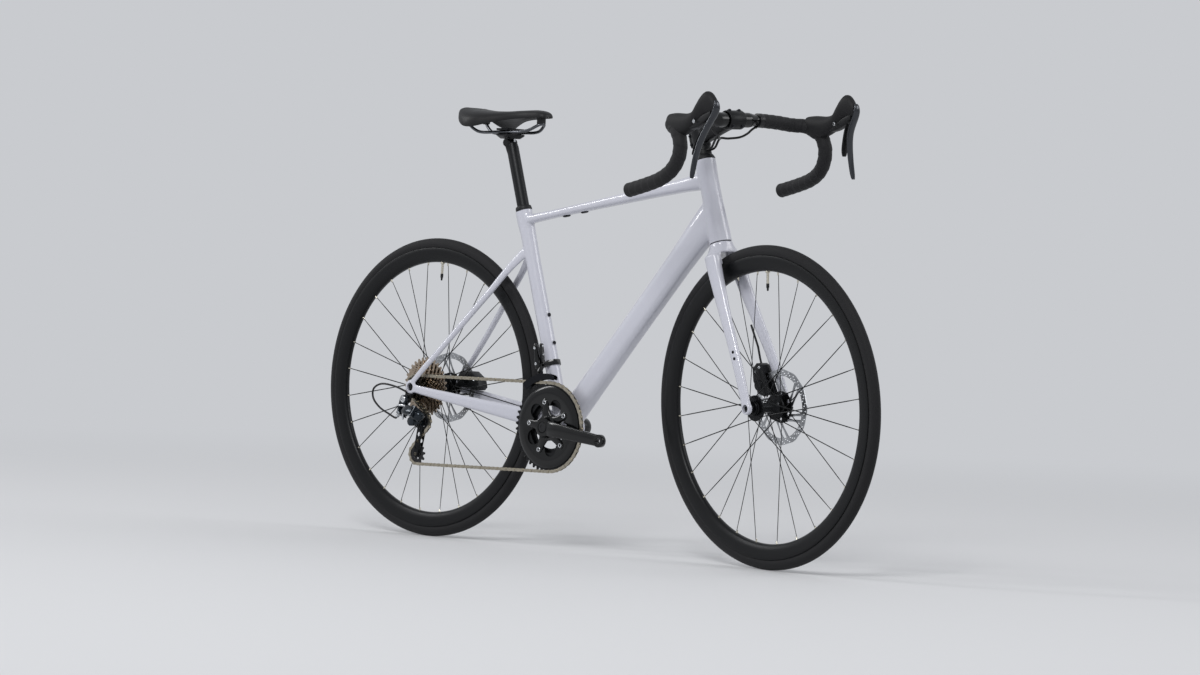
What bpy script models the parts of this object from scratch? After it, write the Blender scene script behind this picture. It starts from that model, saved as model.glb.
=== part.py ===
"""Road bike with disc brakes, two chainrings and a wide cassette, as separate named pieces.

Metres, +X forward, +Y to the rider's left, +Z up. The origin is on the ground, at the middle of
the whole bike's box. Every piece is modelled as if the bars were straight, and hangs from an empty
on the axis that it turns about, so turning an empty moves the pieces as the real bike does.
"""

from math import asin, atan2, copysign, cos, degrees, hypot, pi, radians, sin, sqrt, tau

import bmesh
import bpy
from mathutils import Matrix, Vector

# Driving dimensions: the whole bike
WHEELBASE = 0.992
TYRE_RADIUS = 0.3385
CHAINSTAY_LENGTH = 0.414
BB_DROP = 0.0705
HEAD_ANGLE = 73.3
SEAT_ANGLE = 73.2
FORK_RAKE = 0.045
STEERED_ANGLE = -8.8
CENTRE_SHIFT = 0.0129
GAP = 0.0003

# Facets
ROUND_STEPS = 14
SMALL_STEPS = 10
WHEEL_STEPS = 28
TUBE_SIDES = 10
FLAT_ANGLE = 0.05

# Head tube, headset and steerer, measured up the steering axis from the front axle's level
CROWN_HEIGHT = 0.3690
HEAD_TUBE_LENGTH = 0.1815
HEAD_TOP_RADIUS = 0.0226
HEAD_WAIST_RADIUS = 0.0212
HEAD_BOTTOM_RADIUS = 0.0243
UPPER_BEARING_RADIUS = 0.0205
LOWER_BEARING_RADIUS = 0.0222
BEARING_HEIGHT = 0.0070
STEERER_RADIUS = 0.0143
HEADSET_COVER_HEIGHT = 0.0110
SPACER_RADIUS = 0.0172
SPACER_HEIGHT = 0.0180
CROWN_CLEARANCE = 0.0009

# Main tubes of the frame
DOWN_TUBE_WIDTH = 0.0440
DOWN_TUBE_DEPTH = 0.0530
DOWN_TUBE_HEAD_DEPTH = 0.0700
DOWN_TUBE_SHELL_WIDTH = 0.0600
DOWN_TUBE_HEAD_DROP = 0.0020
TOP_TUBE_HEAD_JOIN = 0.0430
TOP_TUBE_SEAT_JOIN = 0.0210
TOP_TUBE_FRONT_WIDTH = 0.0360
TOP_TUBE_FRONT_DEPTH = 0.0290
TOP_TUBE_REAR_WIDTH = 0.0280
TOP_TUBE_REAR_DEPTH = 0.0185
SEAT_TUBE_LENGTH = 0.4940
SEAT_TUBE_RADIUS = 0.0163
SEAT_TUBE_TOP_DEPTH = 0.0400
SEATPOST_RADIUS = 0.0136
SEATPOST_DROP_ROOM = 0.0220
BB_SHELL_RADIUS = 0.0240
BB_SHELL_WIDTH = 0.0860
BB_BORE_RADIUS = 0.0205

# Stays and dropouts
REAR_SPACING = 0.1420
REAR_DROPOUT_THICKNESS = 0.0055
REAR_DROPOUT_RADIUS = 0.0165
REAR_DROPOUT_HOLE_RADIUS = 0.0092
CHAINSTAY_FRONT_DEPTH = 0.0380
CHAINSTAY_REAR_DEPTH = 0.0200
CHAINSTAY_WIDTH = 0.0150
CHAINSTAY_BRIDGE_SIDE = 0.0285
SEATSTAY_TOP_DEPTH = 0.0220
SEATSTAY_DEPTH = 0.0160
SEATSTAY_WIDTH = 0.0130
SEATSTAY_JOIN = 0.4080
BOSS_HEIGHTS = (0.1870, 0.2510)
BOSS_RADIUS = 0.0042
BOSS_STAND = 0.0016

# Fork
FRONT_SPACING = 0.1000
FORK_LEG_TOP_DEPTH = 0.0370
FORK_LEG_MID_DEPTH = 0.0290
FORK_LEG_LOW_DEPTH = 0.0210
FORK_LEG_TOP_WIDTH = 0.0250
FORK_LEG_LOW_WIDTH = 0.0110
FORK_TIP_RADIUS = 0.0130
FORK_TIP_THICKNESS = 0.0085
CROWN_HALF_WIDTH = 0.0460
TYRE_CLEARANCE = 0.0065
THRU_AXLE_RADIUS = 0.0060

# Wheels
TYRE_HALF_WIDTH = 0.0145
RIM_OUTER_RADIUS = 0.3165
RIM_INNER_RADIUS = 0.2840
RIM_HALF_WIDTH = 0.0120
RIM_WALL = 0.0020
BEAD_SEAT_RADIUS = 0.3105
TYRE_WALL = 0.0028
SPOKE_COUNT = 28
SPOKE_WIDTH = 0.0022
SPOKE_THICKNESS = 0.0012
HUB_FLANGE_RADIUS = 0.0270
HUB_FLANGE_THICKNESS = 0.0030
HUB_BODY_RADIUS = 0.0140
HUB_END_RADIUS = 0.0098
FRONT_FLANGES = (-0.0330, 0.0215)
REAR_FLANGES = (-0.0195, 0.0320)
VALVE_RADIUS = 0.0030
VALVE_LENGTH = 0.0480
VALVE_ANGLES = {"front_wheel": 90.0, "rear_wheel": 87.0}

# Disc brakes
ROTOR_RADIUS = 0.0800
ROTOR_BAND = 0.0150
ROTOR_THICKNESS = 0.0018
ROTOR_HUB_RADIUS = 0.0220
ROTOR_BORE_RADIUS = 0.0172
ROTOR_ARMS = 6
ROTOR_SLOTS = 10
FRONT_ROTOR_SIDE = 0.0395
REAR_ROTOR_SIDE = 0.0522
PAD_LENGTH = 0.0230
PAD_HEIGHT = 0.0130
PAD_THICKNESS = 0.0036
PAD_CLEARANCE = 0.0005
PAD_PLACE_FRONT = (-0.0415, 0.0580)
PAD_PLACE_REAR = (0.0650, 0.0300)
ROTOR_TIP_CLEARANCE = 0.0025
CALIPER_WIDTH = 0.0290

# Transmission
CHAIN_PITCH = 0.0127
CHAIN_LINKS = 110
CHAIN_INNER_WIDTH = 0.0026
CHAIN_OUTER_WIDTH = 0.0052
CHAIN_PLATE_HEIGHT = 0.0082
ROLLER_RADIUS = 0.0026
TOOTH_ROOT_DROP = 0.0046
TOOTH_TIP_RISE = 0.0023
OUTER_RING_TEETH = 48
INNER_RING_TEETH = 34
CHAINLINE = 0.0435
RING_SPACING = 0.0072
RING_THICKNESS = 0.0020
RING_INNER_RADIUS = 0.0470
RING_SLOT_RADIUS = 0.0745
COG_TEETH = (11, 12, 13, 14, 16, 18, 20, 22, 25, 28, 32)
COG_SPACING = 0.00374
COG_THICKNESS = 0.0016
CASSETTE_CENTRE_SIDE = 0.0450
CHAIN_COG = 2
FREEHUB_RADIUS = 0.0172
PULLEY_TEETH = 11
CRANK_LENGTH = 0.1700
CRANK_ANGLE = -7.1
BOLT_CIRCLE_RADIUS = 0.0550
SPINDLE_RADIUS = 0.0120
SPINDLE_END = 0.0620
CUP_FLANGE = 0.0022
CUP_CLEAR_RADIUS = 0.0252
CRANK_FACE_SIDE = 0.0730
CRANK_BOSS_RADIUS = 0.0210
CRANK_EYE_RADIUS = 0.0140
PEDAL_BORE_RADIUS = 0.0065

# Derailleurs, with places measured from the rear axle and from the bottom bracket
HANGER_BACK = 0.0080
HANGER_DROP = 0.0280
HANGER_RADIUS = 0.0095
LINK_LENGTH = 0.0480
LINK_SLANT = 27.4
LINK_TILT = 10.0
LINK_REST_ANGLE = -15.2
LINK_HEIGHT = 0.0160
LINK_END_RADIUS = 0.0042
LINK_SPREAD = 0.0150
KNUCKLE_JAW = 0.0040
KNUCKLE_BACK = 0.0060
KNUCKLE_DROP = 0.0270
KNUCKLE_SIDE = 0.0780
BOSS_OUTREACH = 0.0125
ADJUSTER_LENGTH = 0.0230
ADJUSTER_RADIUS = 0.0032
ADJUSTER_SLOPE = 35.0
GUIDE_FORWARD = 0.0260
GUIDE_DROP = 0.0765
CAGE_LENGTH = 0.0760
CAGE_PLATE_THICKNESS = 0.0016
CAGE_HALF_GAP = 0.0044
CAGE_HALF_WIDTH = 0.0088
CAGE_PIN_RADIUS = 0.0026
CAGE_BOSS_RADIUS = 0.0105
FRONT_CAGE_OFFSET = 0.0056
FRONT_CAGE_CLEARANCE = 0.0045
FRONT_CAGE_PLATE = 0.0012
FRONT_CAGE_DEPTH = 0.0105
FRONT_BAND_UP = 0.1440
FRONT_BAND_HEIGHT = 0.0120
FRONT_BAND_WALL = 0.0028
FRONT_PIVOT_SIDE = 0.0300
FRONT_LINK_LENGTH = 0.0205
FRONT_LINK_ANGLE = 28.0
FRONT_ARM_HEIGHT = 0.0410

# Stem, bars and levers, measured up and forward of the steering axis
STEM_REACH = 0.1100
STEM_BAR_HEIGHT = 0.6060
STEM_CLAMP_HEIGHT = 0.0400
STEM_CLAMP_RADIUS = 0.0190
STEM_BODY_WIDTH = 0.0320
STEM_BODY_DEPTH = 0.0300
STEM_CAP_HEIGHT = 0.0050
BAR_CLAMP_RADIUS = 0.0159
BAR_CLAMP_WIDTH = 0.0420
BAR_CLAMP_WALL = 0.0045
FACEPLATE_SPLIT = 0.0020
BAR_RADIUS = 0.0119
BAR_TAPE_THICKNESS = 0.0033
TAPE_START = 0.0680
PLUG_LENGTH = 0.0035
HOOD_HALF_WIDTH = 0.0180
LEVER_WIDTH = 0.0130
LEVER_THICKNESS = 0.0075
LEVER_BARREL_RADIUS = 0.0045
LEVER_BARREL_WIDTH = 0.0150
PADDLE_DROP = 0.0200
PADDLE_LEAN = 15.0
PADDLE_BACK = 0.0100
PADDLE_BARREL_RADIUS = 0.0030
PADDLE_WIDTH = 0.0150
PADDLE_THICKNESS = 0.0030
HOSE_RADIUS = 0.0025

# Seatpost and saddle
SEATPOST_LENGTH = 0.3600
POST_END_RISE = 0.0030016
TILT_PIVOT_DROP = 0.0230
COLLAR_HEIGHT = 0.0100
COLLAR_WALL = 0.0042
SADDLE_TOP_HEIGHT = 0.9640
SADDLE_STACK = 0.0480
SADDLE_SHELL_THICKNESS = 0.0035
RAIL_RADIUS = 0.0035
RAIL_HALF_SPACING = 0.0220
RAIL_HEIGHT = SADDLE_TOP_HEIGHT - SADDLE_STACK
RAIL_GRIP_PLACE = -0.2816517353
CRADLE_SETBACK = 0.0040
CRADLE_LENGTH = 0.0340
CRADLE_FLANGE = 0.0075

# Directions and reference points that follow from the driving dimensions
SIDE = Vector((0, 1, 0))
UP = Vector((0, 0, 1))
FRONT = Vector((1, 0, 0))
REAR_AXLE = Vector((-WHEELBASE / 2, 0, TYRE_RADIUS))
FRONT_AXLE = Vector((WHEELBASE / 2, 0, TYRE_RADIUS))
BB = REAR_AXLE + Vector((sqrt(CHAINSTAY_LENGTH**2 - BB_DROP**2), 0, -BB_DROP))
HEAD_UP = Vector((-cos(radians(HEAD_ANGLE)), 0, sin(radians(HEAD_ANGLE))))
HEAD_FRONT = Vector((sin(radians(HEAD_ANGLE)), 0, cos(radians(HEAD_ANGLE))))
HEAD_FOOT = FRONT_AXLE - HEAD_FRONT * FORK_RAKE
SEAT_UP = Vector((-cos(radians(SEAT_ANGLE)), 0, sin(radians(SEAT_ANGLE))))
SEAT_FRONT = Vector((sin(radians(SEAT_ANGLE)), 0, cos(radians(SEAT_ANGLE))))
HEAD_TOP = CROWN_HEIGHT + HEAD_TUBE_LENGTH


def on_head(up, front=0.0, side=0.0):
    """A point by its height up the steering axis, its distance in front of it and to the left."""
    return HEAD_FOOT + HEAD_UP * up + HEAD_FRONT * front + SIDE * side


def on_seat(up, front=0.0, side=0.0):
    """A point by its distance up the seat tube, in front of its axis and to the left."""
    return BB + SEAT_UP * up + SEAT_FRONT * front + SIDE * side


# Groups: an empty for each thing that moves, on the axis that it moves about
GROUPS = {}


def add_group(name, pivot, parent=None):
    """An empty at a pivot. Its children keep the straight bike's coordinates."""
    empty = bpy.data.objects.new(name + "_axis", None)
    empty.empty_display_size = 0.02
    PARTS.objects.link(empty)
    if parent:
        empty.parent = GROUPS[parent][0]
        empty.location = pivot - GROUPS[parent][1]
    else:
        empty.location = pivot
    GROUPS[name] = (empty, pivot)
    return empty


def hang(obj, group):
    """The object carried by a group's empty, with its own mesh left in the bike's coordinates."""
    empty, pivot = GROUPS[group]
    obj.parent = empty
    obj.location = -pivot


# Meshes and solids
def add_object(name, data):
    obj = bpy.data.objects.new(name, data)
    PARTS.objects.link(obj)
    return obj


def tidy(obj):
    """Doubled points merged and the faces turned outwards."""
    mesh = bmesh.new()
    mesh.from_mesh(obj.data)
    bmesh.ops.remove_doubles(mesh, verts=mesh.verts, dist=0.000002)
    bmesh.ops.dissolve_degenerate(mesh, edges=mesh.edges, dist=0.0000005)
    bmesh.ops.recalc_face_normals(mesh, faces=mesh.faces)
    mesh.to_mesh(obj.data)
    mesh.free()
    return obj


def bake(obj):
    """The object as its modifiers leave it, as a plain mesh."""
    bpy.context.view_layer.update()
    graph = bpy.context.evaluated_depsgraph_get()
    mesh = bpy.data.meshes.new_from_object(obj.evaluated_get(graph))
    if obj.type == "MESH":
        obj.modifiers.clear()
        obj.data = mesh
        return obj
    solid = add_object(obj.name + "_mesh", mesh)
    solid.matrix_world = obj.matrix_world
    name = obj.name
    bpy.data.objects.remove(obj)
    solid.name = name
    return tidy(solid)


def combine(target, tool, operation):
    """A Boolean applied, with the edges that it leaves inside flat faces taken out again."""
    modifier = target.modifiers.new(operation.lower(), "BOOLEAN")
    modifier.operation = operation
    modifier.solver = "EXACT"
    modifier.object = tool
    bake(target)
    bpy.data.objects.remove(tool)
    mesh = bmesh.new()
    mesh.from_mesh(target.data)
    bmesh.ops.remove_doubles(mesh, verts=mesh.verts, dist=0.000002)
    flat = radians(FLAT_ANGLE)
    bmesh.ops.dissolve_limit(mesh, angle_limit=flat, verts=mesh.verts, edges=mesh.edges)
    bmesh.ops.triangulate(mesh, faces=mesh.faces)
    mesh.to_mesh(target.data)
    mesh.free()
    return target


def join(target, *tools):
    for tool in tools:
        combine(target, tool, "UNION")
    return target


def cut(target, *tools):
    for tool in tools:
        combine(target, tool, "DIFFERENCE")
    return target


def along_line(start, direction, reference=FRONT):
    """The matrix that lays local Z along a direction, and local X as near the reference as it goes."""
    z = Vector(direction).normalized()
    x = (reference - z * reference.dot(z)).normalized()
    y = z.cross(x)
    matrix = Matrix((x, y, z)).transposed().to_4x4()
    matrix.translation = Vector(start)
    return matrix


def side_plane(centre):
    """The matrix of a plate in side view: local X forward, local Y up, its thickness across the bike."""
    return along_line(centre, -SIDE, FRONT)


def turned(name, profile, start, direction, steps=ROUND_STEPS, ring=False):
    """A turned piece from (radius, height) pairs that run down its outer side, top to bottom."""
    points = [(radius, 0.0, height) for radius, height in profile]
    edges = [(index, index + 1) for index in range(len(points) - 1)]
    if ring:
        edges.append((len(points) - 1, 0))
    mesh = bpy.data.meshes.new(name)
    mesh.from_pydata(points, edges, [])
    obj = add_object(name, mesh)
    spin = obj.modifiers.new("spin", "SCREW")
    spin.steps = spin.render_steps = steps
    spin.use_merge_vertices = True
    spin.merge_threshold = 0.00001
    bake(obj)
    obj.data.transform(along_line(start, direction))
    return tidy(obj)


def bore(radius, steps=SMALL_STEPS):
    """The corner radius of a faceted hole whose flats clear a round piece of this radius."""
    return (radius + GAP) / cos(pi / steps)


def rod(name, start, end, radius, steps=SMALL_STEPS):
    """A plain round bar between two points."""
    axis = Vector(end) - Vector(start)
    length = axis.length
    profile = ((0.0, length), (radius, length), (radius, 0.0), (0.0, 0.0))
    return turned(name, profile, start, axis, steps)


def plate(name, loops, thickness, place):
    """A flat plate from outlines: the first is its edge, and the rest are holes through it."""
    curve = bpy.data.curves.new(name, "CURVE")
    curve.dimensions = "2D"
    curve.fill_mode = "BOTH"
    curve.extrude = thickness / 2
    for loop in loops:
        spline = curve.splines.new("POLY")
        spline.points.add(len(loop) - 1)
        for point, (x, y) in zip(spline.points, loop):
            point.co = (x, y, 0.0, 1.0)
        spline.use_cyclic_u = True
    obj = bake(add_object(name, curve))
    obj.data.transform(place)
    return tidy(obj)


def tube(name, points, radius, resolution=2, radii=None):
    """A round tube or wire along points, with closed ends. radii scales it at each point."""
    curve = bpy.data.curves.new(name, "CURVE")
    curve.dimensions = "3D"
    curve.bevel_depth = radius
    curve.bevel_resolution = resolution
    curve.use_fill_caps = True
    spline = curve.splines.new("POLY")
    spline.points.add(len(points) - 1)
    for index, point in enumerate(points):
        spline.points[index].co = (*point, 1.0)
        spline.points[index].radius = radii[index] if radii else 1.0
    return bake(add_object(name, curve))


def smooth_path(points, steps):
    """Points along a smooth curve through the given ones, steps to each span."""
    points = [Vector(point) for point in points]
    ends = [2 * points[0] - points[1]] + points + [2 * points[-1] - points[-2]]
    path = []
    for index in range(len(points) - 1):
        before, start, end, after = ends[index : index + 4]
        for step in range(steps):
            t = step / steps
            path.append(
                start
                + (end - before) * (t / 2)
                + (2 * before - 5 * start + 4 * end - after) * (t * t / 2)
                + (3 * start - before - 3 * end + after) * (t**3 / 2)
            )
    return path + [points[-1]]


def oval(centre, across, upward, half_width, half_depth, power=2.0, count=TUBE_SIDES):
    """A closed ring of points: an ellipse at power 2, nearer a box as the power grows."""
    ring = []
    for index in range(count):
        angle = tau * (index + 0.5) / count
        x = copysign(abs(cos(angle)) ** (2 / power), cos(angle)) * half_width
        y = copysign(abs(sin(angle)) ** (2 / power), sin(angle)) * half_depth
        ring.append(centre + across * x + upward * y)
    return ring


def loft(name, rings, closed=False):
    """A skin over rings of equal count: capped at both ends, or closed on itself."""
    mesh = bmesh.new()
    rows = [[mesh.verts.new(point) for point in ring] for ring in rings]
    pairs = list(zip(rows, rows[1:]))
    if closed:
        pairs.append((rows[-1], rows[0]))
    for row, after in pairs:
        for index in range(len(row)):
            beside = (index + 1) % len(row)
            mesh.faces.new((row[index], row[beside], after[beside], after[index]))
    if not closed:
        mesh.faces.new(tuple(reversed(rows[0])))
        mesh.faces.new(tuple(rows[-1]))
    data = bpy.data.meshes.new(name)
    mesh.to_mesh(data)
    mesh.free()
    return tidy(add_object(name, data))


def sections(stations, power=2.0, count=TUBE_SIDES, reference=SIDE):
    """The rings of a tube of changing section along (point, half width, half depth) stations."""
    points = [Vector(station[0]) for station in stations]
    rings = []
    for index, (point, half_width, half_depth) in enumerate(stations):
        before = points[max(index - 1, 0)]
        after = points[min(index + 1, len(points) - 1)]
        tangent = (after - before).normalized()
        across = (reference - tangent * reference.dot(tangent)).normalized()
        upward = tangent.cross(across)
        rings.append(oval(points[index], across, upward, half_width, half_depth, power, count))
    return rings


def swept(name, stations, power=2.0, count=TUBE_SIDES, reference=SIDE):
    return loft(name, sections(stations, power, count, reference))


def mirrored(obj, name):
    """The same piece on the other side of the bike."""
    twin = add_object(name, obj.data.copy())
    twin.data.transform(Matrix.Scale(-1, 4, SIDE))
    return tidy(twin)


def arc(radius, start, end, count, centre=(0.0, 0.0)):
    """Points on an arc in a plate's own plane, angles in degrees."""
    points = []
    for index in range(count):
        angle = radians(start + (end - start) * index / (count - 1))
        points.append((centre[0] + radius * cos(angle), centre[1] + radius * sin(angle)))
    return points


def circle(radius, count, centre=(0.0, 0.0)):
    return arc(radius, 0.0, 360.0 - 360.0 / count, count, centre)


def capsule(start, end, start_radius, end_radius, count=7):
    """The outline round two circles of a flat link, in a plate's own plane."""
    angle = degrees(atan2(end[1] - start[1], end[0] - start[0]))
    near = arc(start_radius, angle + 90, angle + 270, count, start)
    far = arc(end_radius, angle - 90, angle + 90, count, end)
    return near + far


def side_view(point):
    """A point's forward and upward coordinates, for plates laid out in side view."""
    return (point.x, point.z)


# Finishes
def finish(obj, name, colour, roughness, metallic=0.0, coat=0.0):
    """A material with the piece's colour, roughness and metal value."""
    material = bpy.data.materials.get(name)
    if material is None:
        material = bpy.data.materials.new(name)
        material.use_nodes = True
        shader = material.node_tree.nodes["Principled BSDF"]
        shader.inputs["Base Color"].default_value = (*colour, 1.0)
        shader.inputs["Roughness"].default_value = roughness
        shader.inputs["Metallic"].default_value = metallic
        shader.inputs["Coat Weight"].default_value = coat
    obj.data.materials.clear()
    obj.data.materials.append(material)
    return obj


def frame_paint(obj):
    return finish(obj, "pale_lilac_paint", (0.46, 0.47, 0.56), 0.25, 0.0, 0.6)


def black_alloy(obj):
    return finish(obj, "black_anodised_alloy", (0.012, 0.012, 0.014), 0.35, 0.6)


def black_gloss(obj):
    return finish(obj, "black_gloss_paint", (0.006, 0.007, 0.009), 0.12, 0.0, 0.8)


def bare_steel(obj):
    return finish(obj, "bare_steel", (0.42, 0.42, 0.43), 0.32, 1.0)


def bronze_steel(obj):
    return finish(obj, "bronze_coated_steel", (0.50, 0.36, 0.20), 0.30, 1.0)


def chain_steel(obj):
    return finish(obj, "dark_chain_steel", (0.16, 0.15, 0.14), 0.30, 1.0)


def black_rubber(obj):
    return finish(obj, "black_rubber", (0.011, 0.011, 0.012), 0.70)


def black_plastic(obj):
    return finish(obj, "black_plastic", (0.014, 0.014, 0.016), 0.45)


def tape_cloth(obj):
    return finish(obj, "black_bar_tape", (0.013, 0.013, 0.014), 0.65)


# Frame
def head_tube():
    low = CROWN_HEIGHT + CROWN_CLEARANCE
    waist = CROWN_HEIGHT + HEAD_TUBE_LENGTH * 0.62
    profile = (
        (0.0, HEAD_TOP),
        (HEAD_TOP_RADIUS, HEAD_TOP),
        (HEAD_TOP_RADIUS, HEAD_TOP - 0.012),
        (HEAD_WAIST_RADIUS, waist),
        (HEAD_BOTTOM_RADIUS, low + 0.016),
        (HEAD_BOTTOM_RADIUS, low),
        (0.0, low),
    )
    return turned("head_tube", profile, HEAD_FOOT, HEAD_UP, ROUND_STEPS)


def down_tube():
    join_up = CROWN_HEIGHT + HEAD_TUBE_LENGTH * 0.375 - DOWN_TUBE_HEAD_DROP
    top = on_head(join_up)
    half_width = DOWN_TUBE_WIDTH / 2
    half_depth = DOWN_TUBE_DEPTH / 2
    stations = (
        (BB.lerp(top, -0.01), DOWN_TUBE_SHELL_WIDTH / 2, half_depth * 0.90),
        (BB.lerp(top, 0.07), DOWN_TUBE_SHELL_WIDTH / 2 * 0.93, half_depth * 0.96),
        (BB.lerp(top, 0.18), half_width * 1.08, half_depth),
        (BB.lerp(top, 0.45), half_width, half_depth),
        (BB.lerp(top, 0.78), half_width, half_depth * 1.06),
        (BB.lerp(top, 0.90), half_width * 0.98, DOWN_TUBE_HEAD_DEPTH / 2 * 0.93),
        (BB.lerp(top, 1.00), HEAD_WAIST_RADIUS * 0.90, DOWN_TUBE_HEAD_DEPTH / 2),
    )
    return swept("down_tube", stations, power=3.0)


def top_tube():
    rear = on_seat(SEAT_TUBE_LENGTH - TOP_TUBE_SEAT_JOIN)
    front = on_head(HEAD_TOP - TOP_TUBE_HEAD_JOIN)
    stations = (
        (rear, TOP_TUBE_REAR_WIDTH / 2 * 0.95, TOP_TUBE_REAR_DEPTH / 2 * 1.25),
        (rear.lerp(front, 0.06), TOP_TUBE_REAR_WIDTH / 2, TOP_TUBE_REAR_DEPTH / 2 * 1.10),
        (rear.lerp(front, 0.16), TOP_TUBE_REAR_WIDTH / 2, TOP_TUBE_REAR_DEPTH / 2),
        (rear.lerp(front, 0.75), TOP_TUBE_FRONT_WIDTH / 2 * 0.96, TOP_TUBE_FRONT_DEPTH / 2 * 0.90),
        (rear.lerp(front, 0.90), TOP_TUBE_FRONT_WIDTH / 2, TOP_TUBE_FRONT_DEPTH / 2 * 1.08),
        (rear.lerp(front, 1.00), TOP_TUBE_FRONT_WIDTH / 2, TOP_TUBE_FRONT_DEPTH / 2 * 1.45),
    )
    return swept("top_tube", stations, power=2.6)


def seat_tube():
    length = SEAT_TUBE_LENGTH
    radius = SEAT_TUBE_RADIUS
    wall_depth = SEAT_TUBE_TOP_DEPTH / 2
    stations = (
        (on_seat(0.0), DOWN_TUBE_SHELL_WIDTH / 2 * 0.80, radius * 1.15),
        (on_seat(0.045), radius * 1.15, radius * 1.05),
        (on_seat(0.110), radius, radius),
        (on_seat(length - 0.120), radius, radius),
        (on_seat(length - 0.045, 0.000), radius * 1.04, radius * 1.08),
        (on_seat(length - 0.020, -0.001), radius * 1.06, wall_depth),
        (on_seat(length, -0.001), radius * 1.06, wall_depth),
    )
    return swept("seat_tube", stations)


def bottom_shell():
    half = BB_SHELL_WIDTH / 2
    profile = ((0.0, half), (BB_SHELL_RADIUS, half), (BB_SHELL_RADIUS, -half), (0.0, -half))
    return turned("bottom_shell", profile, BB, SIDE, ROUND_STEPS)


def dropout_side():
    """The middle of the right dropout's thickness, across the bike."""
    return REAR_SPACING / 2 + REAR_DROPOUT_THICKNESS / 2


def seat_stay():
    start = on_seat(SEATSTAY_JOIN, -0.004)
    end = REAR_AXLE + Vector((0.004, -dropout_side(), 0.010))
    half_width = SEATSTAY_WIDTH / 2
    half_depth = SEATSTAY_DEPTH / 2
    tyre_side = TYRE_HALF_WIDTH + TYRE_CLEARANCE + half_width

    def at(share, side, lift):
        return start.lerp(end, share) * 1.0 + Vector((0, -start.lerp(end, share).y - side, lift))

    stations = (
        (at(0.00, 0.006, 0.000), half_width, SEATSTAY_TOP_DEPTH / 2),
        (at(0.07, 0.015, 0.001), half_width, SEATSTAY_TOP_DEPTH / 2 * 0.96),
        (at(0.17, tyre_side - 0.001, 0.002), half_width, half_depth * 1.05),
        (at(0.30, tyre_side + 0.006, 0.003), half_width, half_depth),
        (at(0.62, 0.0540, 0.003), half_width * 0.94, half_depth * 0.94),
        (at(0.90, 0.0705, 0.001), half_width * 0.86, half_depth * 0.90),
        (at(1.00, dropout_side(), 0.000), REAR_DROPOUT_THICKNESS / 2, half_depth * 0.90),
    )
    return swept("seat_stay", stations, power=2.4, count=8)


def chain_stay_start():
    return BB + Vector((-0.012, 0.0, 0.008))


def chain_stay_end():
    return REAR_AXLE + Vector((0.010, 0.0, -0.003))


def chain_stay():
    start = chain_stay_start()
    end = chain_stay_end()
    front_depth = CHAINSTAY_FRONT_DEPTH / 2
    rear_depth = CHAINSTAY_REAR_DEPTH / 2
    half_width = CHAINSTAY_WIDTH / 2

    def at(share, side):
        return start.lerp(end, share) - SIDE * side

    stations = (
        (at(0.00, 0.0245), half_width, front_depth * 0.92),
        (at(0.16, CHAINSTAY_BRIDGE_SIDE), half_width, front_depth),
        (at(0.30, 0.0335), half_width * 1.05, front_depth * 0.90),
        (at(0.50, 0.0480), half_width * 1.05, front_depth * 0.76),
        (at(0.75, 0.0645), half_width * 0.92, rear_depth * 1.18),
        (at(0.93, dropout_side() - 0.0008), half_width * 0.55, rear_depth),
        (at(1.00, dropout_side()), REAR_DROPOUT_THICKNESS / 2, rear_depth * 0.96),
    )
    return swept("chain_stay", stations, power=3.0, count=8)


def rear_dropout():
    disc = circle(REAR_DROPOUT_RADIUS, SMALL_STEPS)
    centre = REAR_AXLE - SIDE * dropout_side()
    return plate("dropout", [disc], REAR_DROPOUT_THICKNESS, side_plane(centre))


def frame():
    """The one-piece carbon frame: round head tube, deep down tube, flat top tube, dropped stays."""
    body = head_tube()
    join(body, down_tube(), top_tube(), seat_tube(), bottom_shell())
    for make in (seat_stay, chain_stay, rear_dropout):
        right = make()
        left = mirrored(right, right.name + "_left")
        join(body, right, left)
    for height in BOSS_HEIGHTS:
        foot = on_seat(height, SEAT_TUBE_RADIUS * 0.80)
        head = on_seat(height, SEAT_TUBE_RADIUS + BOSS_STAND)
        join(body, rod("boss", foot, head, BOSS_RADIUS, 8))
    upper = HEAD_TOP - BEARING_HEIGHT - GAP
    lower = CROWN_HEIGHT + CROWN_CLEARANCE + BEARING_HEIGHT + GAP
    cut(
        body,
        rod("steerer_bore", on_head(CROWN_HEIGHT - 0.02), on_head(HEAD_TOP + 0.02), STEERER_RADIUS + 0.0032),
        rod("upper_seat", on_head(upper), on_head(HEAD_TOP + 0.02), UPPER_BEARING_RADIUS + GAP, ROUND_STEPS),
        rod(
            "lower_seat",
            on_head(CROWN_HEIGHT - 0.02),
            on_head(lower),
            LOWER_BEARING_RADIUS + GAP,
            ROUND_STEPS,
        ),
        rod(
            "post_bore",
            on_seat(post_foot() - SEATPOST_DROP_ROOM),
            on_seat(SEAT_TUBE_LENGTH + 0.02),
            bore(SEATPOST_RADIUS),
        ),
        rod("bracket_bore", BB - SIDE * 0.06, BB + SIDE * 0.06, BB_BORE_RADIUS, ROUND_STEPS),
        rod("axle_bore", REAR_AXLE - SIDE * 0.09, REAR_AXLE + SIDE * 0.09, REAR_DROPOUT_HOLE_RADIUS),
    )
    body.name = "frame"
    hang(frame_paint(body), "bike")


# Headset, bottom bracket and small frame pieces
def bearing(name, low, radius):
    inner = bore(STEERER_RADIUS, ROUND_STEPS)
    profile = (
        (inner, low + BEARING_HEIGHT),
        (radius, low + BEARING_HEIGHT),
        (radius, low),
        (inner, low),
    )
    race = turned(name, profile, HEAD_FOOT, HEAD_UP, ROUND_STEPS, ring=True)
    hang(bare_steel(race), "bike")


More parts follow.
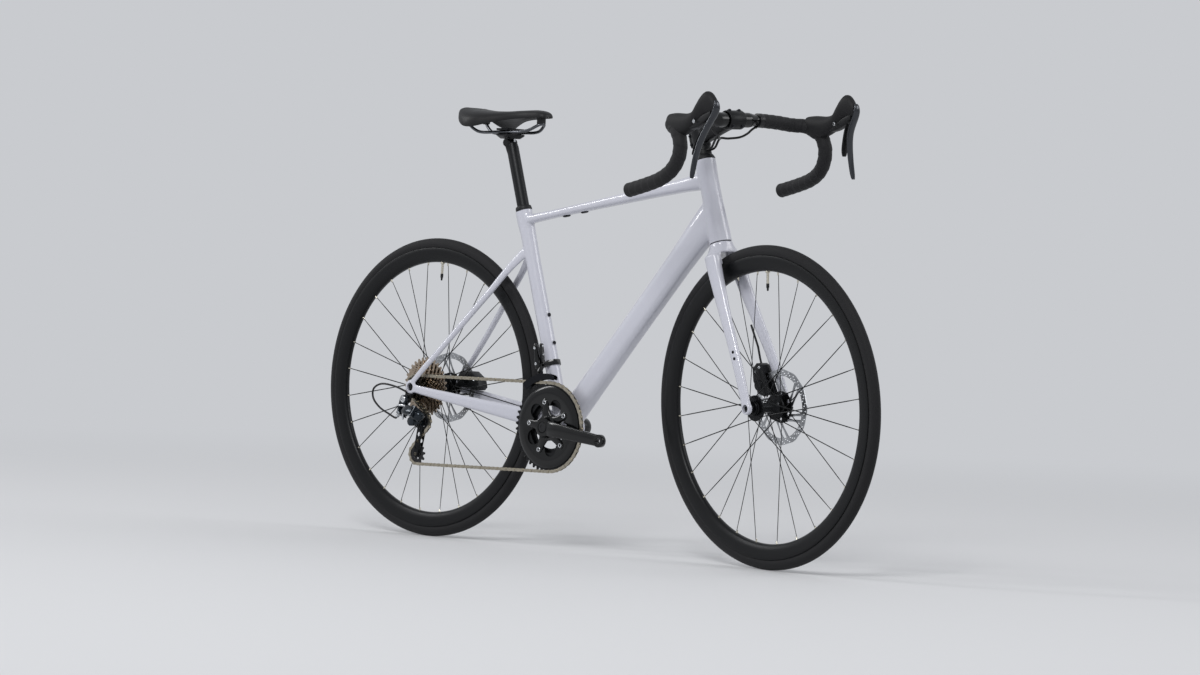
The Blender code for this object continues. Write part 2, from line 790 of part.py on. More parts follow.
def headset():
    bearing("headset_bearing_upper", HEAD_TOP - BEARING_HEIGHT, UPPER_BEARING_RADIUS)
    low = CROWN_HEIGHT + CROWN_CLEARANCE
    bearing("headset_bearing_lower", low, LOWER_BEARING_RADIUS)
    base = HEAD_TOP + GAP
    top = base + HEADSET_COVER_HEIGHT
    inner = bore(STEERER_RADIUS, ROUND_STEPS)
    profile = (
        (inner, top + SPACER_HEIGHT),
        (SPACER_RADIUS, top + SPACER_HEIGHT),
        (SPACER_RADIUS, top),
        (SPACER_RADIUS + 0.0010, top),
        (HEAD_TOP_RADIUS - 0.0006, base + 0.0030),
        (HEAD_TOP_RADIUS - 0.0006, base),
        (inner, base),
    )
    cover = turned("headset_cover", profile, HEAD_FOOT, HEAD_UP, ROUND_STEPS, ring=True)
    hang(black_plastic(cover), "steering")


def bottom_cups():
    outer = BB_BORE_RADIUS - GAP
    inner = bore(SPINDLE_RADIUS, ROUND_STEPS)
    face = BB_SHELL_WIDTH / 2
    depth = 0.0180
    for name, way in (("bb_cup_right", -1), ("bb_cup_left", 1)):
        profile = (
            (inner, face + CUP_FLANGE),
            (BB_SHELL_RADIUS - 0.0008, face + CUP_FLANGE),
            (BB_SHELL_RADIUS - 0.0008, face + GAP),
            (outer, face + GAP),
            (outer, face - depth),
            (inner, face - depth),
        )
        cup = turned(name, profile, BB, SIDE * way, ROUND_STEPS, ring=True)
        hang(black_alloy(cup), "bike")


def seat_collar():
    """The rubber-covered clamp on top of the seat tube, round the post."""
    low = SEAT_TUBE_LENGTH + GAP
    inner = bore(SEATPOST_RADIUS, ROUND_STEPS)
    outer = inner + COLLAR_WALL
    profile = (
        (inner, low + COLLAR_HEIGHT),
        (outer - 0.0012, low + COLLAR_HEIGHT),
        (outer, low + COLLAR_HEIGHT * 0.6),
        (outer, low),
        (inner, low),
    )
    collar = turned("seat_clamp", profile, BB, SEAT_UP, ROUND_STEPS, ring=True)
    hang(black_rubber(collar), "bike")


def hanger_bolt():
    return REAR_AXLE + Vector((-HANGER_BACK, -dropout_side(), -HANGER_DROP))


def derailleur_hanger():
    """The alloy tab under the right dropout that carries the rear derailleur."""
    top = (REAR_AXLE.x - HANGER_BACK * 0.6, REAR_AXLE.z - REAR_DROPOUT_RADIUS * 0.9)
    outline = capsule(top, side_view(hanger_bolt()), HANGER_RADIUS * 0.9, HANGER_RADIUS)
    place = side_plane(-SIDE * dropout_side())
    tab = plate("derailleur_hanger", [outline], REAR_DROPOUT_THICKNESS, place)
    reach = SIDE * (dropout_side() + 0.02)
    clear = rod("clear", REAR_AXLE - reach, REAR_AXLE, REAR_DROPOUT_RADIUS + GAP, 36)
    cut(tab, clear)
    hang(black_alloy(tab), "bike")


def thru_axle(name, axle, spacing, thickness, group):
    """A hollow-ended axle with a flush head on the left and its thread in the right dropout."""
    left = spacing / 2 + thickness - 0.0006
    right = -(spacing / 2 + thickness - 0.0012)
    head = THRU_AXLE_RADIUS + 0.0022
    profile = (
        (0.0, left - 0.0030),
        (0.0030, left - 0.0030),
        (0.0030, left),
        (head, left),
        (head, left - 0.0035),
        (THRU_AXLE_RADIUS, left - 0.0035),
        (THRU_AXLE_RADIUS, right),
        (0.0, right),
    )
    pin = turned(name, profile, axle, SIDE, SMALL_STEPS)
    hang(black_alloy(pin), group)


# Fork
def fork_leg():
    inner = TYRE_HALF_WIDTH + TYRE_CLEARANCE
    top_side = inner + FORK_LEG_TOP_WIDTH / 2 - 0.001
    tip_side = FRONT_SPACING / 2 + FORK_LEG_LOW_WIDTH / 2 - 0.0005
    top_wide = FORK_LEG_TOP_WIDTH / 2
    top_deep = FORK_LEG_TOP_DEPTH / 2

    def at(up, front, side):
        return on_head(up, front, -side)

    stations = (
        (at(CROWN_HEIGHT - 0.027, 0.001, top_side), top_wide, top_deep),
        (at(CROWN_HEIGHT - 0.051, 0.003, top_side + 0.001), top_wide, top_deep),
        (at(CROWN_HEIGHT - 0.099, 0.008, 0.0365), top_wide * 0.84, top_deep * 0.93),
        (at(CROWN_HEIGHT - 0.169, 0.019, 0.0425), top_wide * 0.68, FORK_LEG_MID_DEPTH / 2),
        (at(0.120, 0.033, 0.0490), FORK_LEG_LOW_WIDTH / 2 * 1.25, FORK_LEG_LOW_DEPTH / 2 * 1.18),
        (at(0.050, 0.0415, 0.0530), FORK_LEG_LOW_WIDTH / 2, FORK_LEG_LOW_DEPTH / 2 * 1.02),
        (at(0.000, FORK_RAKE, tip_side), FORK_TIP_THICKNESS / 2 - 0.0003, FORK_TIP_RADIUS * 0.85),
    )
    return swept("fork_leg", stations, power=2.5, count=8)


def fork_tip():
    centre = FRONT_AXLE - SIDE * (FRONT_SPACING / 2 + FORK_TIP_THICKNESS / 2)
    disc = circle(FORK_TIP_RADIUS, SMALL_STEPS)
    return plate("fork_tip", [disc], FORK_TIP_THICKNESS, side_plane(centre))


def fork():
    """The carbon fork: steerer, crown arched over the tyre, and two legs to the thru-axle tips."""
    crown_top = CROWN_HEIGHT - 0.0002
    rings = []
    for up, front, half_side, half_front, power in (
        (crown_top, 0.0, HEAD_BOTTOM_RADIUS, HEAD_BOTTOM_RADIUS, 2.0),
        (crown_top - 0.008, 0.0, HEAD_BOTTOM_RADIUS * 1.10, HEAD_BOTTOM_RADIUS * 0.97, 2.1),
        (crown_top - 0.020, 0.0005, CROWN_HALF_WIDTH * 0.80, HEAD_BOTTOM_RADIUS * 0.88, 2.4),
        (crown_top - 0.035, 0.001, CROWN_HALF_WIDTH * 0.97, HEAD_BOTTOM_RADIUS * 0.80, 2.7),
        (crown_top - 0.050, 0.003, CROWN_HALF_WIDTH, HEAD_BOTTOM_RADIUS * 0.77, 2.8),
    ):
        rings.append(oval(on_head(up, front), SIDE, HEAD_FRONT, half_side, half_front, power, 12))
    body = loft("fork", rings)
    for make in (fork_leg, fork_tip):
        right = make()
        left = mirrored(right, right.name + "_left")
        join(body, right, left)
    clear = TYRE_HALF_WIDTH + TYRE_CLEARANCE
    arch = rod(
        "arch",
        FRONT_AXLE - SIDE * clear,
        FRONT_AXLE + SIDE * clear,
        TYRE_RADIUS + TYRE_CLEARANCE,
        48,
    )
    cut(body, arch)
    join(body, rod("steerer", on_head(crown_top - 0.010), on_head(steerer_top()), STEERER_RADIUS))
    reach = SIDE * 0.08
    hole = THRU_AXLE_RADIUS + 0.0025
    cut(body, rod("tip_bore", FRONT_AXLE - reach, FRONT_AXLE + reach, hole))
    hang(frame_paint(body), "steering")


def steerer_top():
    return stem_foot() + STEM_CLAMP_HEIGHT - 0.0015


def stem_foot():
    return HEAD_TOP + GAP * 2 + HEADSET_COVER_HEIGHT + SPACER_HEIGHT


# Wheels
def tyre(name, axle, group):
    """A tubeless clincher tyre, hollow and open to the rim's well between its beads."""
    bead = BEAD_SEAT_RADIUS + GAP
    crown = TYRE_RADIUS
    wide = TYRE_HALF_WIDTH
    middle = TYRE_RADIUS - wide
    inside = RIM_HALF_WIDTH - RIM_WALL - GAP
    outer = (
        (bead, inside),
        (RIM_OUTER_RADIUS + 0.0010, inside),
        (middle, wide),
        (crown - 0.0042, wide * 0.70),
    )
    profile = [(radius, side) for radius, side in outer]
    profile += [(crown, 0.0)]
    profile += [(radius, -side) for radius, side in reversed(outer)]
    profile += [(bead, -inside + TYRE_WALL), (crown - TYRE_WALL, 0.0), (bead, inside - TYRE_WALL)]
    ring = turned(name, profile, axle, SIDE, WHEEL_STEPS, ring=True)
    hang(black_rubber(ring), group)


def rim(name, axle, group):
    """A hooked carbon rim of medium depth, with its valve fixed in it."""
    half = RIM_HALF_WIDTH
    wall = half - RIM_WALL
    outer = (
        (RIM_OUTER_RADIUS, wall),
        (RIM_OUTER_RADIUS, half),
        (RIM_INNER_RADIUS + 0.012, half * 0.96),
        (RIM_INNER_RADIUS, half * 0.36),
    )
    profile = list(outer) + [(radius, -side) for radius, side in reversed(outer)]
    profile += [(BEAD_SEAT_RADIUS, -wall), (BEAD_SEAT_RADIUS, wall)]
    hoop = turned(name, profile, axle, SIDE, WHEEL_STEPS, ring=True)
    angle = radians(VALVE_ANGLES[group])
    outward = Vector((cos(angle), 0, sin(angle)))
    foot = axle + outward * (BEAD_SEAT_RADIUS - 0.004)
    end = axle + outward * (BEAD_SEAT_RADIUS - VALVE_LENGTH)
    join(hoop, rod("valve", foot, end, VALVE_RADIUS, 8))
    hang(black_gloss(hoop), group)


def spoke(name, axle, flange_side, hub_angle, rim_angle, offset):
    """A flat steel spoke from a hub flange to just short of the rim."""
    start_radius = HUB_FLANGE_RADIUS - 0.0035
    start = axle + Vector((
        cos(hub_angle) * start_radius,
        flange_side + offset,
        sin(hub_angle) * start_radius,
    ))
    reach = RIM_INNER_RADIUS * cos(pi / WHEEL_STEPS) - GAP * 1.5
    lean = copysign(0.0015, flange_side)
    end = axle + Vector((cos(rim_angle) * reach, lean, sin(rim_angle) * reach))
    stations = ((start, SPOKE_THICKNESS / 2, SPOKE_WIDTH / 2), (end, SPOKE_THICKNESS / 2, SPOKE_WIDTH / 2))
    return swept(name, stations, count=3)


def gather(name, pieces):
    """Several separate solids as one object, for a single Boolean."""
    mesh = bmesh.new()
    for piece in pieces:
        mesh.from_mesh(piece.data)
        bpy.data.objects.remove(piece)
    data = bpy.data.meshes.new(name)
    mesh.to_mesh(data)
    mesh.free()
    return add_object(name, data)


def hub_shell(name, axle, spacing, flanges, rotor_side, drive_end):
    """The hub's turned body: end caps, two spoke flanges and the seat of the disc rotor."""
    end = spacing / 2 - GAP
    low, high = flanges
    half = HUB_FLANGE_THICKNESS / 2
    seat = ROTOR_BORE_RADIUS - GAP
    hole = bore(THRU_AXLE_RADIUS)
    profile = [
        (hole, end),
        (HUB_END_RADIUS, end),
        (seat, rotor_side + ROTOR_THICKNESS),
        (seat, rotor_side - 0.0040),
        (HUB_BODY_RADIUS, high + half + 0.0035),
        (HUB_FLANGE_RADIUS, high + half),
        (HUB_FLANGE_RADIUS, high - half),
        (HUB_BODY_RADIUS, high - half - 0.0035),
        (HUB_BODY_RADIUS, low + half + 0.0035),
        (HUB_FLANGE_RADIUS, low + half),
        (HUB_FLANGE_RADIUS, low - half),
    ]
    profile += drive_end
    profile += [(HUB_END_RADIUS, -end), (hole, -end)]
    return turned(name, profile, axle, SIDE, SMALL_STEPS, ring=True)


def laced_hub(name, axle, spacing, flanges, rotor_side, drive_end, group):
    body = hub_shell(name, axle, spacing, flanges, rotor_side, drive_end)
    pairs = SPOKE_COUNT // 4
    spokes = []
    for flange_index, flange_side in enumerate(flanges):
        for pair in range(pairs):
            middle = tau * (pair + 0.5 * flange_index) / pairs
            for way in (-1, 1):
                hub_angle = middle + way * tau / pairs * 0.92
                rim_angle = middle - way * tau / SPOKE_COUNT / 2
                offset = 0.0008 * way
                spokes.append(
                    spoke("spoke", axle, flange_side, hub_angle, rim_angle, offset)
                )
    join(body, gather("spokes", spokes))
    body.name = name
    hang(black_alloy(body), group)


def rotor(name, axle, side, group):
    """A ventilated steel disc: slotted braking band, raked arms and a splined centre."""
    outer = circle(ROTOR_RADIUS, WHEEL_STEPS)
    loops = [outer, circle(ROTOR_BORE_RADIUS, SMALL_STEPS)]
    band = ROTOR_RADIUS - ROTOR_BAND
    for index in range(ROTOR_ARMS):
        turn = 360 / ROTOR_ARMS
        start = index * turn
        outside = arc(band, start + 22, start + turn + 12, 4)
        inside = arc(ROTOR_HUB_RADIUS, start + turn - 8, start + 8, 2)
        loops.append(outside + inside)
    for index in range(ROTOR_SLOTS):
        start = index * 360 / ROTOR_SLOTS
        near = arc(band + 0.0035, start, start + 3.2, 2)
        far = arc(ROTOR_RADIUS - 0.0035, start + 10.0, start + 6.8, 2)
        loops.append(near + far)
    disc = plate(name, loops, ROTOR_THICKNESS, side_plane(axle + SIDE * side))
    hang(bare_steel(disc), group)


def wheels():
    bearing_seat = [
        (HUB_BODY_RADIUS, FRONT_FLANGES[0] - 0.0050),
        (HUB_END_RADIUS + 0.002, -FRONT_SPACING / 2 + 0.0060),
    ]
    freehub_seat = [
        (FREEHUB_RADIUS - 0.0004, REAR_FLANGES[0] - 0.0026),
        (HUB_END_RADIUS, REAR_FLANGES[0] - 0.0030),
    ]
    tyre("front_tyre", FRONT_AXLE, "front_wheel")
    rim("front_rim", FRONT_AXLE, "front_wheel")
    laced_hub(
        "front_hub",
        FRONT_AXLE,
        FRONT_SPACING,
        FRONT_FLANGES,
        FRONT_ROTOR_SIDE,
        bearing_seat,
        "front_wheel",
    )
    rotor("front_rotor", FRONT_AXLE, FRONT_ROTOR_SIDE, "front_wheel")
    tyre("rear_tyre", REAR_AXLE, "rear_wheel")
    rim("rear_rim", REAR_AXLE, "rear_wheel")
    laced_hub("rear_hub", REAR_AXLE, REAR_SPACING, REAR_FLANGES, REAR_ROTOR_SIDE, freehub_seat, "rear_wheel")
    rotor("rear_rotor", REAR_AXLE, REAR_ROTOR_SIDE, "rear_wheel")
    thru_axle("front_thru_axle", FRONT_AXLE, FRONT_SPACING, FORK_TIP_THICKNESS, "steering")
    thru_axle("rear_thru_axle", REAR_AXLE, REAR_SPACING, REAR_DROPOUT_THICKNESS, "bike")


# Disc brakes
def caliper(name, axle, side, forward, outline, group, hose=()):
    """A caliper round the rotor: two halves joined outside it, with a slot for the pads."""
    centre = axle + SIDE * side
    body = plate(name, [outline], CALIPER_WIDTH, along_line(centre, -SIDE, forward))
    half = ROTOR_THICKNESS / 2 + PAD_CLEARANCE + PAD_THICKNESS + GAP
    slot = rod("slot", centre - SIDE * half, centre + SIDE * half, ROTOR_RADIUS + ROTOR_TIP_CLEARANCE, 36)
    cut(body, slot)
    if hose:
        join(body, tube("hose", hose, HOSE_RADIUS))
    hang(black_alloy(body), group)


def pads(prefix, axle, side, forward, place, group):
    """The two brake pads, one on each face of the rotor."""
    x, y = place
    radial = atan2(y, x)
    along = (cos(radial), sin(radial))
    across = (-sin(radial), cos(radial))
    outline = []
    for u, v in ((-1, -1), (1, -1), (1, 0.6), (0.6, 1), (-0.6, 1), (-1, 0.6)):
        shift = (v * PAD_HEIGHT / 2, u * PAD_LENGTH / 2)
        outline.append((
            x + along[0] * shift[0] + across[0] * shift[1],
            y + along[1] * shift[0] + across[1] * shift[1],
        ))
    offset = ROTOR_THICKNESS / 2 + PAD_CLEARANCE + PAD_THICKNESS / 2
    for ending, way in (("inner", -1), ("outer", 1)):
        name = prefix + "_pad_" + ending
        centre = axle + SIDE * (side + way * offset)
        add_group(name, centre, group)
        pad = plate(name, [outline], PAD_THICKNESS, along_line(centre, -SIDE, forward))
        hang(bare_steel(pad), name)


def brakes():
    leg = (
        (-0.0165, 0.034),
        (-0.0260, 0.098),
        (-0.0340, 0.104),
        (-0.0500, 0.096),
        (-0.0550, 0.070),
        (-0.0460, 0.040),
        (-0.0300, 0.030),
    )
    hose = []
    for up, front in ((0.094, 0.008), (0.115, 0.007), (0.140, 0.0075), (0.165, 0.0035), (0.190, -0.001)):
        hose.append(on_head(up, front, FRONT_ROTOR_SIDE + 0.002))
    caliper("front_caliper", FRONT_AXLE, FRONT_ROTOR_SIDE, HEAD_FRONT, leg, "steering", hose)
    pads("front", FRONT_AXLE, FRONT_ROTOR_SIDE, HEAD_FRONT, PAD_PLACE_FRONT, "steering")
    stay = (
        (0.034, 0.0102),
        (0.098, 0.0118),
        (0.104, 0.020),
        (0.096, 0.038),
        (0.070, 0.050),
        (0.040, 0.046),
        (0.032, 0.030),
    )
    forward = (chain_stay_start() - chain_stay_end()).normalized()
    caliper("rear_caliper", REAR_AXLE, REAR_ROTOR_SIDE, forward, stay, "bike")
    pads("rear", REAR_AXLE, REAR_ROTOR_SIDE, forward, PAD_PLACE_REAR, "bike")


# Sprockets and the chain that runs over them
def pitch_radius(teeth):
    return CHAIN_PITCH / (2 * sin(pi / teeth))


def sprocket_outline(teeth, phase):
    """Teeth round a sprocket, with a gap for a chain roller at the phase angle."""
    root = pitch_radius(teeth) - TOOTH_ROOT_DROP
    tip = pitch_radius(teeth) + TOOTH_TIP_RISE
    points = []
    for tooth in range(teeth):
        angle = phase + tau * tooth / teeth
        points.append((root * cos(angle), root * sin(angle)))
        angle += pi / teeth
        points.append((tip * cos(angle), tip * sin(angle)))
    return points


def cog_side(index):
    """How far to the right of the bike's middle a cog lies: the smallest is the outermost."""
    middle = (len(COG_TEETH) - 1) / 2
    return CASSETTE_CENTRE_SIDE + (middle - index) * COG_SPACING


def guide_centre():
    return REAR_AXLE + Vector((GUIDE_FORWARD, -cog_side(CHAIN_COG), -GUIDE_DROP))


def tension_centre(cage_angle):
    swing = Vector((sin(cage_angle), 0, -cos(cage_angle)))
    return guide_centre() + swing * CAGE_LENGTH


def chain_wheels(cage_angle):
    """What the chain runs over, in order: centre, pitch radius (negative if it turns back), teeth."""
    ring = BB - SIDE * ring_side(OUTER_RING_TEETH)
    cog = REAR_AXLE - SIDE * cog_side(CHAIN_COG)
    pulley = pitch_radius(PULLEY_TEETH)
    return (
        (ring, pitch_radius(OUTER_RING_TEETH), OUTER_RING_TEETH),
        (cog, pitch_radius(COG_TEETH[CHAIN_COG]), COG_TEETH[CHAIN_COG]),
        (guide_centre(), -pulley, PULLEY_TEETH),
        (tension_centre(cage_angle), pulley, PULLEY_TEETH),
    )


def outward(heading):
    """The direction to the right of a heading, in side view."""
    return Vector((sin(heading), 0, -cos(heading)))


def chain_spans(cage_angle):
    """The wraps and straight runs of the chain, each with its length in links."""
    wheels_in_order = chain_wheels(cage_angle)
    headings = []
    for index, (centre, radius, _) in enumerate(wheels_in_order):
        after, after_radius, _ = wheels_in_order[(index + 1) % len(wheels_in_order)]
        offset = after - centre
        distance = hypot(offset.x, offset.z)
        headings.append(atan2(offset.z, offset.x) + asin((radius - after_radius) / distance))
    spans = []
    for index, (centre, radius, teeth) in enumerate(wheels_in_order):
        after, after_radius, _ = wheels_in_order[(index + 1) % len(wheels_in_order)]
        arrive = headings[index - 1]
        leave = headings[index]
        turn = (leave - arrive) % tau if radius > 0 else -((arrive - leave) % tau)
        spans.append(("wrap", abs(turn) * teeth / tau, centre, radius, arrive, turn))
        start = centre + outward(leave) * radius
        end = after + outward(leave) * after_radius
        run = hypot(end.x - start.x, end.z - start.z)
        spans.append(("run", run / CHAIN_PITCH, start, end, leave, 0.0))
    return spans


def solve_cage_angle():
    """The cage's angle at which the chain has just its number of links."""
    low, high = radians(-60), radians(60)
    for step in range(50):
        middle = (low + high) / 2
        if sum(span[1] for span in chain_spans(middle)) > CHAIN_LINKS:
            low = middle
        else:
            high = middle
    return low


def chain_rollers(cage_angle):
    """Each roller's centre and heading, and the angle of the first roller on each wheel."""
    rollers = []
    phases = []
    covered = 0.0
    for kind, links, first, second, heading, turn in chain_spans(cage_angle):
        begun = len(rollers)
        while len(rollers) < CHAIN_LINKS and len(rollers) < covered + links - 0.000001:
            share = (len(rollers) - covered) / links
            if kind == "wrap":
                now = heading + turn * share
                rollers.append((first + outward(now) * second, now))
            else:
                spot = first.lerp(second, share)
                shift = min(max((share - 0.2) / 0.6, 0.0), 1.0)
                spot.y = first.y + (second.y - first.y) * shift
                rollers.append((spot, heading))
        if kind == "wrap":
            offset = rollers[begun][0] - first
            phases.append(atan2(offset.z, offset.x))
        covered += links
    return rollers, phases


def chain(rollers):
    """The chain as a ladder of side plates and rollers, in one closed loop."""
    half_height = CHAIN_PLATE_HEIGHT / 2
    mesh = bmesh.new()
    rows = []
    for centre, heading in rollers:
        along = Vector((cos(heading), 0, sin(heading)))
        rise = outward(heading) * half_height
        row = {}
        for way in (-1, 1):
            inner = centre + SIDE * (way * CHAIN_INNER_WIDTH / 2)
            outer = centre + SIDE * (way * CHAIN_OUTER_WIDTH / 2)
            spots = (outer - rise, inner - rise, inner + rise, outer + rise)
            row[way] = [mesh.verts.new(spot) for spot in spots]
            row[way, "front"] = mesh.verts.new(inner + along * ROLLER_RADIUS)
            row[way, "back"] = mesh.verts.new(inner - along * ROLLER_RADIUS)
        rows.append(row)
    for row, after in zip(rows, rows[1:] + rows[:1]):
        for way in (-1, 1):
            here, there = row[way], after[way]
            mesh.faces.new((here[0], there[0], there[1], here[1]))
            mesh.faces.new((here[3], here[2], there[2], there[3]))
            mesh.faces.new((here[0], here[3], there[3], there[0]))
            inside = (here[1], row[way, "front"], here[2], there[2], after[way, "back"], there[1])
            mesh.faces.new(inside)
        left, right = row[1], row[-1]
        for corner, ending in ((1, "front"), (1, "back"), (2, "front"), (2, "back")):
            mesh.faces.new((left[corner], right[corner], row[-1, ending], row[1, ending]))
    data = bpy.data.meshes.new("chain")
    mesh.to_mesh(data)
    mesh.free()
    hang(chain_steel(tidy(add_object("chain", data))), "bike")


def cassette(phase):
    """Eleven cogs on the freehub body that carries them."""
    hole = bore(HUB_END_RADIUS)
    core = FREEHUB_RADIUS
    outer = cog_side(0) + COG_THICKNESS / 2
    inner = cog_side(len(COG_TEETH) - 1) - COG_THICKNESS / 2
    profile = (
        (hole, outer + 0.0030),
        (core - 0.0016, outer + 0.0030),
        (core - 0.0016, outer - 0.0004),
        (core, outer - 0.0004),
        (core, inner - 0.0012),
        (hole, inner - 0.0012),
    )
    body = turned("cassette", profile, REAR_AXLE, -SIDE, SMALL_STEPS, ring=True)
    cogs = []
    inside = circle(core - 0.0030, 8)
    for index, teeth in enumerate(COG_TEETH):
        place = side_plane(REAR_AXLE - SIDE * cog_side(index))
        cogs.append(plate("cog", [sprocket_outline(teeth, phase), inside], COG_THICKNESS, place))
    join(body, gather("cogs", cogs))
    hang(bronze_steel(body), "cassette")


def ring_side(teeth):
    outer = CHAINLINE + RING_SPACING / 2
    return outer if teeth == OUTER_RING_TEETH else outer - RING_SPACING


def bolt_angles():
    return [CRANK_ANGLE + 180 + 72 * index for index in range(5)]


def chainrings(phase):
    loops = [sprocket_outline(OUTER_RING_TEETH, phase), circle(RING_INNER_RADIUS, 20)]
    for angle in bolt_angles():
        outside = arc(RING_SLOT_RADIUS + 0.0030, angle - 14, angle + 14, 4)
        inside = arc(RING_SLOT_RADIUS - 0.0030, angle + 14, angle - 14, 4)
        loops.append(outside + inside)
    place = side_plane(BB - SIDE * ring_side(OUTER_RING_TEETH))
    hang(black_alloy(plate("ring_outer", loops, RING_THICKNESS, place)), "crank")
    loops = [sprocket_outline(INNER_RING_TEETH, phase), circle(RING_INNER_RADIUS, 20)]
    place = side_plane(BB - SIDE * ring_side(INNER_RING_TEETH))
    hang(black_alloy(plate("ring_inner", loops, RING_THICKNESS, place)), "crank")


def crank_arm(name, direction, way):
    """The hollow-forged arm from the spindle's boss to the pedal's eye."""
    face = CRANK_FACE_SIDE
    stations = (
        (BB + direction * 0.004 + SIDE * way * (face - 0.0115), 0.0060, CRANK_BOSS_RADIUS * 0.92),
        (BB + direction * 0.035 + SIDE * way * (face - 0.0080), 0.0065, CRANK_BOSS_RADIUS * 0.80),
        (BB + direction * 0.090 + SIDE * way * (face - 0.0065), 0.0065, CRANK_EYE_RADIUS * 1.02),
        (BB + direction * 0.145 + SIDE * way * (face - 0.0062), 0.0062, CRANK_EYE_RADIUS * 0.90),
        (
            BB + direction * (CRANK_LENGTH - 0.001) + SIDE * way * (face - 0.0062),
            0.0062,
            CRANK_EYE_RADIUS * 0.86,
        ),
    )
    arm = swept(name, stations, power=2.8)
    eye = BB + direction * CRANK_LENGTH
    inside = eye + SIDE * way * (face - 0.0128)
    outside = eye + SIDE * way * (face + 0.0002)
    join(arm, rod("eye", inside, outside, CRANK_EYE_RADIUS, 14))
    thread_start = eye + SIDE * way * (face - 0.03)
    thread_end = eye + SIDE * way * (face + 0.02)
    return cut(arm, rod("thread", thread_start, thread_end, PEDAL_BORE_RADIUS, 10))


def spider():
    """The plate of five arms that carries the two chainrings, between them."""
    outer = ring_side(OUTER_RING_TEETH) - RING_THICKNESS / 2 - GAP
    inner = ring_side(INNER_RING_TEETH) + RING_THICKNESS / 2 + GAP
    outline = []
    for angle in sorted(bolt_angles()):
        for radius, offset in ((0.027, -17), (0.060, -6.5), (0.060, 6.5), (0.027, 17)):
            turn = radians(angle + offset)
            outline.append((radius * cos(turn), radius * sin(turn)))
    middle = BB - SIDE * (outer + inner) / 2
    thickness = outer - inner - GAP * 2
    return plate("spider", [outline, circle(CUP_CLEAR_RADIUS + 0.0020, 8)], thickness, side_plane(middle))


def cranks():
    face = BB_SHELL_WIDTH / 2 + CUP_FLANGE
    turn = radians(CRANK_ANGLE)
    forward = Vector((cos(turn), 0, sin(turn)))
    outer = ring_side(OUTER_RING_TEETH) - RING_THICKNESS / 2 - GAP
    inner = ring_side(INNER_RING_TEETH) + RING_THICKNESS / 2 + GAP
    profile = (
        (0.0, CRANK_FACE_SIDE - 0.0060),
        (CRANK_BOSS_RADIUS, CRANK_FACE_SIDE - 0.0060),
        (CRANK_BOSS_RADIUS + 0.0015, CRANK_FACE_SIDE - 0.0130),
        (CUP_CLEAR_RADIUS + 0.0060, outer),
        (CUP_CLEAR_RADIUS + 0.0060, inner),
        (CUP_CLEAR_RADIUS, inner),
        (CUP_CLEAR_RADIUS, face + GAP * 2),
        (SPINDLE_RADIUS, face + GAP * 2),
        (SPINDLE_RADIUS, -SPINDLE_END),
        (0.0, -SPINDLE_END),
    )
    body = turned("crank_right", profile, BB, -SIDE, ROUND_STEPS)
    join(body, spider(), crank_arm("arm", forward, -1))
    hang(black_gloss(body), "crank")
    hole = bore(SPINDLE_RADIUS, ROUND_STEPS)
    profile = (
        (hole, CRANK_FACE_SIDE - 0.0050),
        (CRANK_BOSS_RADIUS, CRANK_FACE_SIDE - 0.0050),
        (CRANK_BOSS_RADIUS, face + GAP * 2),
        (hole, face + GAP * 2),
    )
    body = turned("crank_left", profile, BB, SIDE, ROUND_STEPS, ring=True)
    arm = crank_arm("arm", -forward, 1)
    cut(arm, rod("clear", BB, BB + SIDE * 0.1, hole + 0.0012))
    join(body, arm)
    hang(black_gloss(body), "crank")


# Rear derailleur: a slanted parallelogram between two knuckles, and a sprung cage
def link_axes():
    """The link's own direction at mid travel, the way it carries the cage, and its pins' direction."""
    slant = radians(LINK_SLANT)
    tilt = radians(LINK_TILT)
    inward = Vector((0, cos(slant), -sin(slant)))
    square = Vector((0, sin(slant), cos(slant)))
    ahead = FRONT * cos(tilt) - square * sin(tilt)
    return ahead, inward, ahead.cross(inward)


def knuckle_centre():
    return REAR_AXLE + Vector((-HANGER_BACK - KNUCKLE_BACK, -KNUCKLE_SIDE, -HANGER_DROP - KNUCKLE_DROP))


def adjuster_line():
    """Where the cable adjuster starts in the knuckle, and the direction it points, back and down."""
    slope = radians(ADJUSTER_SLOPE)
    return knuckle_centre() - SIDE * 0.0040, Vector((-cos(slope), 0, -sin(slope)))


def link_vector(angle):
    ahead, inward, pin = link_axes()
    return (ahead * cos(angle) + inward * sin(angle)) * LINK_LENGTH


def link_bar(name, start, group):
    """A flat link between two pins, at its rest angle."""
    ahead, inward, pin = link_axes()
    reach = link_vector(radians(LINK_REST_ANGLE))
    outline = capsule((0.0, 0.0), (LINK_LENGTH, 0.0), LINK_END_RADIUS, LINK_END_RADIUS, 5)
    place = along_line(start, pin, reach.normalized())
    hang(black_gloss(plate(name, [outline], LINK_HEIGHT, place)), group)


def jaw(name, centre, facing):
    """A knuckle's jaw, open towards the links, that holds their ends above and below."""
    ahead, inward, pin = link_axes()
    inside = LINK_HEIGHT / 2 + GAP
    outside = inside + KNUCKLE_JAW
    root = LINK_END_RADIUS + GAP * 2
    lip = LINK_END_RADIUS
    outline = (
        (lip, outside),
        (-root - KNUCKLE_JAW, outside),
        (-root - KNUCKLE_JAW, -outside),
        (lip, -outside),
        (lip, -inside),
        (-root, -inside),
        (-root, inside),
        (lip, inside),
    )
    width = LINK_SPREAD + LINK_END_RADIUS * 2
    sense = ahead * facing
    place = along_line(centre, sense.cross(pin), sense)
    return plate(name, [outline], width, place)


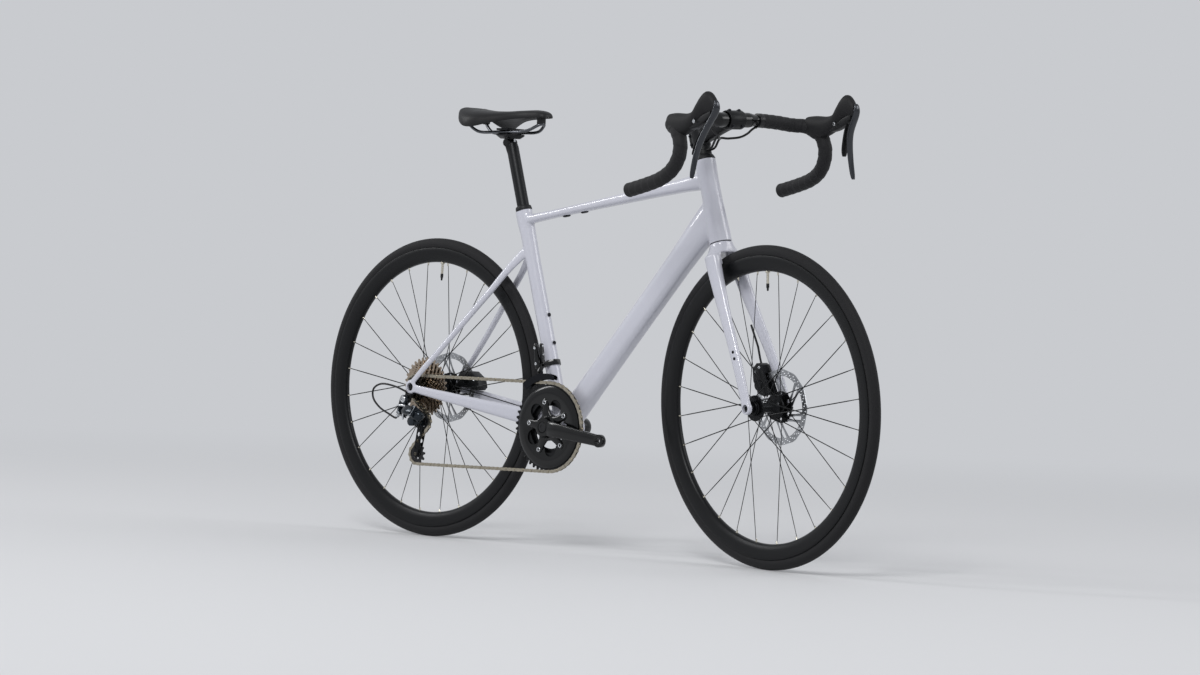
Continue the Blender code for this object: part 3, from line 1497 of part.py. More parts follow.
def link_slot(centre, facing):
    """The room that both links' ends turn in, open to the front, the back and both sides of a jaw."""
    ahead, inward, pin = link_axes()
    inside = LINK_HEIGHT / 2 + GAP
    root = LINK_END_RADIUS + GAP * 2
    outline = ((LINK_LENGTH, inside), (-root, inside), (-root, -inside), (LINK_LENGTH, -inside))
    sense = ahead * facing
    return plate("slot", [outline], LINK_LENGTH * 2, along_line(centre, sense.cross(pin), sense))


def rear_derailleur(cage_angle, phases):
    ahead, inward, pin = link_axes()
    base = knuckle_centre()
    far = base + link_vector(radians(LINK_REST_ANGLE))
    half = inward * (LINK_SPREAD / 2)
    bolt = hanger_bolt()
    hanger_face = dropout_side() + REAR_DROPOUT_THICKNESS / 2
    add_group("rd_base", bolt, "bike")
    add_group("rd_outer", base - half, "rd_base")
    add_group("rd_inner", base + half, "rd_base")
    add_group("rd_far", far - half, "rd_outer")
    add_group("rd_cage", guide_centre(), "rd_far")
    add_group("guide_pulley", guide_centre(), "rd_cage")
    add_group("tension_pulley", tension_centre(cage_angle), "rd_cage")
    body = jaw("rd_b_knuckle", base, 1)
    start = -SIDE * (hanger_face + GAP)
    end = -SIDE * (hanger_face + GAP + BOSS_OUTREACH)
    outline = capsule(side_view(bolt), (base.x - 0.003, base.z), HANGER_RADIUS, HANGER_RADIUS * 0.95)
    arm = plate("arm", [outline], BOSS_OUTREACH, side_plane((start + end) / 2))
    foot, back = adjuster_line()
    adjuster = rod("adjuster", foot, foot + back * ADJUSTER_LENGTH, ADJUSTER_RADIUS, 8)
    cut(join(body, arm, adjuster), link_slot(base, 1))
    hang(black_gloss(body), "rd_base")
    link_bar("rd_outer_link", base - half, "rd_outer")
    link_bar("rd_inner_link", base + half, "rd_inner")
    body = jaw("rd_p_knuckle", far, -1)
    cage_face = cog_side(CHAIN_COG) + CAGE_HALF_GAP + CAGE_PLATE_THICKNESS + GAP
    guide = guide_centre()
    pivot = Vector((guide.x, 0, guide.z))
    boss = rod("boss", pivot - SIDE * cage_face, pivot - SIDE * (-far.y + 0.004), CAGE_BOSS_RADIUS)
    cut(join(body, boss), link_slot(far, -1))
    hang(black_gloss(body), "rd_far")
    tension = tension_centre(cage_angle)
    plates = []
    for way in (-1, 1):
        outline = capsule(side_view(guide), side_view(tension), CAGE_HALF_WIDTH, CAGE_HALF_WIDTH * 0.85)
        side = -cog_side(CHAIN_COG) + way * (CAGE_HALF_GAP + CAGE_PLATE_THICKNESS / 2)
        plates.append(plate("rd_cage", [outline], CAGE_PLATE_THICKNESS, side_plane(SIDE * side)))
    cage = gather("rd_cage", plates)
    reach = SIDE * (CAGE_HALF_GAP + CAGE_PLATE_THICKNESS * 0.5)
    for centre in (guide, tension):
        join(cage, rod("pin", centre - reach, centre + reach, CAGE_PIN_RADIUS, 8))
    hang(black_alloy(cage), "rd_cage")
    for name, centre, phase in (("guide_pulley", guide, phases[2]), ("tension_pulley", tension, phases[3])):
        loops = [sprocket_outline(PULLEY_TEETH, phase), circle(bore(CAGE_PIN_RADIUS, 8), 8)]
        hang(black_plastic(plate(name, loops, RING_THICKNESS, side_plane(centre))), name)


# Front derailleur: a band on the seat tube, a long link and the cage over the chain
def front_pivots():
    upper = on_seat(FRONT_BAND_UP)
    upper.y = -FRONT_PIVOT_SIDE
    lean = radians(FRONT_LINK_ANGLE)
    lower = upper + Vector((0, -sin(lean), -cos(lean))) * FRONT_LINK_LENGTH
    return upper, lower


def front_plane(centre):
    """A plate seen from behind: local X to the right of the bike, local Y up."""
    return along_line(centre, -FRONT, -SIDE)


def rear_view(point):
    return (-point.y, point.z)


def front_cage_outline():
    """The cage plate in side view, from the bottom bracket: it follows the big ring's teeth."""
    low = pitch_radius(OUTER_RING_TEETH) + TOOTH_TIP_RISE + FRONT_CAGE_CLEARANCE
    edge = arc(low, 70, 126, 5)
    tail = ((-0.0880, low * 0.75), (-0.0910, low), (-0.0620, low + 0.0100))
    top = ((-0.0200, low + FRONT_CAGE_DEPTH), (0.0050, low + FRONT_CAGE_DEPTH * 0.95), (0.0330, low + 0.0050))
    return edge + list(tail) + list(top)


def front_derailleur():
    upper, lower = front_pivots()
    add_group("fd_link", upper, "bike")
    add_group("fd_cage", lower, "fd_link")
    inner = SEAT_TUBE_RADIUS + GAP
    outer = inner + FRONT_BAND_WALL
    half = FRONT_BAND_HEIGHT / 2
    profile = ((inner, half), (outer, half), (outer, -half), (inner, -half))
    middle = on_seat(FRONT_BAND_UP)
    band = turned("fd_base", profile, middle, SEAT_UP, SMALL_STEPS, ring=True)
    link_thickness = 0.0080
    lug_x = upper.x + link_thickness / 2 + GAP + 0.0025
    outline = capsule((outer - 0.0016, upper.z), rear_view(upper), 0.0050, 0.0050, 5)
    lug = plate("lug", [outline], 0.0050, front_plane(FRONT * lug_x))
    join(band, lug)
    cut(band, rod("seat_tube", middle - SEAT_UP * 0.02, middle + SEAT_UP * 0.02, inner))
    hang(black_alloy(band), "bike")
    head = upper + Vector((0, -0.0060, FRONT_ARM_HEIGHT))
    outline = capsule(rear_view(lower), rear_view(upper), 0.0042, 0.0046, 5)
    lever = plate("fd_link", [outline], link_thickness, front_plane(FRONT * upper.x))
    outline = capsule(rear_view(upper), rear_view(head), 0.0044, 0.0034, 5)
    join(lever, plate("arm", [outline], link_thickness - 0.0016, front_plane(FRONT * upper.x)))
    hang(black_alloy(lever), "fd_link")
    plates = []
    middle = BB - SIDE * ring_side(OUTER_RING_TEETH)
    for way in (-1, 1):
        place = side_plane(middle + SIDE * (way * FRONT_CAGE_OFFSET))
        plates.append(plate("fd_cage", [front_cage_outline()], FRONT_CAGE_PLATE, place))
    cage = gather("fd_cage", plates)
    low = pitch_radius(OUTER_RING_TEETH) + TOOTH_TIP_RISE + FRONT_CAGE_CLEARANCE
    for x, z in ((-0.0780, low + 0.0015), (-0.0080, low + FRONT_CAGE_DEPTH - 0.0040)):
        spot = middle + Vector((x, 0, z))
        join(cage, rod("bridge", spot - SIDE * FRONT_CAGE_OFFSET, spot + SIDE * FRONT_CAGE_OFFSET, 0.0022, 6))
    foot = (ring_side(OUTER_RING_TEETH) - FRONT_CAGE_OFFSET, lower.z - 0.0100)
    outline = capsule(foot, rear_view(lower), 0.0040, 0.0042, 5)
    join(cage, plate("lug", [outline], 0.0050, front_plane(FRONT * lug_x)))
    hang(bare_steel(cage), "fd_cage")


# Stem and bars
def bar_centre():
    return on_head(STEM_BAR_HEIGHT, STEM_REACH)


def stem():
    low = stem_foot() + GAP
    high = low + STEM_CLAMP_HEIGHT
    profile = (
        (0.0, high + STEM_CAP_HEIGHT),
        (STEM_CLAMP_RADIUS - 0.0030, high + STEM_CAP_HEIGHT),
        (STEM_CLAMP_RADIUS - 0.0010, high),
        (STEM_CLAMP_RADIUS, high),
        (STEM_CLAMP_RADIUS, low),
        (0.0, low),
    )
    body = turned("stem", profile, HEAD_FOOT, HEAD_UP, ROUND_STEPS)
    start = on_head((low + high) / 2, 0.004)
    end = bar_centre()
    reach = end - start
    stations = (
        (start, STEM_BODY_WIDTH / 2, STEM_CLAMP_HEIGHT * 0.44),
        (start + reach * 0.40, STEM_BODY_WIDTH / 2, STEM_BODY_DEPTH / 2),
        (start + reach * 0.97, STEM_BODY_WIDTH / 2 * 1.08, STEM_BODY_DEPTH / 2 * 1.05),
    )
    half = SIDE * (BAR_CLAMP_WIDTH / 2)
    outer = BAR_CLAMP_RADIUS + BAR_CLAMP_WALL
    join(body, swept("neck", stations, power=3.0), rod("clamp", end - half, end + half, outer, ROUND_STEPS))
    cut(
        body,
        rod("bar_bore", end - half * 2, end + half * 2, bore(BAR_CLAMP_RADIUS, ROUND_STEPS), ROUND_STEPS),
        rod("steerer_bore", on_head(low - 0.02), on_head(steerer_top() + 0.0006), bore(STEERER_RADIUS)),
        box("front", on_head(STEM_BAR_HEIGHT, STEM_REACH + 0.05), (0.10, 0.08, 0.08)),
    )
    hang(black_alloy(body), "steering")
    plate_half = rod("stem_faceplate", end - half, end + half, outer, ROUND_STEPS)
    cut(
        plate_half,
        rod("bar_bore", end - half * 2, end + half * 2, bore(BAR_CLAMP_RADIUS, ROUND_STEPS), ROUND_STEPS),
        box("rear", on_head(STEM_BAR_HEIGHT, STEM_REACH + FACEPLATE_SPLIT - 0.05), (0.10, 0.08, 0.08)),
    )
    hang(black_alloy(plate_half), "steering")


def box(name, centre, size):
    """A box whose local X is forward of the steering axis and whose local Z is up it."""
    mesh = bmesh.new()
    bmesh.ops.create_cube(mesh, size=1.0)
    bmesh.ops.scale(mesh, vec=size, verts=mesh.verts)
    data = bpy.data.meshes.new(name)
    mesh.to_mesh(data)
    mesh.free()
    data.transform(along_line(centre, HEAD_UP, HEAD_FRONT))
    return add_object(name, data)


def bar_path():
    """The right half of the bar's middle line, from the stem out, forward and down to the drop's end."""
    x, z = bar_centre().x, bar_centre().z
    straight = [
        Vector((x, 0, z)),
        Vector((x, -0.040, z)),
        Vector((x, -0.060, z)),
        Vector((x, -0.125, z - 0.004)),
    ]
    bend = (
        Vector((x, -0.125, z - 0.004)),
        Vector((x + 0.0035, -0.160, z - 0.0085)),
        Vector((x + 0.024, -0.1870, z - 0.0120)),
        Vector((x + 0.050, -0.1970, z - 0.0240)),
        Vector((x + 0.0655, -0.2005, z - 0.0510)),
        Vector((x + 0.0635, -0.2030, z - 0.0800)),
        Vector((x + 0.0460, -0.2065, z - 0.1060)),
        Vector((x + 0.0150, -0.2095, z - 0.1240)),
        Vector((x - 0.0280, -0.2112, z - 0.1360)),
        Vector((x - 0.0840, -0.2125, z - 0.1477)),
    )
    return straight[:-1] + smooth_path(bend[:5], 2)[:-1] + smooth_path(bend[4:], 1)


def handlebar():
    stations = []
    for index, point in enumerate(bar_path()):
        radius = BAR_CLAMP_RADIUS if index < 2 else BAR_RADIUS
        stations.append((point, radius, radius))
    right = bar_sections(stations)
    left = [[Vector((point.x, -point.y, point.z)) for point in ring] for ring in reversed(right[1:])]
    hang(black_alloy(loft("handlebar", left + right)), "steering")


def bar_sections(stations):
    """Rings along the right half of the bar, whose corners lie alike on the bar, tape and hood."""
    return sections(stations, count=8, reference=UP - SIDE)


def tape_path():
    """The part of the bar's middle line that the tape is wound on."""
    path = bar_path()
    share = (TAPE_START + path[2].y) / (path[2].y - path[3].y)
    return [path[2].lerp(path[3], share)] + path[3:]


def tape_sleeve(name):
    """The wound tape on the right half of the bar, as one sleeve with the bar's plug at its end."""
    outer = BAR_RADIUS + BAR_TAPE_THICKNESS
    path = tape_path()
    onward = (path[-1] - path[-2]).normalized()
    back = (path[0] - path[1]).normalized()
    end = path[-1] + onward * PLUG_LENGTH
    skin = loft(name, bar_sections([(point, outer, outer) for point in path + [end]]))
    inside = [path[0] + back * 0.02] + path[1:-1] + [path[-1] + onward * GAP]
    clear = BAR_RADIUS + GAP * 2
    return cut(skin, loft("bore", bar_sections([(point, clear, clear) for point in inside])))


def hood():
    """The rubber hood of a brake and shift lever: a low grip that rises into a horn."""
    x, z = bar_centre().x, bar_centre().z
    sections = (
        (0.030, -0.030, 0.0080, 0.80, 0.1920),
        (0.052, -0.0400, 0.0100, 0.95, 0.1935),
        (0.085, -0.0300, 0.0085, 1.00, 0.1945),
        (0.112, -0.0180, 0.0200, 1.00, 0.1945),
        (0.128, -0.0060, 0.0440, 0.90, 0.1935),
        (0.141, 0.0060, 0.0530, 0.78, 0.1930),
        (0.156, 0.0065, 0.0480, 0.62, 0.1925),
        (0.170, 0.0080, 0.0300, 0.40, 0.1920),
    )
    rings = []
    for forward, low, high, share, side in sections:
        centre = Vector((x + forward, -side, z + (low + high) / 2))
        rings.append(oval(centre, SIDE, UP, HOOD_HALF_WIDTH * share, (high - low) / 2, 2.4, 8))
    body = loft("hood", rings)
    clear = BAR_RADIUS + BAR_TAPE_THICKNESS + GAP * 3
    stations = [(point, clear, clear) for point in tape_path()]
    reach = SIDE * (LEVER_BARREL_WIDTH / 2 + GAP * 2)
    seat = rod("seat", lever_pivot() - reach, lever_pivot() + reach, bore(LEVER_BARREL_RADIUS))
    return cut(body, loft("clear", bar_sections(stations)), seat)


def lever_pivot():
    return bar_centre() + Vector((0.1450, -0.1940, 0.0040))


def lever_blade():
    """The curved brake lever, flared outwards from the pivot to its tip."""
    pivot = lever_pivot()
    half_width = LEVER_WIDTH / 2
    half_thick = LEVER_THICKNESS / 2
    stations = (
        (pivot + Vector((0.0030, 0.0000, -0.0025)), half_width * 0.80, half_thick),
        (pivot + Vector((0.0125, -0.0008, -0.0120)), half_width, half_thick * 1.25),
        (pivot + Vector((0.0050, -0.0050, -0.0400)), half_width, half_thick * 1.1),
        (pivot + Vector((-0.0060, -0.0120, -0.0700)), half_width * 0.95, half_thick * 0.9),
        (pivot + Vector((-0.0135, -0.0200, -0.0980)), half_width * 0.90, half_thick * 0.8),
        (pivot + Vector((-0.0180, -0.0270, -0.1250)), half_width * 0.60, half_thick * 0.6),
    )
    half_barrel = SIDE * (LEVER_BARREL_WIDTH / 2)
    barrel = rod("barrel", pivot - half_barrel, pivot + half_barrel, LEVER_BARREL_RADIUS)
    return join(swept("blade", stations, power=2.3, count=8), barrel)


def paddle_axis():
    """The direction that the shift paddle turns about, square to the back of the lever."""
    lean = radians(PADDLE_LEAN)
    return Vector((cos(lean), 0, -sin(lean)))


def shift_paddle():
    """The thin shift paddle behind the brake lever, on a barrel that reaches to the lever's back."""
    pivot = lever_pivot()
    stations = []
    for x, y, z, share in (
        (0.0000, 0.0010, -PADDLE_DROP + 0.0020, 0.60),
        (-0.0050, 0.0000, -0.0400, 0.95),
        (-0.0150, -0.0060, -0.0640, 1.00),
        (-0.0215, -0.0110, -0.0790, 0.60),
    ):
        stations.append((pivot + Vector((x, y, z)), PADDLE_WIDTH / 2 * share, PADDLE_THICKNESS / 2))
    middle = pivot + Vector((0.0, 0.0010, -PADDLE_DROP))
    end = middle + paddle_axis() * (PADDLE_BACK - LEVER_THICKNESS * 0.56 - GAP)
    barrel = rod("barrel", middle - paddle_axis() * 0.0010, end, PADDLE_BARREL_RADIUS, 8)
    return join(swept("paddle", stations, power=3.0, count=8), barrel)


def brake_hose(name, way):
    """The hose from the end of the bar tape, under the stem, into the front of the headset cover."""
    bar = bar_centre()
    start = bar.z - BAR_RADIUS - HOSE_RADIUS - GAP * 2
    ends = (
        (bar.x - 0.001, TAPE_START - GAP * 5, start),
        (bar.x - 0.001, TAPE_START - 0.0060, start - 0.0003),
        (bar.x - 0.003, 0.0540, bar.z - 0.0205),
        (bar.x - 0.005, 0.0440, bar.z - 0.0285),
        (bar.x - 0.012, 0.0290, bar.z - 0.0360),
        (bar.x - 0.030, 0.0120, bar.z - 0.0385),
        (bar.x - 0.048, 0.0055, bar.z - 0.0385),
    )
    points = [Vector((x, way * y, z)) for x, y, z in ends]
    height = HEAD_TOP + HEADSET_COVER_HEIGHT + SPACER_HEIGHT * 0.45
    points.append(on_head(height, 0.034, way * 0.0050))
    points.append(on_head(height - 0.001, SPACER_RADIUS, way * 0.0045))
    hang(black_rubber(tube(name, smooth_path(points, 2), HOSE_RADIUS)), "steering")


def cockpit():
    stem()
    handlebar()
    for ending, way in (("right", -1), ("left", 1)):
        pivot = lever_pivot()
        paddle_pivot = pivot + Vector((0.0, 0.0010, -PADDLE_DROP))
        if way > 0:
            pivot.y = -pivot.y
            paddle_pivot.y = -paddle_pivot.y
        add_group("brake_lever_" + ending, pivot, "steering")
        add_group("shift_paddle_" + ending, paddle_pivot, "brake_lever_" + ending)
        pieces = (
            ("bar_tape_" + ending, tape_sleeve("sleeve"), tape_cloth, "steering"),
            ("lever_hood_" + ending, hood(), black_rubber, "steering"),
            ("brake_lever_" + ending, lever_blade(), black_alloy, "brake_lever_" + ending),
            ("shift_paddle_" + ending, shift_paddle(), black_plastic, "shift_paddle_" + ending),
        )
        for name, piece, coat, group in pieces:
            if way > 0:
                twin = mirrored(piece, name)
                bpy.data.objects.remove(piece)
                piece = twin
            piece.name = name
            hang(coat(piece), group)
        brake_hose("brake_hose_" + ending, way)


# Seatpost and saddle
def post_reach():
    """How far up the seat axis the post ends, so that its head holds the rails at their height."""
    return (RAIL_HEIGHT - TILT_PIVOT_DROP + POST_END_RISE - BB.z) / SEAT_UP.z


def post_foot():
    return post_reach() - SEATPOST_LENGTH


def post_top():
    return on_seat(post_reach())


def cradle_centre():
    return Vector((post_top().x - CRADLE_SETBACK, 0, RAIL_HEIGHT))


def tilt_pivot():
    return cradle_centre() - UP * TILT_PIVOT_DROP


def on_cradle(x):
    """A forward place on the rails or the saddle, which move back with the post as it rises."""
    return x + cradle_centre().x - RAIL_GRIP_PLACE


def seatpost():
    """A round post with a short cylinder across its head, on which the cradle tilts."""
    top = post_reach()
    low = post_foot()
    profile = (
        (0.0, top - 0.006),
        (SEATPOST_RADIUS * 0.85, top - 0.006),
        (SEATPOST_RADIUS, top - 0.020),
        (SEATPOST_RADIUS, low),
        (0.0, low),
    )
    post = turned("seatpost", profile, BB, SEAT_UP, ROUND_STEPS)
    half = SIDE * 0.0150
    join(post, rod("head", tilt_pivot() - half, tilt_pivot() + half, 0.0110, ROUND_STEPS))
    hang(black_alloy(post), "seatpost")


def saddle_clamp():
    """The cradle: a lower flange under the rails, an upper one over them, and bolts between."""
    centre = cradle_centre()
    hold = RAIL_RADIUS + GAP
    outer = RAIL_HALF_SPACING + RAIL_RADIUS + 0.0030
    neck = RAIL_HALF_SPACING - RAIL_RADIUS - 0.0040
    bottom = -hold - CRADLE_FLANGE
    top = hold + CRADLE_FLANGE * 0.6
    half = (
        (neck, -hold),
        (outer, -hold),
        (outer, -hold - 0.0040),
        (0.0150, bottom - 0.0030),
    )
    upper = ((outer, top), (outer, hold), (neck, hold))
    right = list(upper) + list(half)
    outline = right + [(-x, y) for x, y in reversed(right)]
    body = plate("saddle_clamp", [outline], CRADLE_LENGTH, front_plane(centre))
    reach = SIDE * 0.05
    cut(body, rod("seat", tilt_pivot() - reach, tilt_pivot() + reach, 0.0110 + GAP, 24))
    hang(black_alloy(body), "saddle_clamp")


def saddle_rails():
    """The two rails, one bent wire that meets itself under the nose."""
    height = RAIL_HEIGHT
    half = RAIL_HALF_SPACING
    bends = (
        (-0.3880, half + 0.0080, height + 0.0225),
        (-0.3720, half + 0.0040, height + 0.0080),
        (-0.3500, half, height),
        (-0.2300, half, height),
        (-0.2080, half * 0.82, height + 0.0040),
        (-0.1880, half * 0.42, height + 0.0150),
        (-0.1835, 0.0, height + 0.0180),
    )
    left = [Vector((on_cradle(x), y, z)) for x, y, z in bends]
    right = [Vector((point.x, -point.y, point.z)) for point in reversed(left[:-1])]
    path = left + right
    hang(bare_steel(tube("saddle_rails", path, RAIL_RADIUS)), "saddle")


def saddle_sections():
    """The saddle from its tail to its nose: forward place, half width, top height, side height."""
    return (
        (-0.4050, 0.0450, 0.0040, -0.0080),
        (-0.3970, 0.0580, 0.0070, -0.0140),
        (-0.3800, 0.0680, 0.0078, -0.0200),
        (-0.3580, 0.0720, 0.0065, -0.0240),
        (-0.3300, 0.0680, 0.0035, -0.0270),
        (-0.3020, 0.0530, 0.0000, -0.0290),
        (-0.2720, 0.0370, -0.0030, -0.0300),
        (-0.2400, 0.0280, -0.0020, -0.0300),
        (-0.2000, 0.0240, -0.0010, -0.0300),
        (-0.1720, 0.0215, -0.0050, -0.0290),
        (-0.1580, 0.0130, -0.0130, -0.0270),
    )


def saddle_cover():
    """The padded top, domed across and turned down at its sides."""
    rings = []
    for place, half, top, side in saddle_sections():
        x = on_cradle(place)
        crown = SADDLE_TOP_HEIGHT + top
        skirt = SADDLE_TOP_HEIGHT + side
        floor = skirt
        ring = []
        for y, z in (
            (-1.0, floor),
            (-1.0, skirt + (crown - skirt) * 0.45),
            (-0.80, skirt + (crown - skirt) * 0.86),
            (-0.40, crown - 0.0008),
            (0.0, crown - 0.0020),
            (0.40, crown - 0.0008),
            (0.80, skirt + (crown - skirt) * 0.86),
            (1.0, skirt + (crown - skirt) * 0.45),
            (1.0, floor),
            (0.55, floor + (crown - skirt) * 0.25),
            (-0.55, floor + (crown - skirt) * 0.25),
        ):
            ring.append(Vector((x, y * half, z)))
        rings.append(ring)
    hang(black_plastic(loft("saddle_cover", rings)), "saddle")


def saddle_shell():
    """The nylon shell under the padding, with the sockets that the rails plug into."""
    rings = []
    for place, half, top, side in saddle_sections()[1:-1]:
        x = on_cradle(place)
        crown = SADDLE_TOP_HEIGHT + top
        skirt = SADDLE_TOP_HEIGHT + side
        low = skirt + (crown - skirt) * 0.25
        edge = skirt + GAP * -2
        ring = [
            Vector((x, -half * 0.94, edge)),
            Vector((x, -half * 0.52, low - GAP * 3)),
            Vector((x, half * 0.52, low - GAP * 3)),
            Vector((x, half * 0.94, edge)),
            Vector((x, half * 0.94, edge - SADDLE_SHELL_THICKNESS)),
            Vector((x, half * 0.50, low - SADDLE_SHELL_THICKNESS)),
            Vector((x, -half * 0.50, low - SADDLE_SHELL_THICKNESS)),
            Vector((x, -half * 0.94, edge - SADDLE_SHELL_THICKNESS)),
        ]
        rings.append(ring)
    hang(black_plastic(loft("saddle_shell", rings)), "saddle")


def saddle():
    add_group("seatpost", post_top(), "bike")
    add_group("saddle_clamp", tilt_pivot(), "seatpost")
    add_group("saddle", cradle_centre(), "saddle_clamp")
    seatpost()
    saddle_clamp()
    saddle_rails()
    saddle_shell()
    saddle_cover()


def shift_housing():
    """The rear derailleur's outer cable, in a loop from the dropout's outer face to the adjuster."""
    radius = HOSE_RADIUS * 0.9
    face = dropout_side() + REAR_DROPOUT_THICKNESS / 2
    foot, back = adjuster_line()
    end = foot + back * (ADJUSTER_LENGTH + GAP)
    route = (
        (-0.5050, -face - radius - GAP, 0.3265),
        (-0.5130, -face - radius - GAP, 0.3300),
        (-0.5420, -0.0815, 0.3385),
        (-0.5800, -0.0840, 0.3420),
        (-0.6040, -0.0855, 0.3300),
        (-0.6040, -0.0855, 0.3080),
        (-0.5830, -0.0845, 0.2880),
        (-0.5560, -0.0830, 0.2755),
        end + back * 0.0060,
    )
    hang(black_rubber(tube("shift_housing", smooth_path(route, 3) + [end], radius)), "bike")


# The whole bike
def build():
    root = add_group("bike", Vector((0, 0, 0)))
    root.location.y = CENTRE_SHIFT
    steering = add_group("steering", HEAD_FOOT, "bike")
    steering.rotation_mode = "QUATERNION"
    steering.rotation_quaternion = Matrix.Rotation(radians(STEERED_ANGLE), 3, HEAD_UP).to_quaternion()
    add_group("front_wheel", FRONT_AXLE, "steering")
    add_group("rear_wheel", REAR_AXLE, "bike")
    add_group("cassette", REAR_AXLE, "bike")
    add_group("crank", BB, "bike")
    frame()
    headset()
    bottom_cups()
    seat_collar()
    derailleur_hanger()
    fork()
    wheels()
    brakes()
    cage_angle = solve_cage_angle()
    rollers, phases = chain_rollers(cage_angle)
    chain(rollers)
    cassette(phases[1])
    chainrings(phases[0])
    cranks()
    rear_derailleur(cage_angle, phases)
    front_derailleur()
    cockpit()
    saddle()
    shift_housing()
    for obj in PARTS.objects:
        if obj.type == "MESH":
            obj.data.shade_smooth()
            obj.data.set_sharp_from_angle(angle=radians(32))


for item in list(bpy.data.objects):
    bpy.data.objects.remove(item)
PARTS = bpy.data.collections.new("road_bike")
bpy.context.scene.collection.children.link(PARTS)
build()
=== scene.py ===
"""The road bike's looks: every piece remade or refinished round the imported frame, as it is built up."""

from math import asin, atan2, cos, degrees, hypot, pi, radians, sin, sqrt, tau

import bpy
from mathutils import Matrix, Vector


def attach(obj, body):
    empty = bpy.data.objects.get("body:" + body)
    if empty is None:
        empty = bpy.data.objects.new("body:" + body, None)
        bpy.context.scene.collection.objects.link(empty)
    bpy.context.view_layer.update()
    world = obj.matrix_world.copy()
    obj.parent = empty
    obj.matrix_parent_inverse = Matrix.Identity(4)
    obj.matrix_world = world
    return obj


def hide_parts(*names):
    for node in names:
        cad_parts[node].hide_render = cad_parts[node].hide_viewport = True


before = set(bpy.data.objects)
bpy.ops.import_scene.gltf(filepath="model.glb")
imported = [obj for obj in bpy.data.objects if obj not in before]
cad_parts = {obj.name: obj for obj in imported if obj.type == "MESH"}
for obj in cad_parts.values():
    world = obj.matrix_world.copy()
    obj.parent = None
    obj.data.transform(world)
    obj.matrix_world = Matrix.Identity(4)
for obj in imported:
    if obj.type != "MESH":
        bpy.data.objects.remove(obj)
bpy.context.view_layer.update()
bpy.ops.object.select_all(action="DESELECT")


# The camera stands where the photo was taken from: about 7.5 m off, ahead and to the right of the
# bike, at hub height, with a long lens and a slight roll.
camera_turn, camera_rise, camera_roll = radians(42.5195), radians(0.66425), radians(2.01477)
back = Vector((sin(camera_turn) * cos(camera_rise), -cos(camera_turn) * cos(camera_rise), sin(camera_rise)))
across = Vector((0, 0, 1)).cross(back).normalized()
upward = back.cross(across)
level = Matrix((across, upward, back)).transposed()
bpy.ops.object.camera_add()
camera = bpy.context.object
camera.matrix_world = (level @ Matrix.Rotation(camera_roll, 3, "Z")).to_4x4()
camera.location = (5.12172, -5.56092, 0.5559)
camera.data.sensor_width = 36.0
camera.data.lens = 104.31
camera.data.clip_end = 200.0
bpy.context.scene.camera = camera
bpy.context.scene.view_settings.view_transform = "Standard"


# Floor and light: a pale studio floor that runs into the pale room round it with no horizon line,
# and three large soft lamps, the largest over the bike's right side.
def linear(code):
    """A colour written as sRGB hex, in the linear values that the shaders take."""
    channels = [int(code[start : start + 2], 16) / 255 for start in (1, 3, 5)]
    return [c / 12.92 if c <= 0.04045 else ((c + 0.055) / 1.055) ** 2.4 for c in channels] + [1.0]


def add_node(tree, kind, settings=(), **inputs):
    """A node with its settings. An input named by its socket gets a value, or an output to link to."""
    node = tree.nodes.new("ShaderNode" + kind)
    for name, value in dict(settings).items():
        setattr(node, name, value)
    for name, value in inputs.items():
        key = int(name[1:]) if name[0] == "i" and name[1:].isdigit() else name.replace("_", " ")
        if isinstance(value, bpy.types.NodeSocket):
            tree.links.new(value, node.inputs[key])
        else:
            node.inputs[key].default_value = value
    return node


bpy.ops.mesh.primitive_circle_add(vertices=96, radius=60.0, fill_type="TRIFAN")
floor = bpy.context.object
floor.name = "studio_floor"
floor_paint = bpy.data.materials.new("pale_studio_floor")
floor_paint.use_nodes = True
shader = floor_paint.node_tree.nodes["Principled BSDF"]
shader.inputs["Base Color"].default_value = linear("#D3D4D6")
shader.inputs["Roughness"].default_value = 0.75
tree = floor_paint.node_tree
where = add_node(tree, "TexCoord")
reach = add_node(tree, "VectorMath", {"operation": "LENGTH"}, i0=where.outputs["Object"])
far = add_node(
    tree, "MapRange", {"interpolation_type": "SMOOTHSTEP"}, Value=reach.outputs["Value"], From_Min=1.2,
    From_Max=6.0,
)
path = add_node(tree, "LightPath")
far = add_node(
    tree, "Math", {"operation": "MULTIPLY"}, i0=far.outputs["Result"], i1=path.outputs["Is Camera Ray"]
)
haze = add_node(tree, "Emission", Color=linear("#C9CBCF"), Strength=1.0)
merged = add_node(tree, "MixShader", Fac=far.outputs[0], i1=shader.outputs[0], i2=haze.outputs[0])
tree.links.new(merged.outputs[0], tree.nodes["Material Output"].inputs["Surface"])
floor.data.materials.append(floor_paint)

room = bpy.data.worlds.new("pale_studio")
room.use_nodes = True
tree = room.node_tree
tree.nodes.clear()
path = add_node(tree, "LightPath")
seen = add_node(
    tree, "Math", {"operation": "MAXIMUM"}, i0=path.outputs["Is Camera Ray"],
    i1=path.outputs["Is Glossy Ray"],
)
seen = add_node(
    tree, "Math", {"operation": "MAXIMUM"}, i0=seen.outputs[0], i1=path.outputs["Is Transmission Ray"]
)
lit = add_node(tree, "Background", Color=linear("#F3F4F7"), Strength=0.64)
shown = add_node(tree, "Background", Color=linear("#C9CBCF"), Strength=1.0)
mixed = add_node(tree, "MixShader", Fac=seen.outputs[0], i1=lit.outputs[0], i2=shown.outputs[0])
add_node(tree, "OutputWorld", Surface=mixed.outputs[0])
bpy.context.scene.world = room

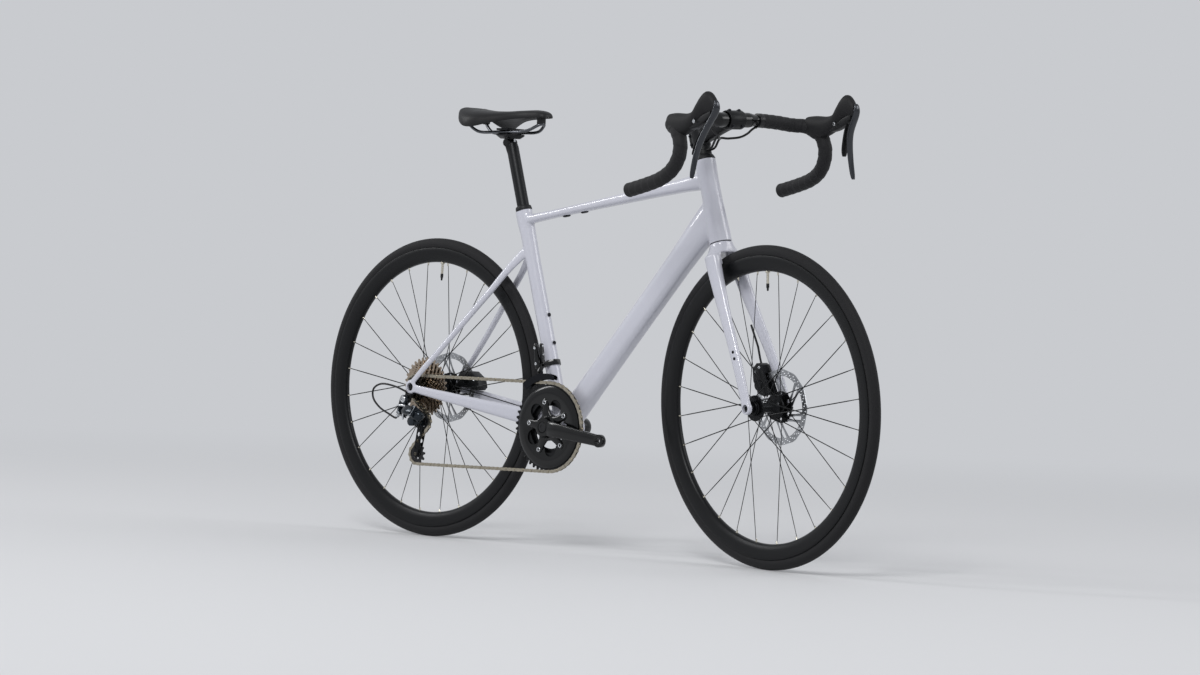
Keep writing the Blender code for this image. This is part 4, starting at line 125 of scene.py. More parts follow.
for name, place, size, power in (
    ("key_lamp", (3.2, -6.4, 6.0), (2.8, 2.4), 310.0),
    ("edge_lamp", (-5.6, -3.6, 4.2), (0.9, 4.2), 130.0),
    ("fill_lamp", (6.2, 4.2, 4.0), (3.4, 3.4), 110.0),
):
    bpy.ops.object.light_add(type="AREA", location=place)
    lamp = bpy.context.object
    lamp.name = name
    lamp.data.shape = "RECTANGLE"
    lamp.data.size, lamp.data.size_y = size
    lamp.data.energy = power
    lamp.rotation_euler = (Vector(place) - Vector((0, 0, 0.5))).to_track_quat("Z", "Y").to_euler()


# The frame: one carbon moulding in a glossy pale grey with a lilac cast. Its tubes are grown
# section by section, run together into one skin whose joints are filleted, and bored for the
# headset, the post, the bottom bracket and the axle.
SIDE, UP, FRONT = Vector((0, 1, 0)), Vector((0, 0, 1)), Vector((1, 0, 0))
rear_axle, front_axle = Vector((-0.496, 0, 0.3385)), Vector((0.496, 0, 0.3385))
bracket = Vector((-0.496 + sqrt(0.414**2 - 0.0705**2), 0, 0.268))
head_up = Vector((-cos(radians(73.3)), 0, sin(radians(73.3))))
head_front = Vector((sin(radians(73.3)), 0, cos(radians(73.3))))
head_foot = front_axle - head_front * 0.045
seat_up = Vector((-cos(radians(73.2)), 0, sin(radians(73.2))))
seat_front = Vector((sin(radians(73.2)), 0, cos(radians(73.2))))
standing = Matrix.Translation((0, 0.0129, 0))
turned_bars = Matrix.Translation(head_foot) @ Matrix.Rotation(
    radians(-8.8), 4, head_up
) @ Matrix.Translation(-head_foot)
steered = standing @ turned_bars


def on_head(up, front=0.0, side=0.0):
    """A place given from the foot of the head's axis."""
    return head_foot + head_up * up + head_front * front + SIDE * side


def on_seat(up, front=0.0, side=0.0):
    """A place given from the bottom bracket along the seat tube."""
    return bracket + seat_up * up + seat_front * front + SIDE * side


def frame_of(start, along, reference):
    """The matrix that lays a piece's Z along a direction, with its X as near the reference as it goes."""
    z = Vector(along).normalized()
    x = (Vector(reference) - z * z.dot(reference)).normalized()
    matrix = Matrix((x, z.cross(x), z)).transposed().to_4x4()
    matrix.translation = Vector(start)
    return matrix


def closed_up():
    """The mesh in edit mode given outward normals, and edit mode left."""
    bpy.ops.mesh.select_all(action="SELECT")
    bpy.ops.mesh.normals_make_consistent(inside=False)
    bpy.ops.object.mode_set(mode="OBJECT")


def grown_bar(name, stations, corner=0.9, segments=6):
    """A bar grown up from a rounded square, at (x, y, z, half width, half depth) stations."""
    bpy.ops.object.select_all(action="DESELECT")
    bpy.ops.mesh.primitive_plane_add(size=2)
    bar = bpy.context.object
    bar.name = name
    bpy.ops.object.mode_set(mode="EDIT")
    bpy.ops.mesh.bevel(offset=corner, segments=segments, affect="VERTICES")
    bpy.ops.mesh.select_all(action="SELECT")
    x, y, z, wide, deep = stations[0]
    bpy.ops.transform.resize(value=(wide, deep, 1), center_override=(0, 0, 0))
    bpy.ops.transform.translate(value=(x, y, z))
    for new_x, new_y, new_z, new_wide, new_deep in stations[1:]:
        shift = (new_x - x, new_y - y, new_z - z)
        bpy.ops.mesh.extrude_region_move(TRANSFORM_OT_translate={"value": shift})
        growth = (new_wide / wide, new_deep / deep, 1)
        bpy.ops.transform.resize(value=growth, center_override=(new_x, new_y, new_z))
        x, y, z, wide, deep = new_x, new_y, new_z, new_wide, new_deep
    bpy.ops.mesh.select_all(action="SELECT")
    bpy.ops.mesh.remove_doubles(threshold=0.00001)
    closed_up()
    return bar


def mm(*rows):
    """Rows of lengths written in millimetres, in the metres that Blender works in."""
    return [tuple(value / 1000 for value in row) for row in rows]


def lathed(name, profile, steps=48, hollow=False):
    """A turned piece about Z: a ring extruded and scaled through (radius, height) pairs."""
    bpy.ops.object.select_all(action="DESELECT")
    radius, height = profile[0]
    fill = "NOTHING" if hollow else "NGON"
    bpy.ops.mesh.primitive_circle_add(vertices=steps, radius=radius, fill_type=fill)
    piece = bpy.context.object
    piece.name = name
    bpy.ops.object.mode_set(mode="EDIT")
    bpy.ops.mesh.select_all(action="SELECT")
    bpy.ops.transform.translate(value=(0, 0, height))
    for new_radius, new_height in profile[1:]:
        bpy.ops.mesh.extrude_region_move(TRANSFORM_OT_translate={"value": (0, 0, new_height - height)})
        scale = new_radius / radius
        bpy.ops.transform.resize(value=(scale, scale, 1), center_override=(0, 0, new_height))
        radius, height = new_radius, new_height
    if hollow:
        bpy.ops.mesh.select_all(action="DESELECT")
        bpy.ops.mesh.select_mode(type="EDGE")
        bpy.ops.mesh.select_non_manifold(extend=False)
        bpy.ops.mesh.bridge_edge_loops()
    closed_up()
    return piece


def placed(piece, *matrices):
    """The piece's mesh carried through the matrices, the last first, with its object left at the origin."""
    for matrix in reversed(matrices):
        piece.data.transform(matrix)
        if matrix.determinant() < 0:
            piece.data.flip_normals()
    return piece


def copied(piece, name, *matrices):
    """A copy with its own mesh, carried through the matrices."""
    twin = bpy.data.objects.new(name, piece.data.copy())
    bpy.context.scene.collection.objects.link(twin)
    return placed(twin, *matrices)


def alone(piece):
    """One piece selected and active, and nothing else."""
    bpy.ops.object.select_all(action="DESELECT")
    bpy.context.view_layer.objects.active = piece
    piece.select_set(True)


def joined(name, pieces):
    """Several meshes as one object."""
    bpy.ops.object.select_all(action="DESELECT")
    for piece in pieces:
        piece.select_set(True)
    bpy.context.view_layer.objects.active = pieces[0]
    if len(pieces) > 1:
        bpy.ops.object.join()
    pieces[0].name = name
    return pieces[0]


def modified(piece, kind, **settings):
    """A modifier added with its settings and applied at once."""
    alone(piece)
    modifier = piece.modifiers.new(kind.lower(), kind)
    for name, value in settings.items():
        setattr(modifier, name, value)
    bpy.ops.object.modifier_apply(modifier=modifier.name)
    return piece


def bored(piece, *cutters):
    """The cutters taken out of the piece, one after the other."""
    for cutter in cutters:
        modified(piece, "BOOLEAN", operation="DIFFERENCE", solver="MANIFOLD", object=cutter)
        bpy.data.objects.remove(cutter)
    return piece


def pin_between(name, start, end, radius, steps=32):
    """A plain round bar between two points, for bores and pins."""
    length = (Vector(end) - Vector(start)).length
    bar = lathed(name, ((radius, 0.0), (radius, length)), steps)
    reference = SIDE if abs((Vector(end) - Vector(start)).normalized().y) < 0.9 else FRONT
    return placed(bar, frame_of(start, Vector(end) - Vector(start), reference))


def pins_round(name, count, first_turn, reach, radius, low, high, steps):
    """Round bars along Z, spaced evenly on a circle, as one mesh."""
    pins = []
    for index in range(count):
        turn = tau * index / count + first_turn
        spot = Vector((cos(turn) * reach, sin(turn) * reach, 0))
        pins.append(pin_between(name, spot + UP * low, spot + UP * high, radius, steps))
    return joined(name, pins)


def smoothed(piece, angle=35):
    """Shaded smooth, but with edges over the angle left sharp."""
    alone(piece)
    bpy.ops.object.shade_smooth_by_angle(angle=radians(angle))
    return piece


def finished(piece, body, slot, material, *nodes):
    """The piece given its material and its body, with the nodes it stands for hidden; its slot is not used.
    """
    piece.data.materials.clear()
    piece.data.materials.append(material)
    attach(piece, body)
    if nodes:
        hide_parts(*nodes)
    return piece


def limb(name, start, end, corner, reference, *rows):
    """A bar between two points. A row has the share of its length, then x, y and half sizes in mm."""
    length = (end - start).length
    stations = []
    for share, x, y, wide, deep in rows:
        stations.append((x / 1000, y / 1000, share * length, wide / 1000, deep / 1000))
    return placed(grown_bar(name, stations, corner), frame_of(start, end - start, reference))


def grouped(name, pieces, body, slot, material, *nodes):
    """Pieces joined, smoothed and finished as one."""
    return finished(smoothed(joined(name, pieces), 30), body, slot, material, *nodes)


def new_material(name, colour, roughness, metallic=0.0, **sockets):
    """A Principled material with its plain values set on the shader's own sockets."""
    material = bpy.data.materials.new(name)
    material.use_nodes = True
    shader = material.node_tree.nodes["Principled BSDF"]
    shader.inputs["Base Color"].default_value = linear(colour)
    shader.inputs["Roughness"].default_value = roughness
    shader.inputs["Metallic"].default_value = metallic
    for socket, value in sockets.items():
        shader.inputs[socket.replace("_", " ")].default_value = value
    return material, material.node_tree, shader


# Gloss paint under a clear coat: fine pearl flakes of about 0.8 mm shift the tone a little, and the
# coat has a faint orange peel with waves 4 mm long.
paint, tree, shader = new_material(
    "gloss_lilac_grey_paint", "#BBBCC6", 0.32, Coat_Weight=0.9, Coat_Roughness=0.04
)
where = add_node(tree, "TexCoord")
flake = add_node(tree, "TexVoronoi", Vector=where.outputs["Object"], Scale=1250.0)
tone = add_node(tree, "ValToRGB", Fac=flake.outputs["Color"])
tone.color_ramp.elements[0].color = linear("#B7B8C3")
tone.color_ramp.elements[1].color = linear("#C6C7D0")
cloud = add_node(tree, "TexNoise", Vector=where.outputs["Object"], Scale=9.0, Detail=2.0)
veil = add_node(tree, "Mix", {"data_type": "RGBA"}, Factor=cloud.outputs["Fac"])
tree.links.new(tone.outputs["Color"], veil.inputs["A"])
veil.inputs["B"].default_value = linear("#BEBFC9")
tree.links.new(veil.outputs["Result"], shader.inputs["Base Color"])
peel = add_node(tree, "TexNoise", Vector=where.outputs["Object"], Scale=250.0, Detail=1.0)
skin = add_node(tree, "Bump", Height=peel.outputs["Fac"], Strength=0.035, Distance=0.0005)
tree.links.new(skin.outputs["Normal"], shader.inputs["Coat Normal"])

tubes = []
crown_height, head_tube_length = 0.3690, 0.1815
head_tube_top, head_tube_foot = crown_height + head_tube_length, 0.3699
profile = mm(
    (24.3, 355), (24.3, 388), (23.2, 415), (21.6, 455), (21.2, 490), (21.7, 522), (22.6, 538), (22.6, 560)
)
tubes.append(placed(lathed("head_tube", profile, 56), frame_of(head_foot, head_up, SIDE)))

down_top = on_head(crown_height + head_tube_length * 0.375 - 0.002)
tubes.append(limb(
    "down_tube", bracket, down_top, 0.72, SIDE,
    (-0.01, 0, 0, 30, 23.9), (0.04, 0, 0, 29.1, 24.9), (0.09, 0, 0, 27.2, 25.6), (0.14, 0, 0, 25, 26.2),
    (0.20, 0, 0, 23.4, 26.5), (0.30, 0, 0, 22.4, 26.5), (0.45, 0, 0, 22, 26.5), (0.62, 0, 0, 22, 27.1),
    (0.78, 0, 0, 22, 28.2), (0.86, 0, 0, 21.8, 30.5), (0.92, 0, 0, 21.3, 33.2), (1.00, 0, 0, 19, 35),
))

top_rear, top_front = on_seat(0.473), on_head(head_tube_top - 0.043)
tubes.append(limb(
    "top_tube", top_rear, top_front, 0.80, SIDE,
    (0.00, 0, 0, 13.3, 11.6), (0.06, 0, 0, 14, 10.2), (0.16, 0, 0, 14, 9.4), (0.40, 0, 0, 15, 10.4),
    (0.62, 0, 0, 16.4, 12), (0.75, 0, 0, 17.2, 13.1), (0.88, 0, 0, 18, 15), (0.94, 0, 0, 18.1, 17.4),
    (1.00, 0, 0, 18, 21),
))

stations = mm(
    (0, 0, 0, 24, 18.7), (0, 0, 25, 20.8, 17.8), (0, 0, 50, 18.5, 17), (0, 0, 110, 16.3, 16.3),
    (0, 0, 374, 16.3, 16.3), (0, 0, 440, 16.8, 17.4), (0, -1, 470, 17.2, 19.6), (0, -1, 505, 17.2, 20),
)
tubes.append(placed(grown_bar("seat_tube", stations, 0.97, 8), frame_of(bracket, seat_up, -SIDE)))
shell = lathed("bracket_shell", mm((24, -47), (24, 47)), 56)
tubes.append(placed(shell, frame_of(bracket, SIDE, FRONT)))

dropout_side = 0.0738
stay_top, stay_foot = on_seat(0.408, -0.004), rear_axle + Vector((0.004, 0, 0.010))
right_stay = limb(
    "seat_stay", stay_top, stay_foot, 0.88, -SIDE,
    (0.00, 6, 0, 6.5, 11), (0.07, 15, -1, 6.5, 10.6), (0.12, 21.5, -1.6, 6.5, 9.6),
    (0.18, 26.8, -2, 6.5, 8.5), (0.30, 33.5, -3, 6.5, 8), (0.46, 44, -3, 6.3, 7.8),
    (0.62, 54, -3, 6.1, 7.5), (0.78, 63, -2, 5.8, 7.3), (0.90, 70.3, -1, 5.2, 7.2),
    (1.00, dropout_side * 1000, 0, 3.4, 7.2),
)
mirror = Matrix.Scale(-1, 4, SIDE)
tubes += [right_stay, copied(right_stay, "seat_stay_left", mirror)]

stay_front, stay_back = bracket + Vector((-0.012, 0, 0.008)), rear_axle + Vector((0.010, 0, -0.003))
right_stay = limb(
    "chain_stay", stay_front, stay_back, 0.70, -SIDE,
    (0.00, 24.5, 0, 7.5, 17.5), (0.10, 27, 0, 7.5, 18.8), (0.18, 29, 0, 7.5, 18.9),
    (0.30, 33.8, 0, 7.8, 17.2), (0.40, 40.5, 0, 7.9, 15.8), (0.50, 48, 0, 7.8, 14.4),
    (0.62, 56.5, 0, 7.3, 13), (0.75, 64.5, 0, 6.7, 11.8), (0.86, 70.3, 0, 5.4, 10.7),
    (0.93, 72.8, 0, 4.2, 10.1), (1.00, dropout_side * 1000, 0, 3, 9.6),
)
tubes += [right_stay, copied(right_stay, "chain_stay_left", mirror)]
for way in (-1, 1):
    disc = lathed("dropout", mm((15.3, -2.75), (16.5, -1.8), (16.5, 1.8), (15.3, 2.75)), 40)
    tubes.append(placed(disc, frame_of(rear_axle + SIDE * way * dropout_side, SIDE, FRONT)))

frame_skin = joined("frame_skin", tubes)
modified(frame_skin, "REMESH", mode="VOXEL", voxel_size=0.0020)
modified(frame_skin, "SMOOTH", factor=0.5, iterations=16)
bored(
    frame_skin,
    pin_between("top_trim", on_head(head_tube_top), on_head(head_tube_top + 0.03), 0.034),
    pin_between("foot_trim", on_head(head_tube_foot), on_head(head_tube_foot - 0.03), 0.034),
    pin_between("collar_trim", on_seat(0.4940), on_seat(0.5300), 0.030),
    pin_between("right_trim", bracket - SIDE * 0.0430, bracket - SIDE * 0.06, 0.034),
    pin_between("left_trim", bracket + SIDE * 0.0430, bracket + SIDE * 0.06, 0.034),
    pin_between("steerer_bore", on_head(0.34), on_head(0.58), 0.0175, 48),
    pin_between("upper_seat", on_head(0.5432), on_head(0.58), 0.0208, 48),
    pin_between("lower_seat", on_head(0.34), on_head(0.3772), 0.0225, 48),
    pin_between("post_bore", on_seat(0.27), on_seat(0.52), 0.0141, 48),
    pin_between("bracket_bore", bracket - SIDE * 0.06, bracket + SIDE * 0.06, 0.0208, 48),
    pin_between("axle_bore", rear_axle - SIDE * 0.09, rear_axle + SIDE * 0.09, 0.0092, 40),
)
modified(frame_skin, "DECIMATE", ratio=0.55)
placed(smoothed(frame_skin, 40), standing)
finished(frame_skin, "main_frame", "frame_paint", paint, "frame")

# The fork: a carbon moulding painted like the frame. Its crown spreads from the head tube's width
# to the two legs, is arched over the tyre, and the legs rake forwards to the through axle's tips.
def eased(stations, steps=3):
    """More stations on a smooth curve through the given ones."""
    ends = [stations[0]] + list(stations) + [stations[-1]]
    path = []
    for index in range(len(stations) - 1):
        for step in range(steps):
            t = step / steps
            spot = []
            for before, start, end, after in zip(*ends[index : index + 4]):
                bend = (2 * before - 5 * start + 4 * end - after) * t * t / 2
                twist = (3 * start - before - 3 * end + after) * t**3 / 2
                spot.append(start + (end - before) * t / 2 + bend + twist)
            path.append(tuple(spot))
    return path + [tuple(stations[-1])]


crown = grown_bar(
    "fork_crown",
    eased(mm(
        (0, 0, 368.8, 24.3, 24.3), (0, 0, 360.8, 26.2, 23.8), (0, 0.5, 348.8, 36.8, 21.6),
        (0, 1, 333.8, 44.6, 19.6), (0, 3, 318.8, 46, 18.8),
    )),
    0.93,
    8,
)
leg = grown_bar(
    "fork_leg",
    eased(mm(
        (32.5, 1, 342, 12.5, 18.5), (33.5, 3, 318, 12.5, 18.5), (36.5, 8, 270, 10.5, 17.2),
        (42.5, 19, 200, 8.5, 14.5), (49.4, 33, 120, 7.3, 13.2), (54.1, 41.5, 50, 6.7, 12.4),
        (56.2, 45, 0, 5.8, 12.4),
    )),
    0.82,
)
upright = frame_of(head_foot, head_up, -SIDE)
placed(crown, upright)
placed(leg, upright)
tip = lathed("fork_tip", mm((12, -5.8), (13.2, -4.4), (13.2, 4.4), (12, 5.8)), 40)
placed(tip, frame_of(front_axle - SIDE * 0.0562, SIDE, FRONT))
pieces = [crown, leg, tip, copied(leg, "fork_leg_left", mirror), copied(tip, "fork_tip_left", mirror)]
fork_skin = joined("fork_skin", pieces)
modified(fork_skin, "REMESH", mode="VOXEL", voxel_size=0.0018)
bored(
    fork_skin, pin_between("tyre_arch", front_axle - SIDE * 0.0210, front_axle + SIDE * 0.0210, 0.3450, 160)
)
modified(fork_skin, "REMESH", mode="VOXEL", voxel_size=0.0017)
modified(fork_skin, "SMOOTH", factor=0.5, iterations=12)
bored(
    fork_skin,
    pin_between("crown_trim", on_head(0.3688), on_head(0.40), 0.04),
    pin_between("tip_bore", front_axle - SIDE * 0.08, front_axle + SIDE * 0.08, 0.0083, 40),
)
modified(fork_skin, "DECIMATE", ratio=0.6)
steerer = pin_between("steerer", on_head(0.3620), on_head(0.6187), 0.0142, 40)
fork_skin = joined("fork_skin", [fork_skin, steerer])
placed(smoothed(fork_skin, 40), steered)
finished(fork_skin, "steering", "frame_paint", paint, "fork")

# Small fittings on the frame and fork: black button-head screws in the bottle bosses and in the
# right fork leg, and two oval plugs for cable guides under the top tube.
def grained(name, colour, roughness, metallic, scale, detail, spread=None, bump=None, **sockets):
    """A finish whose fine noise, with scale waves to the metre, varies its roughness and its relief."""
    material, tree, shader = new_material(name, colour, roughness, metallic, **sockets)
    where = add_node(tree, "TexCoord")
    grain = add_node(tree, "TexNoise", Vector=where.outputs["Object"], Scale=scale, Detail=detail)
    if spread:
        worn = add_node(tree, "MapRange", Value=grain.outputs["Fac"], i3=spread[0], i4=spread[1])
        tree.links.new(worn.outputs["Result"], shader.inputs["Roughness"])
    if bump:
        skin = add_node(tree, "Bump", Height=grain.outputs["Fac"], Strength=bump[0], Distance=bump[1])
        tree.links.new(skin.outputs["Normal"], shader.inputs["Normal"])
    return material


# Black oxide on steel: dark and half matt, with a fine grain.
screw_black = grained("black_oxide_screw_steel", "#26272B", 0.38, 0.9, 900, 2, spread=(0.30, 0.48))


def button_screw(name, radius, height):
    """A domed screw head with a hexagon socket."""
    head = lathed(
        name,
        ((radius, 0.0), (radius, height * 0.35), (radius * 0.86, height * 0.8), (radius * 0.6, height)),
        24,
    )
    return bored(head, pin_between("socket", (0, 0, height * 0.35), (0, 0, height * 2), radius * 0.42, 6))


screws = []
for up in (0.1870, 0.2510):
    screw = button_screw("boss_screw", 0.0044, 0.0026)
    screws.append(placed(screw, standing, frame_of(on_seat(up, 0.0177), seat_front, SIDE)))
grouped("boss_screws", screws, "main_frame", "black_alloy", screw_black)
screws = []
for x, z in ((0.4512, 0.4539), (0.4570, 0.4406)):
    level_up = (Vector((x, 0, z)) - head_foot).dot(head_up)
    side = 0.0425 + (0.200 - level_up) / 0.08 * 0.0065 + 0.0072
    spot = Vector((x, -side, z))
    screws.append(placed(
        button_screw("mount_screw", 0.0034, 0.0016), steered, frame_of(spot, Vector((0, -1, 0.05)), FRONT)
    ))
grouped("fork_mount_screws", screws, "steering", "black_alloy", screw_black)
plugs = []
for share in (0.23, 0.33):
    middle = top_rear.lerp(top_front, share)
    plug = grown_bar(
        "guide_plug", mm((0, 0, 0, 6, 10.5), (0, 0, 1.6, 5.7, 10), (0, 0, 2.6, 4.2, 8)), 0.97, 8
    )
    down = SIDE.cross(top_front - top_rear).normalized()
    plugs.append(placed(plug, standing, frame_of(middle + down * 0.0098, down, SIDE)))
grouped("guide_plugs", plugs, "main_frame", "black_alloy", screw_black)

# The headset: a satin black cover and a spacer stack over the upper bearing, turned from alloy and
# nylon. The thin dark joints between the spacers are real grooves.
# Moulded nylon: broad dull highlights over a finely pebbled face.
black_satin = grained(
    "satin_black_nylon", "#131416", 0.46, 0.0, 1400, 2, bump=(0.12, 0.0003), Specular_IOR_Level=0.3
)
profile = mm(
    (14.6, 550.8), (22.2, 550.8), (22.6, 551.4), (22.5, 553.5), (20.5, 558), (18.4, 561), (17.4, 561.8),
    (16.7, 562.1), (16.7, 562.4), (17.2, 562.7), (17.2, 570.8), (16.6, 571.1), (16.6, 571.4),
    (17.2, 571.7), (17.2, 579.3), (16.8, 579.7), (14.6, 579.7),
)
cover = lathed("headset_stack", profile, 56, hollow=True)
placed(smoothed(cover, 30), steered, frame_of(head_foot, head_up, SIDE))
finished(cover, "steering", "black_plastic", black_satin, "headset_cover")
for node in ("headset_bearing_upper", "headset_bearing_lower"):
    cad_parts[node].data.materials.clear()
    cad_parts[node].data.materials.append(screw_black)

# The tyres: 28 mm road tyres in matt black rubber, with a smooth crown, short diagonal cuts on
# both shoulders every 7 mm, and faint moulding rings on the sidewalls.
# Its matt face shows form only as a soft grey, and a slight sheen lightens the edges.
rubber, tree, shader = new_material("tyre_rubber", "#151517", 0.64, Specular_IOR_Level=0.22)
shader.inputs["Sheen Weight"].default_value = 0.04
layout = add_node(tree, "UVMap")
sides = add_node(tree, "SeparateXYZ", Vector=layout.outputs["UV"])
offset = add_node(tree, "Math", {"operation": "SUBTRACT"}, i0=sides.outputs["Y"], i1=0.5)
height = add_node(tree, "Math", {"operation": "ABSOLUTE"}, i0=offset.outputs[0])
slant = add_node(tree, "Math", {"operation": "MULTIPLY"}, i0=height.outputs[0], i1=9.0)
turns = add_node(
    tree, "Math", {"operation": "MULTIPLY_ADD"}, i0=sides.outputs["X"], i1=300.0, i2=slant.outputs[0]
)
wave = add_node(tree, "Math", {"operation": "FRACT"}, i0=turns.outputs[0])
line = add_node(tree, "Math", {"operation": "LESS_THAN"}, i0=wave.outputs[0], i1=0.30)
above = add_node(tree, "Math", {"operation": "GREATER_THAN"}, i0=height.outputs[0], i1=0.395)
below = add_node(tree, "Math", {"operation": "LESS_THAN"}, i0=height.outputs[0], i1=0.455)
band = add_node(tree, "Math", {"operation": "MULTIPLY"}, i0=above.outputs[0], i1=below.outputs[0])
cuts = add_node(tree, "Math", {"operation": "MULTIPLY"}, i0=line.outputs[0], i1=band.outputs[0])
rings = add_node(tree, "Math", {"operation": "MULTIPLY"}, i0=height.outputs[0], i1=260.0)
rings = add_node(tree, "Math", {"operation": "SINE"}, i0=rings.outputs[0])
wall = add_node(tree, "Math", {"operation": "LESS_THAN"}, i0=height.outputs[0], i1=0.375)
rings = add_node(tree, "Math", {"operation": "MULTIPLY"}, i0=rings.outputs[0], i1=wall.outputs[0])
where = add_node(tree, "TexCoord")
scuff = add_node(tree, "TexNoise", Vector=where.outputs["Object"], Scale=700.0, Detail=3.0)
relief = add_node(
    tree, "Math", {"operation": "MULTIPLY_ADD"}, i0=cuts.outputs[0], i1=-2.4, i2=scuff.outputs["Fac"]
)
relief = add_node(
    tree, "Math", {"operation": "MULTIPLY_ADD"}, i0=rings.outputs[0], i1=0.30, i2=relief.outputs[0]
)
skin = add_node(tree, "Bump", Height=relief.outputs[0], Strength=0.55, Distance=0.0003)
tree.links.new(skin.outputs["Normal"], shader.inputs["Normal"])
tone = add_node(tree, "ValToRGB", Fac=scuff.outputs["Fac"])
tone.color_ramp.elements[0].position, tone.color_ramp.elements[1].position = 0.35, 0.75
tone.color_ramp.elements[0].color = linear("#111113")
tone.color_ramp.elements[1].color = linear("#1A1A1C")
tree.links.new(tone.outputs["Color"], shader.inputs["Base Color"])

wheel_places = {
    "front": (front_axle, steered, "front_wheel"),
    "rear": (rear_axle, standing, "rear_wheel"),
}
for name, (axle, stand, body) in wheel_places.items():
    bpy.ops.object.select_all(action="DESELECT")
    bpy.ops.mesh.primitive_torus_add(
        major_radius=0.3240, minor_radius=0.0145, major_segments=176, minor_segments=30
    )
    tyre = bpy.context.object
    tyre.name = name + "_tyre_casing"
    for vertex in tyre.data.vertices:
        vertex.select = hypot(vertex.co.x, vertex.co.y) < 0.3172
    bpy.ops.object.mode_set(mode="EDIT")
    bpy.ops.transform.resize(value=(1, 1, 0.76), center_override=(0, 0, 0))
    bpy.ops.object.mode_set(mode="OBJECT")
    tyre.data.shade_smooth()
    placed(tyre, stand, frame_of(axle, -SIDE, FRONT))
    finished(tyre, body, "tyre_rubber", rubber, name + "_tyre")

# The rims: 32 mm deep satin black alloy hoops with hooked edges, a tubeless valve, and a bright
# nipple at each of the 28 spokes.
# Blasted and anodised, so highlights are broad and cloud a little along the hoop.
rim_black, tree, shader = new_material(
    "satin_black_anodised_rim", "#101113", 0.32, 0.45, Specular_IOR_Level=0.35
)
where = add_node(tree, "TexCoord")
grain = add_node(tree, "TexNoise", Vector=where.outputs["Object"], Scale=1100.0, Detail=2.0)
cloud = add_node(tree, "TexNoise", Vector=where.outputs["Object"], Scale=30.0, Detail=2.0)
both = add_node(tree, "Math", {"operation": "ADD"}, i0=grain.outputs["Fac"], i1=cloud.outputs["Fac"])
spread = add_node(tree, "MapRange", Value=both.outputs[0], i2=2.0, i3=0.26, i4=0.46)
tree.links.new(spread.outputs["Result"], shader.inputs["Roughness"])
skin = add_node(tree, "Bump", Height=grain.outputs["Fac"], Strength=0.05, Distance=0.0003)
tree.links.new(skin.outputs["Normal"], shader.inputs["Normal"])
# Nickel on brass: small, warm, bright points.
nipple_brass = grained("nickel_plated_brass", "#C9C4B6", 0.24, 1.0, 1500, 1, spread=(0.18, 0.34))
half = mm(
    (310.5, 9.9), (315.8, 10), (316.6, 10.4), (316.8, 11), (316.5, 11.7), (315.6, 12), (310, 12.1),
    (303, 11.9), (297, 11.4), (292, 10.3), (288, 8.5), (285.6, 6.2), (284.3, 3.6), (283.9, 1.2),
)
profile = half + [(radius, -side) for radius, side in reversed(half)]
spoke_count, spoke_bed = 28, 0.2846
valve_turns = {"front": 90.0, "rear": 87.0}
for name, (axle, stand, body) in wheel_places.items():
    side_view = frame_of(axle, -SIDE, FRONT)
    hoop = placed(smoothed(lathed(name + "_rim_hoop", profile, 168, hollow=True), 32), stand, side_view)
    finished(hoop, body, "rim_carbon", rim_black, name + "_rim")
    nipple = lathed("nipple", mm((2.1, 0), (2.1, 1.2), (1.8, 2), (1.6, 6.2), (1.2, 6.8)), 10)
    nipples = []
    inward = Matrix.Translation((spoke_bed, 0, 0)) @ Matrix.Rotation(-pi / 2, 4, "Y")
    for index in range(spoke_count):
        turn = Matrix.Rotation(tau * (index + 0.5) / spoke_count, 4, "Z")
        nipples.append(copied(nipple, "nipple", stand, side_view, turn, inward))
    bpy.data.objects.remove(nipple)
    ring = smoothed(joined(name + "_nipples", nipples), 40)
    finished(ring, body, "bare_steel", nipple_brass)
    stem_profile = mm(
        (3, 0), (4.6, 0.2), (5, 1.2), (5, 3.6), (4.4, 4.2), (2.8, 4.4), (2.8, 25), (2.6, 26.2)
    )
    cap_profile = mm((3.1, 26.2), (3.3, 26.8), (3.3, 34), (2.4, 36.2), (1.9, 41), (1, 41.8))
    outward = Matrix.Rotation(radians(valve_turns[name]), 4, "Z") @ inward
    valve = placed(smoothed(lathed(name + "_valve_stem", stem_profile, 20), 30), stand, side_view, outward)
    finished(valve, body, "bare_steel", nipple_brass)
    cap = placed(smoothed(lathed(name + "_valve_cap", cap_profile, 20), 30), stand, side_view, outward)
    finished(cap, body, "black_plastic", black_satin)

# The hubs and spokes: black anodised shells with two flanges, laced with 28 black bladed steel
# spokes, 2.3 mm wide and 1 mm thick between their round ends.
# Lathe lines about 0.6 mm apart break up the shells' highlights.
hub_black, tree, shader = new_material("black_anodised_aluminium", "#18191B", 0.30, 0.80)
where = add_node(tree, "TexCoord")
stretch = add_node(tree, "Mapping", Vector=where.outputs["Object"], Scale=(1.0, 26.0, 1.0))
lathe_lines = add_node(tree, "TexNoise", Vector=stretch.outputs["Vector"], Scale=60.0, Detail=2.0)
spread = add_node(tree, "MapRange", Value=lathe_lines.outputs["Fac"], i3=0.22, i4=0.40)
tree.links.new(spread.outputs["Result"], shader.inputs["Roughness"])
skin = add_node(tree, "Bump", Height=lathe_lines.outputs["Fac"], Strength=0.06, Distance=0.0003)
tree.links.new(skin.outputs["Normal"], shader.inputs["Normal"])
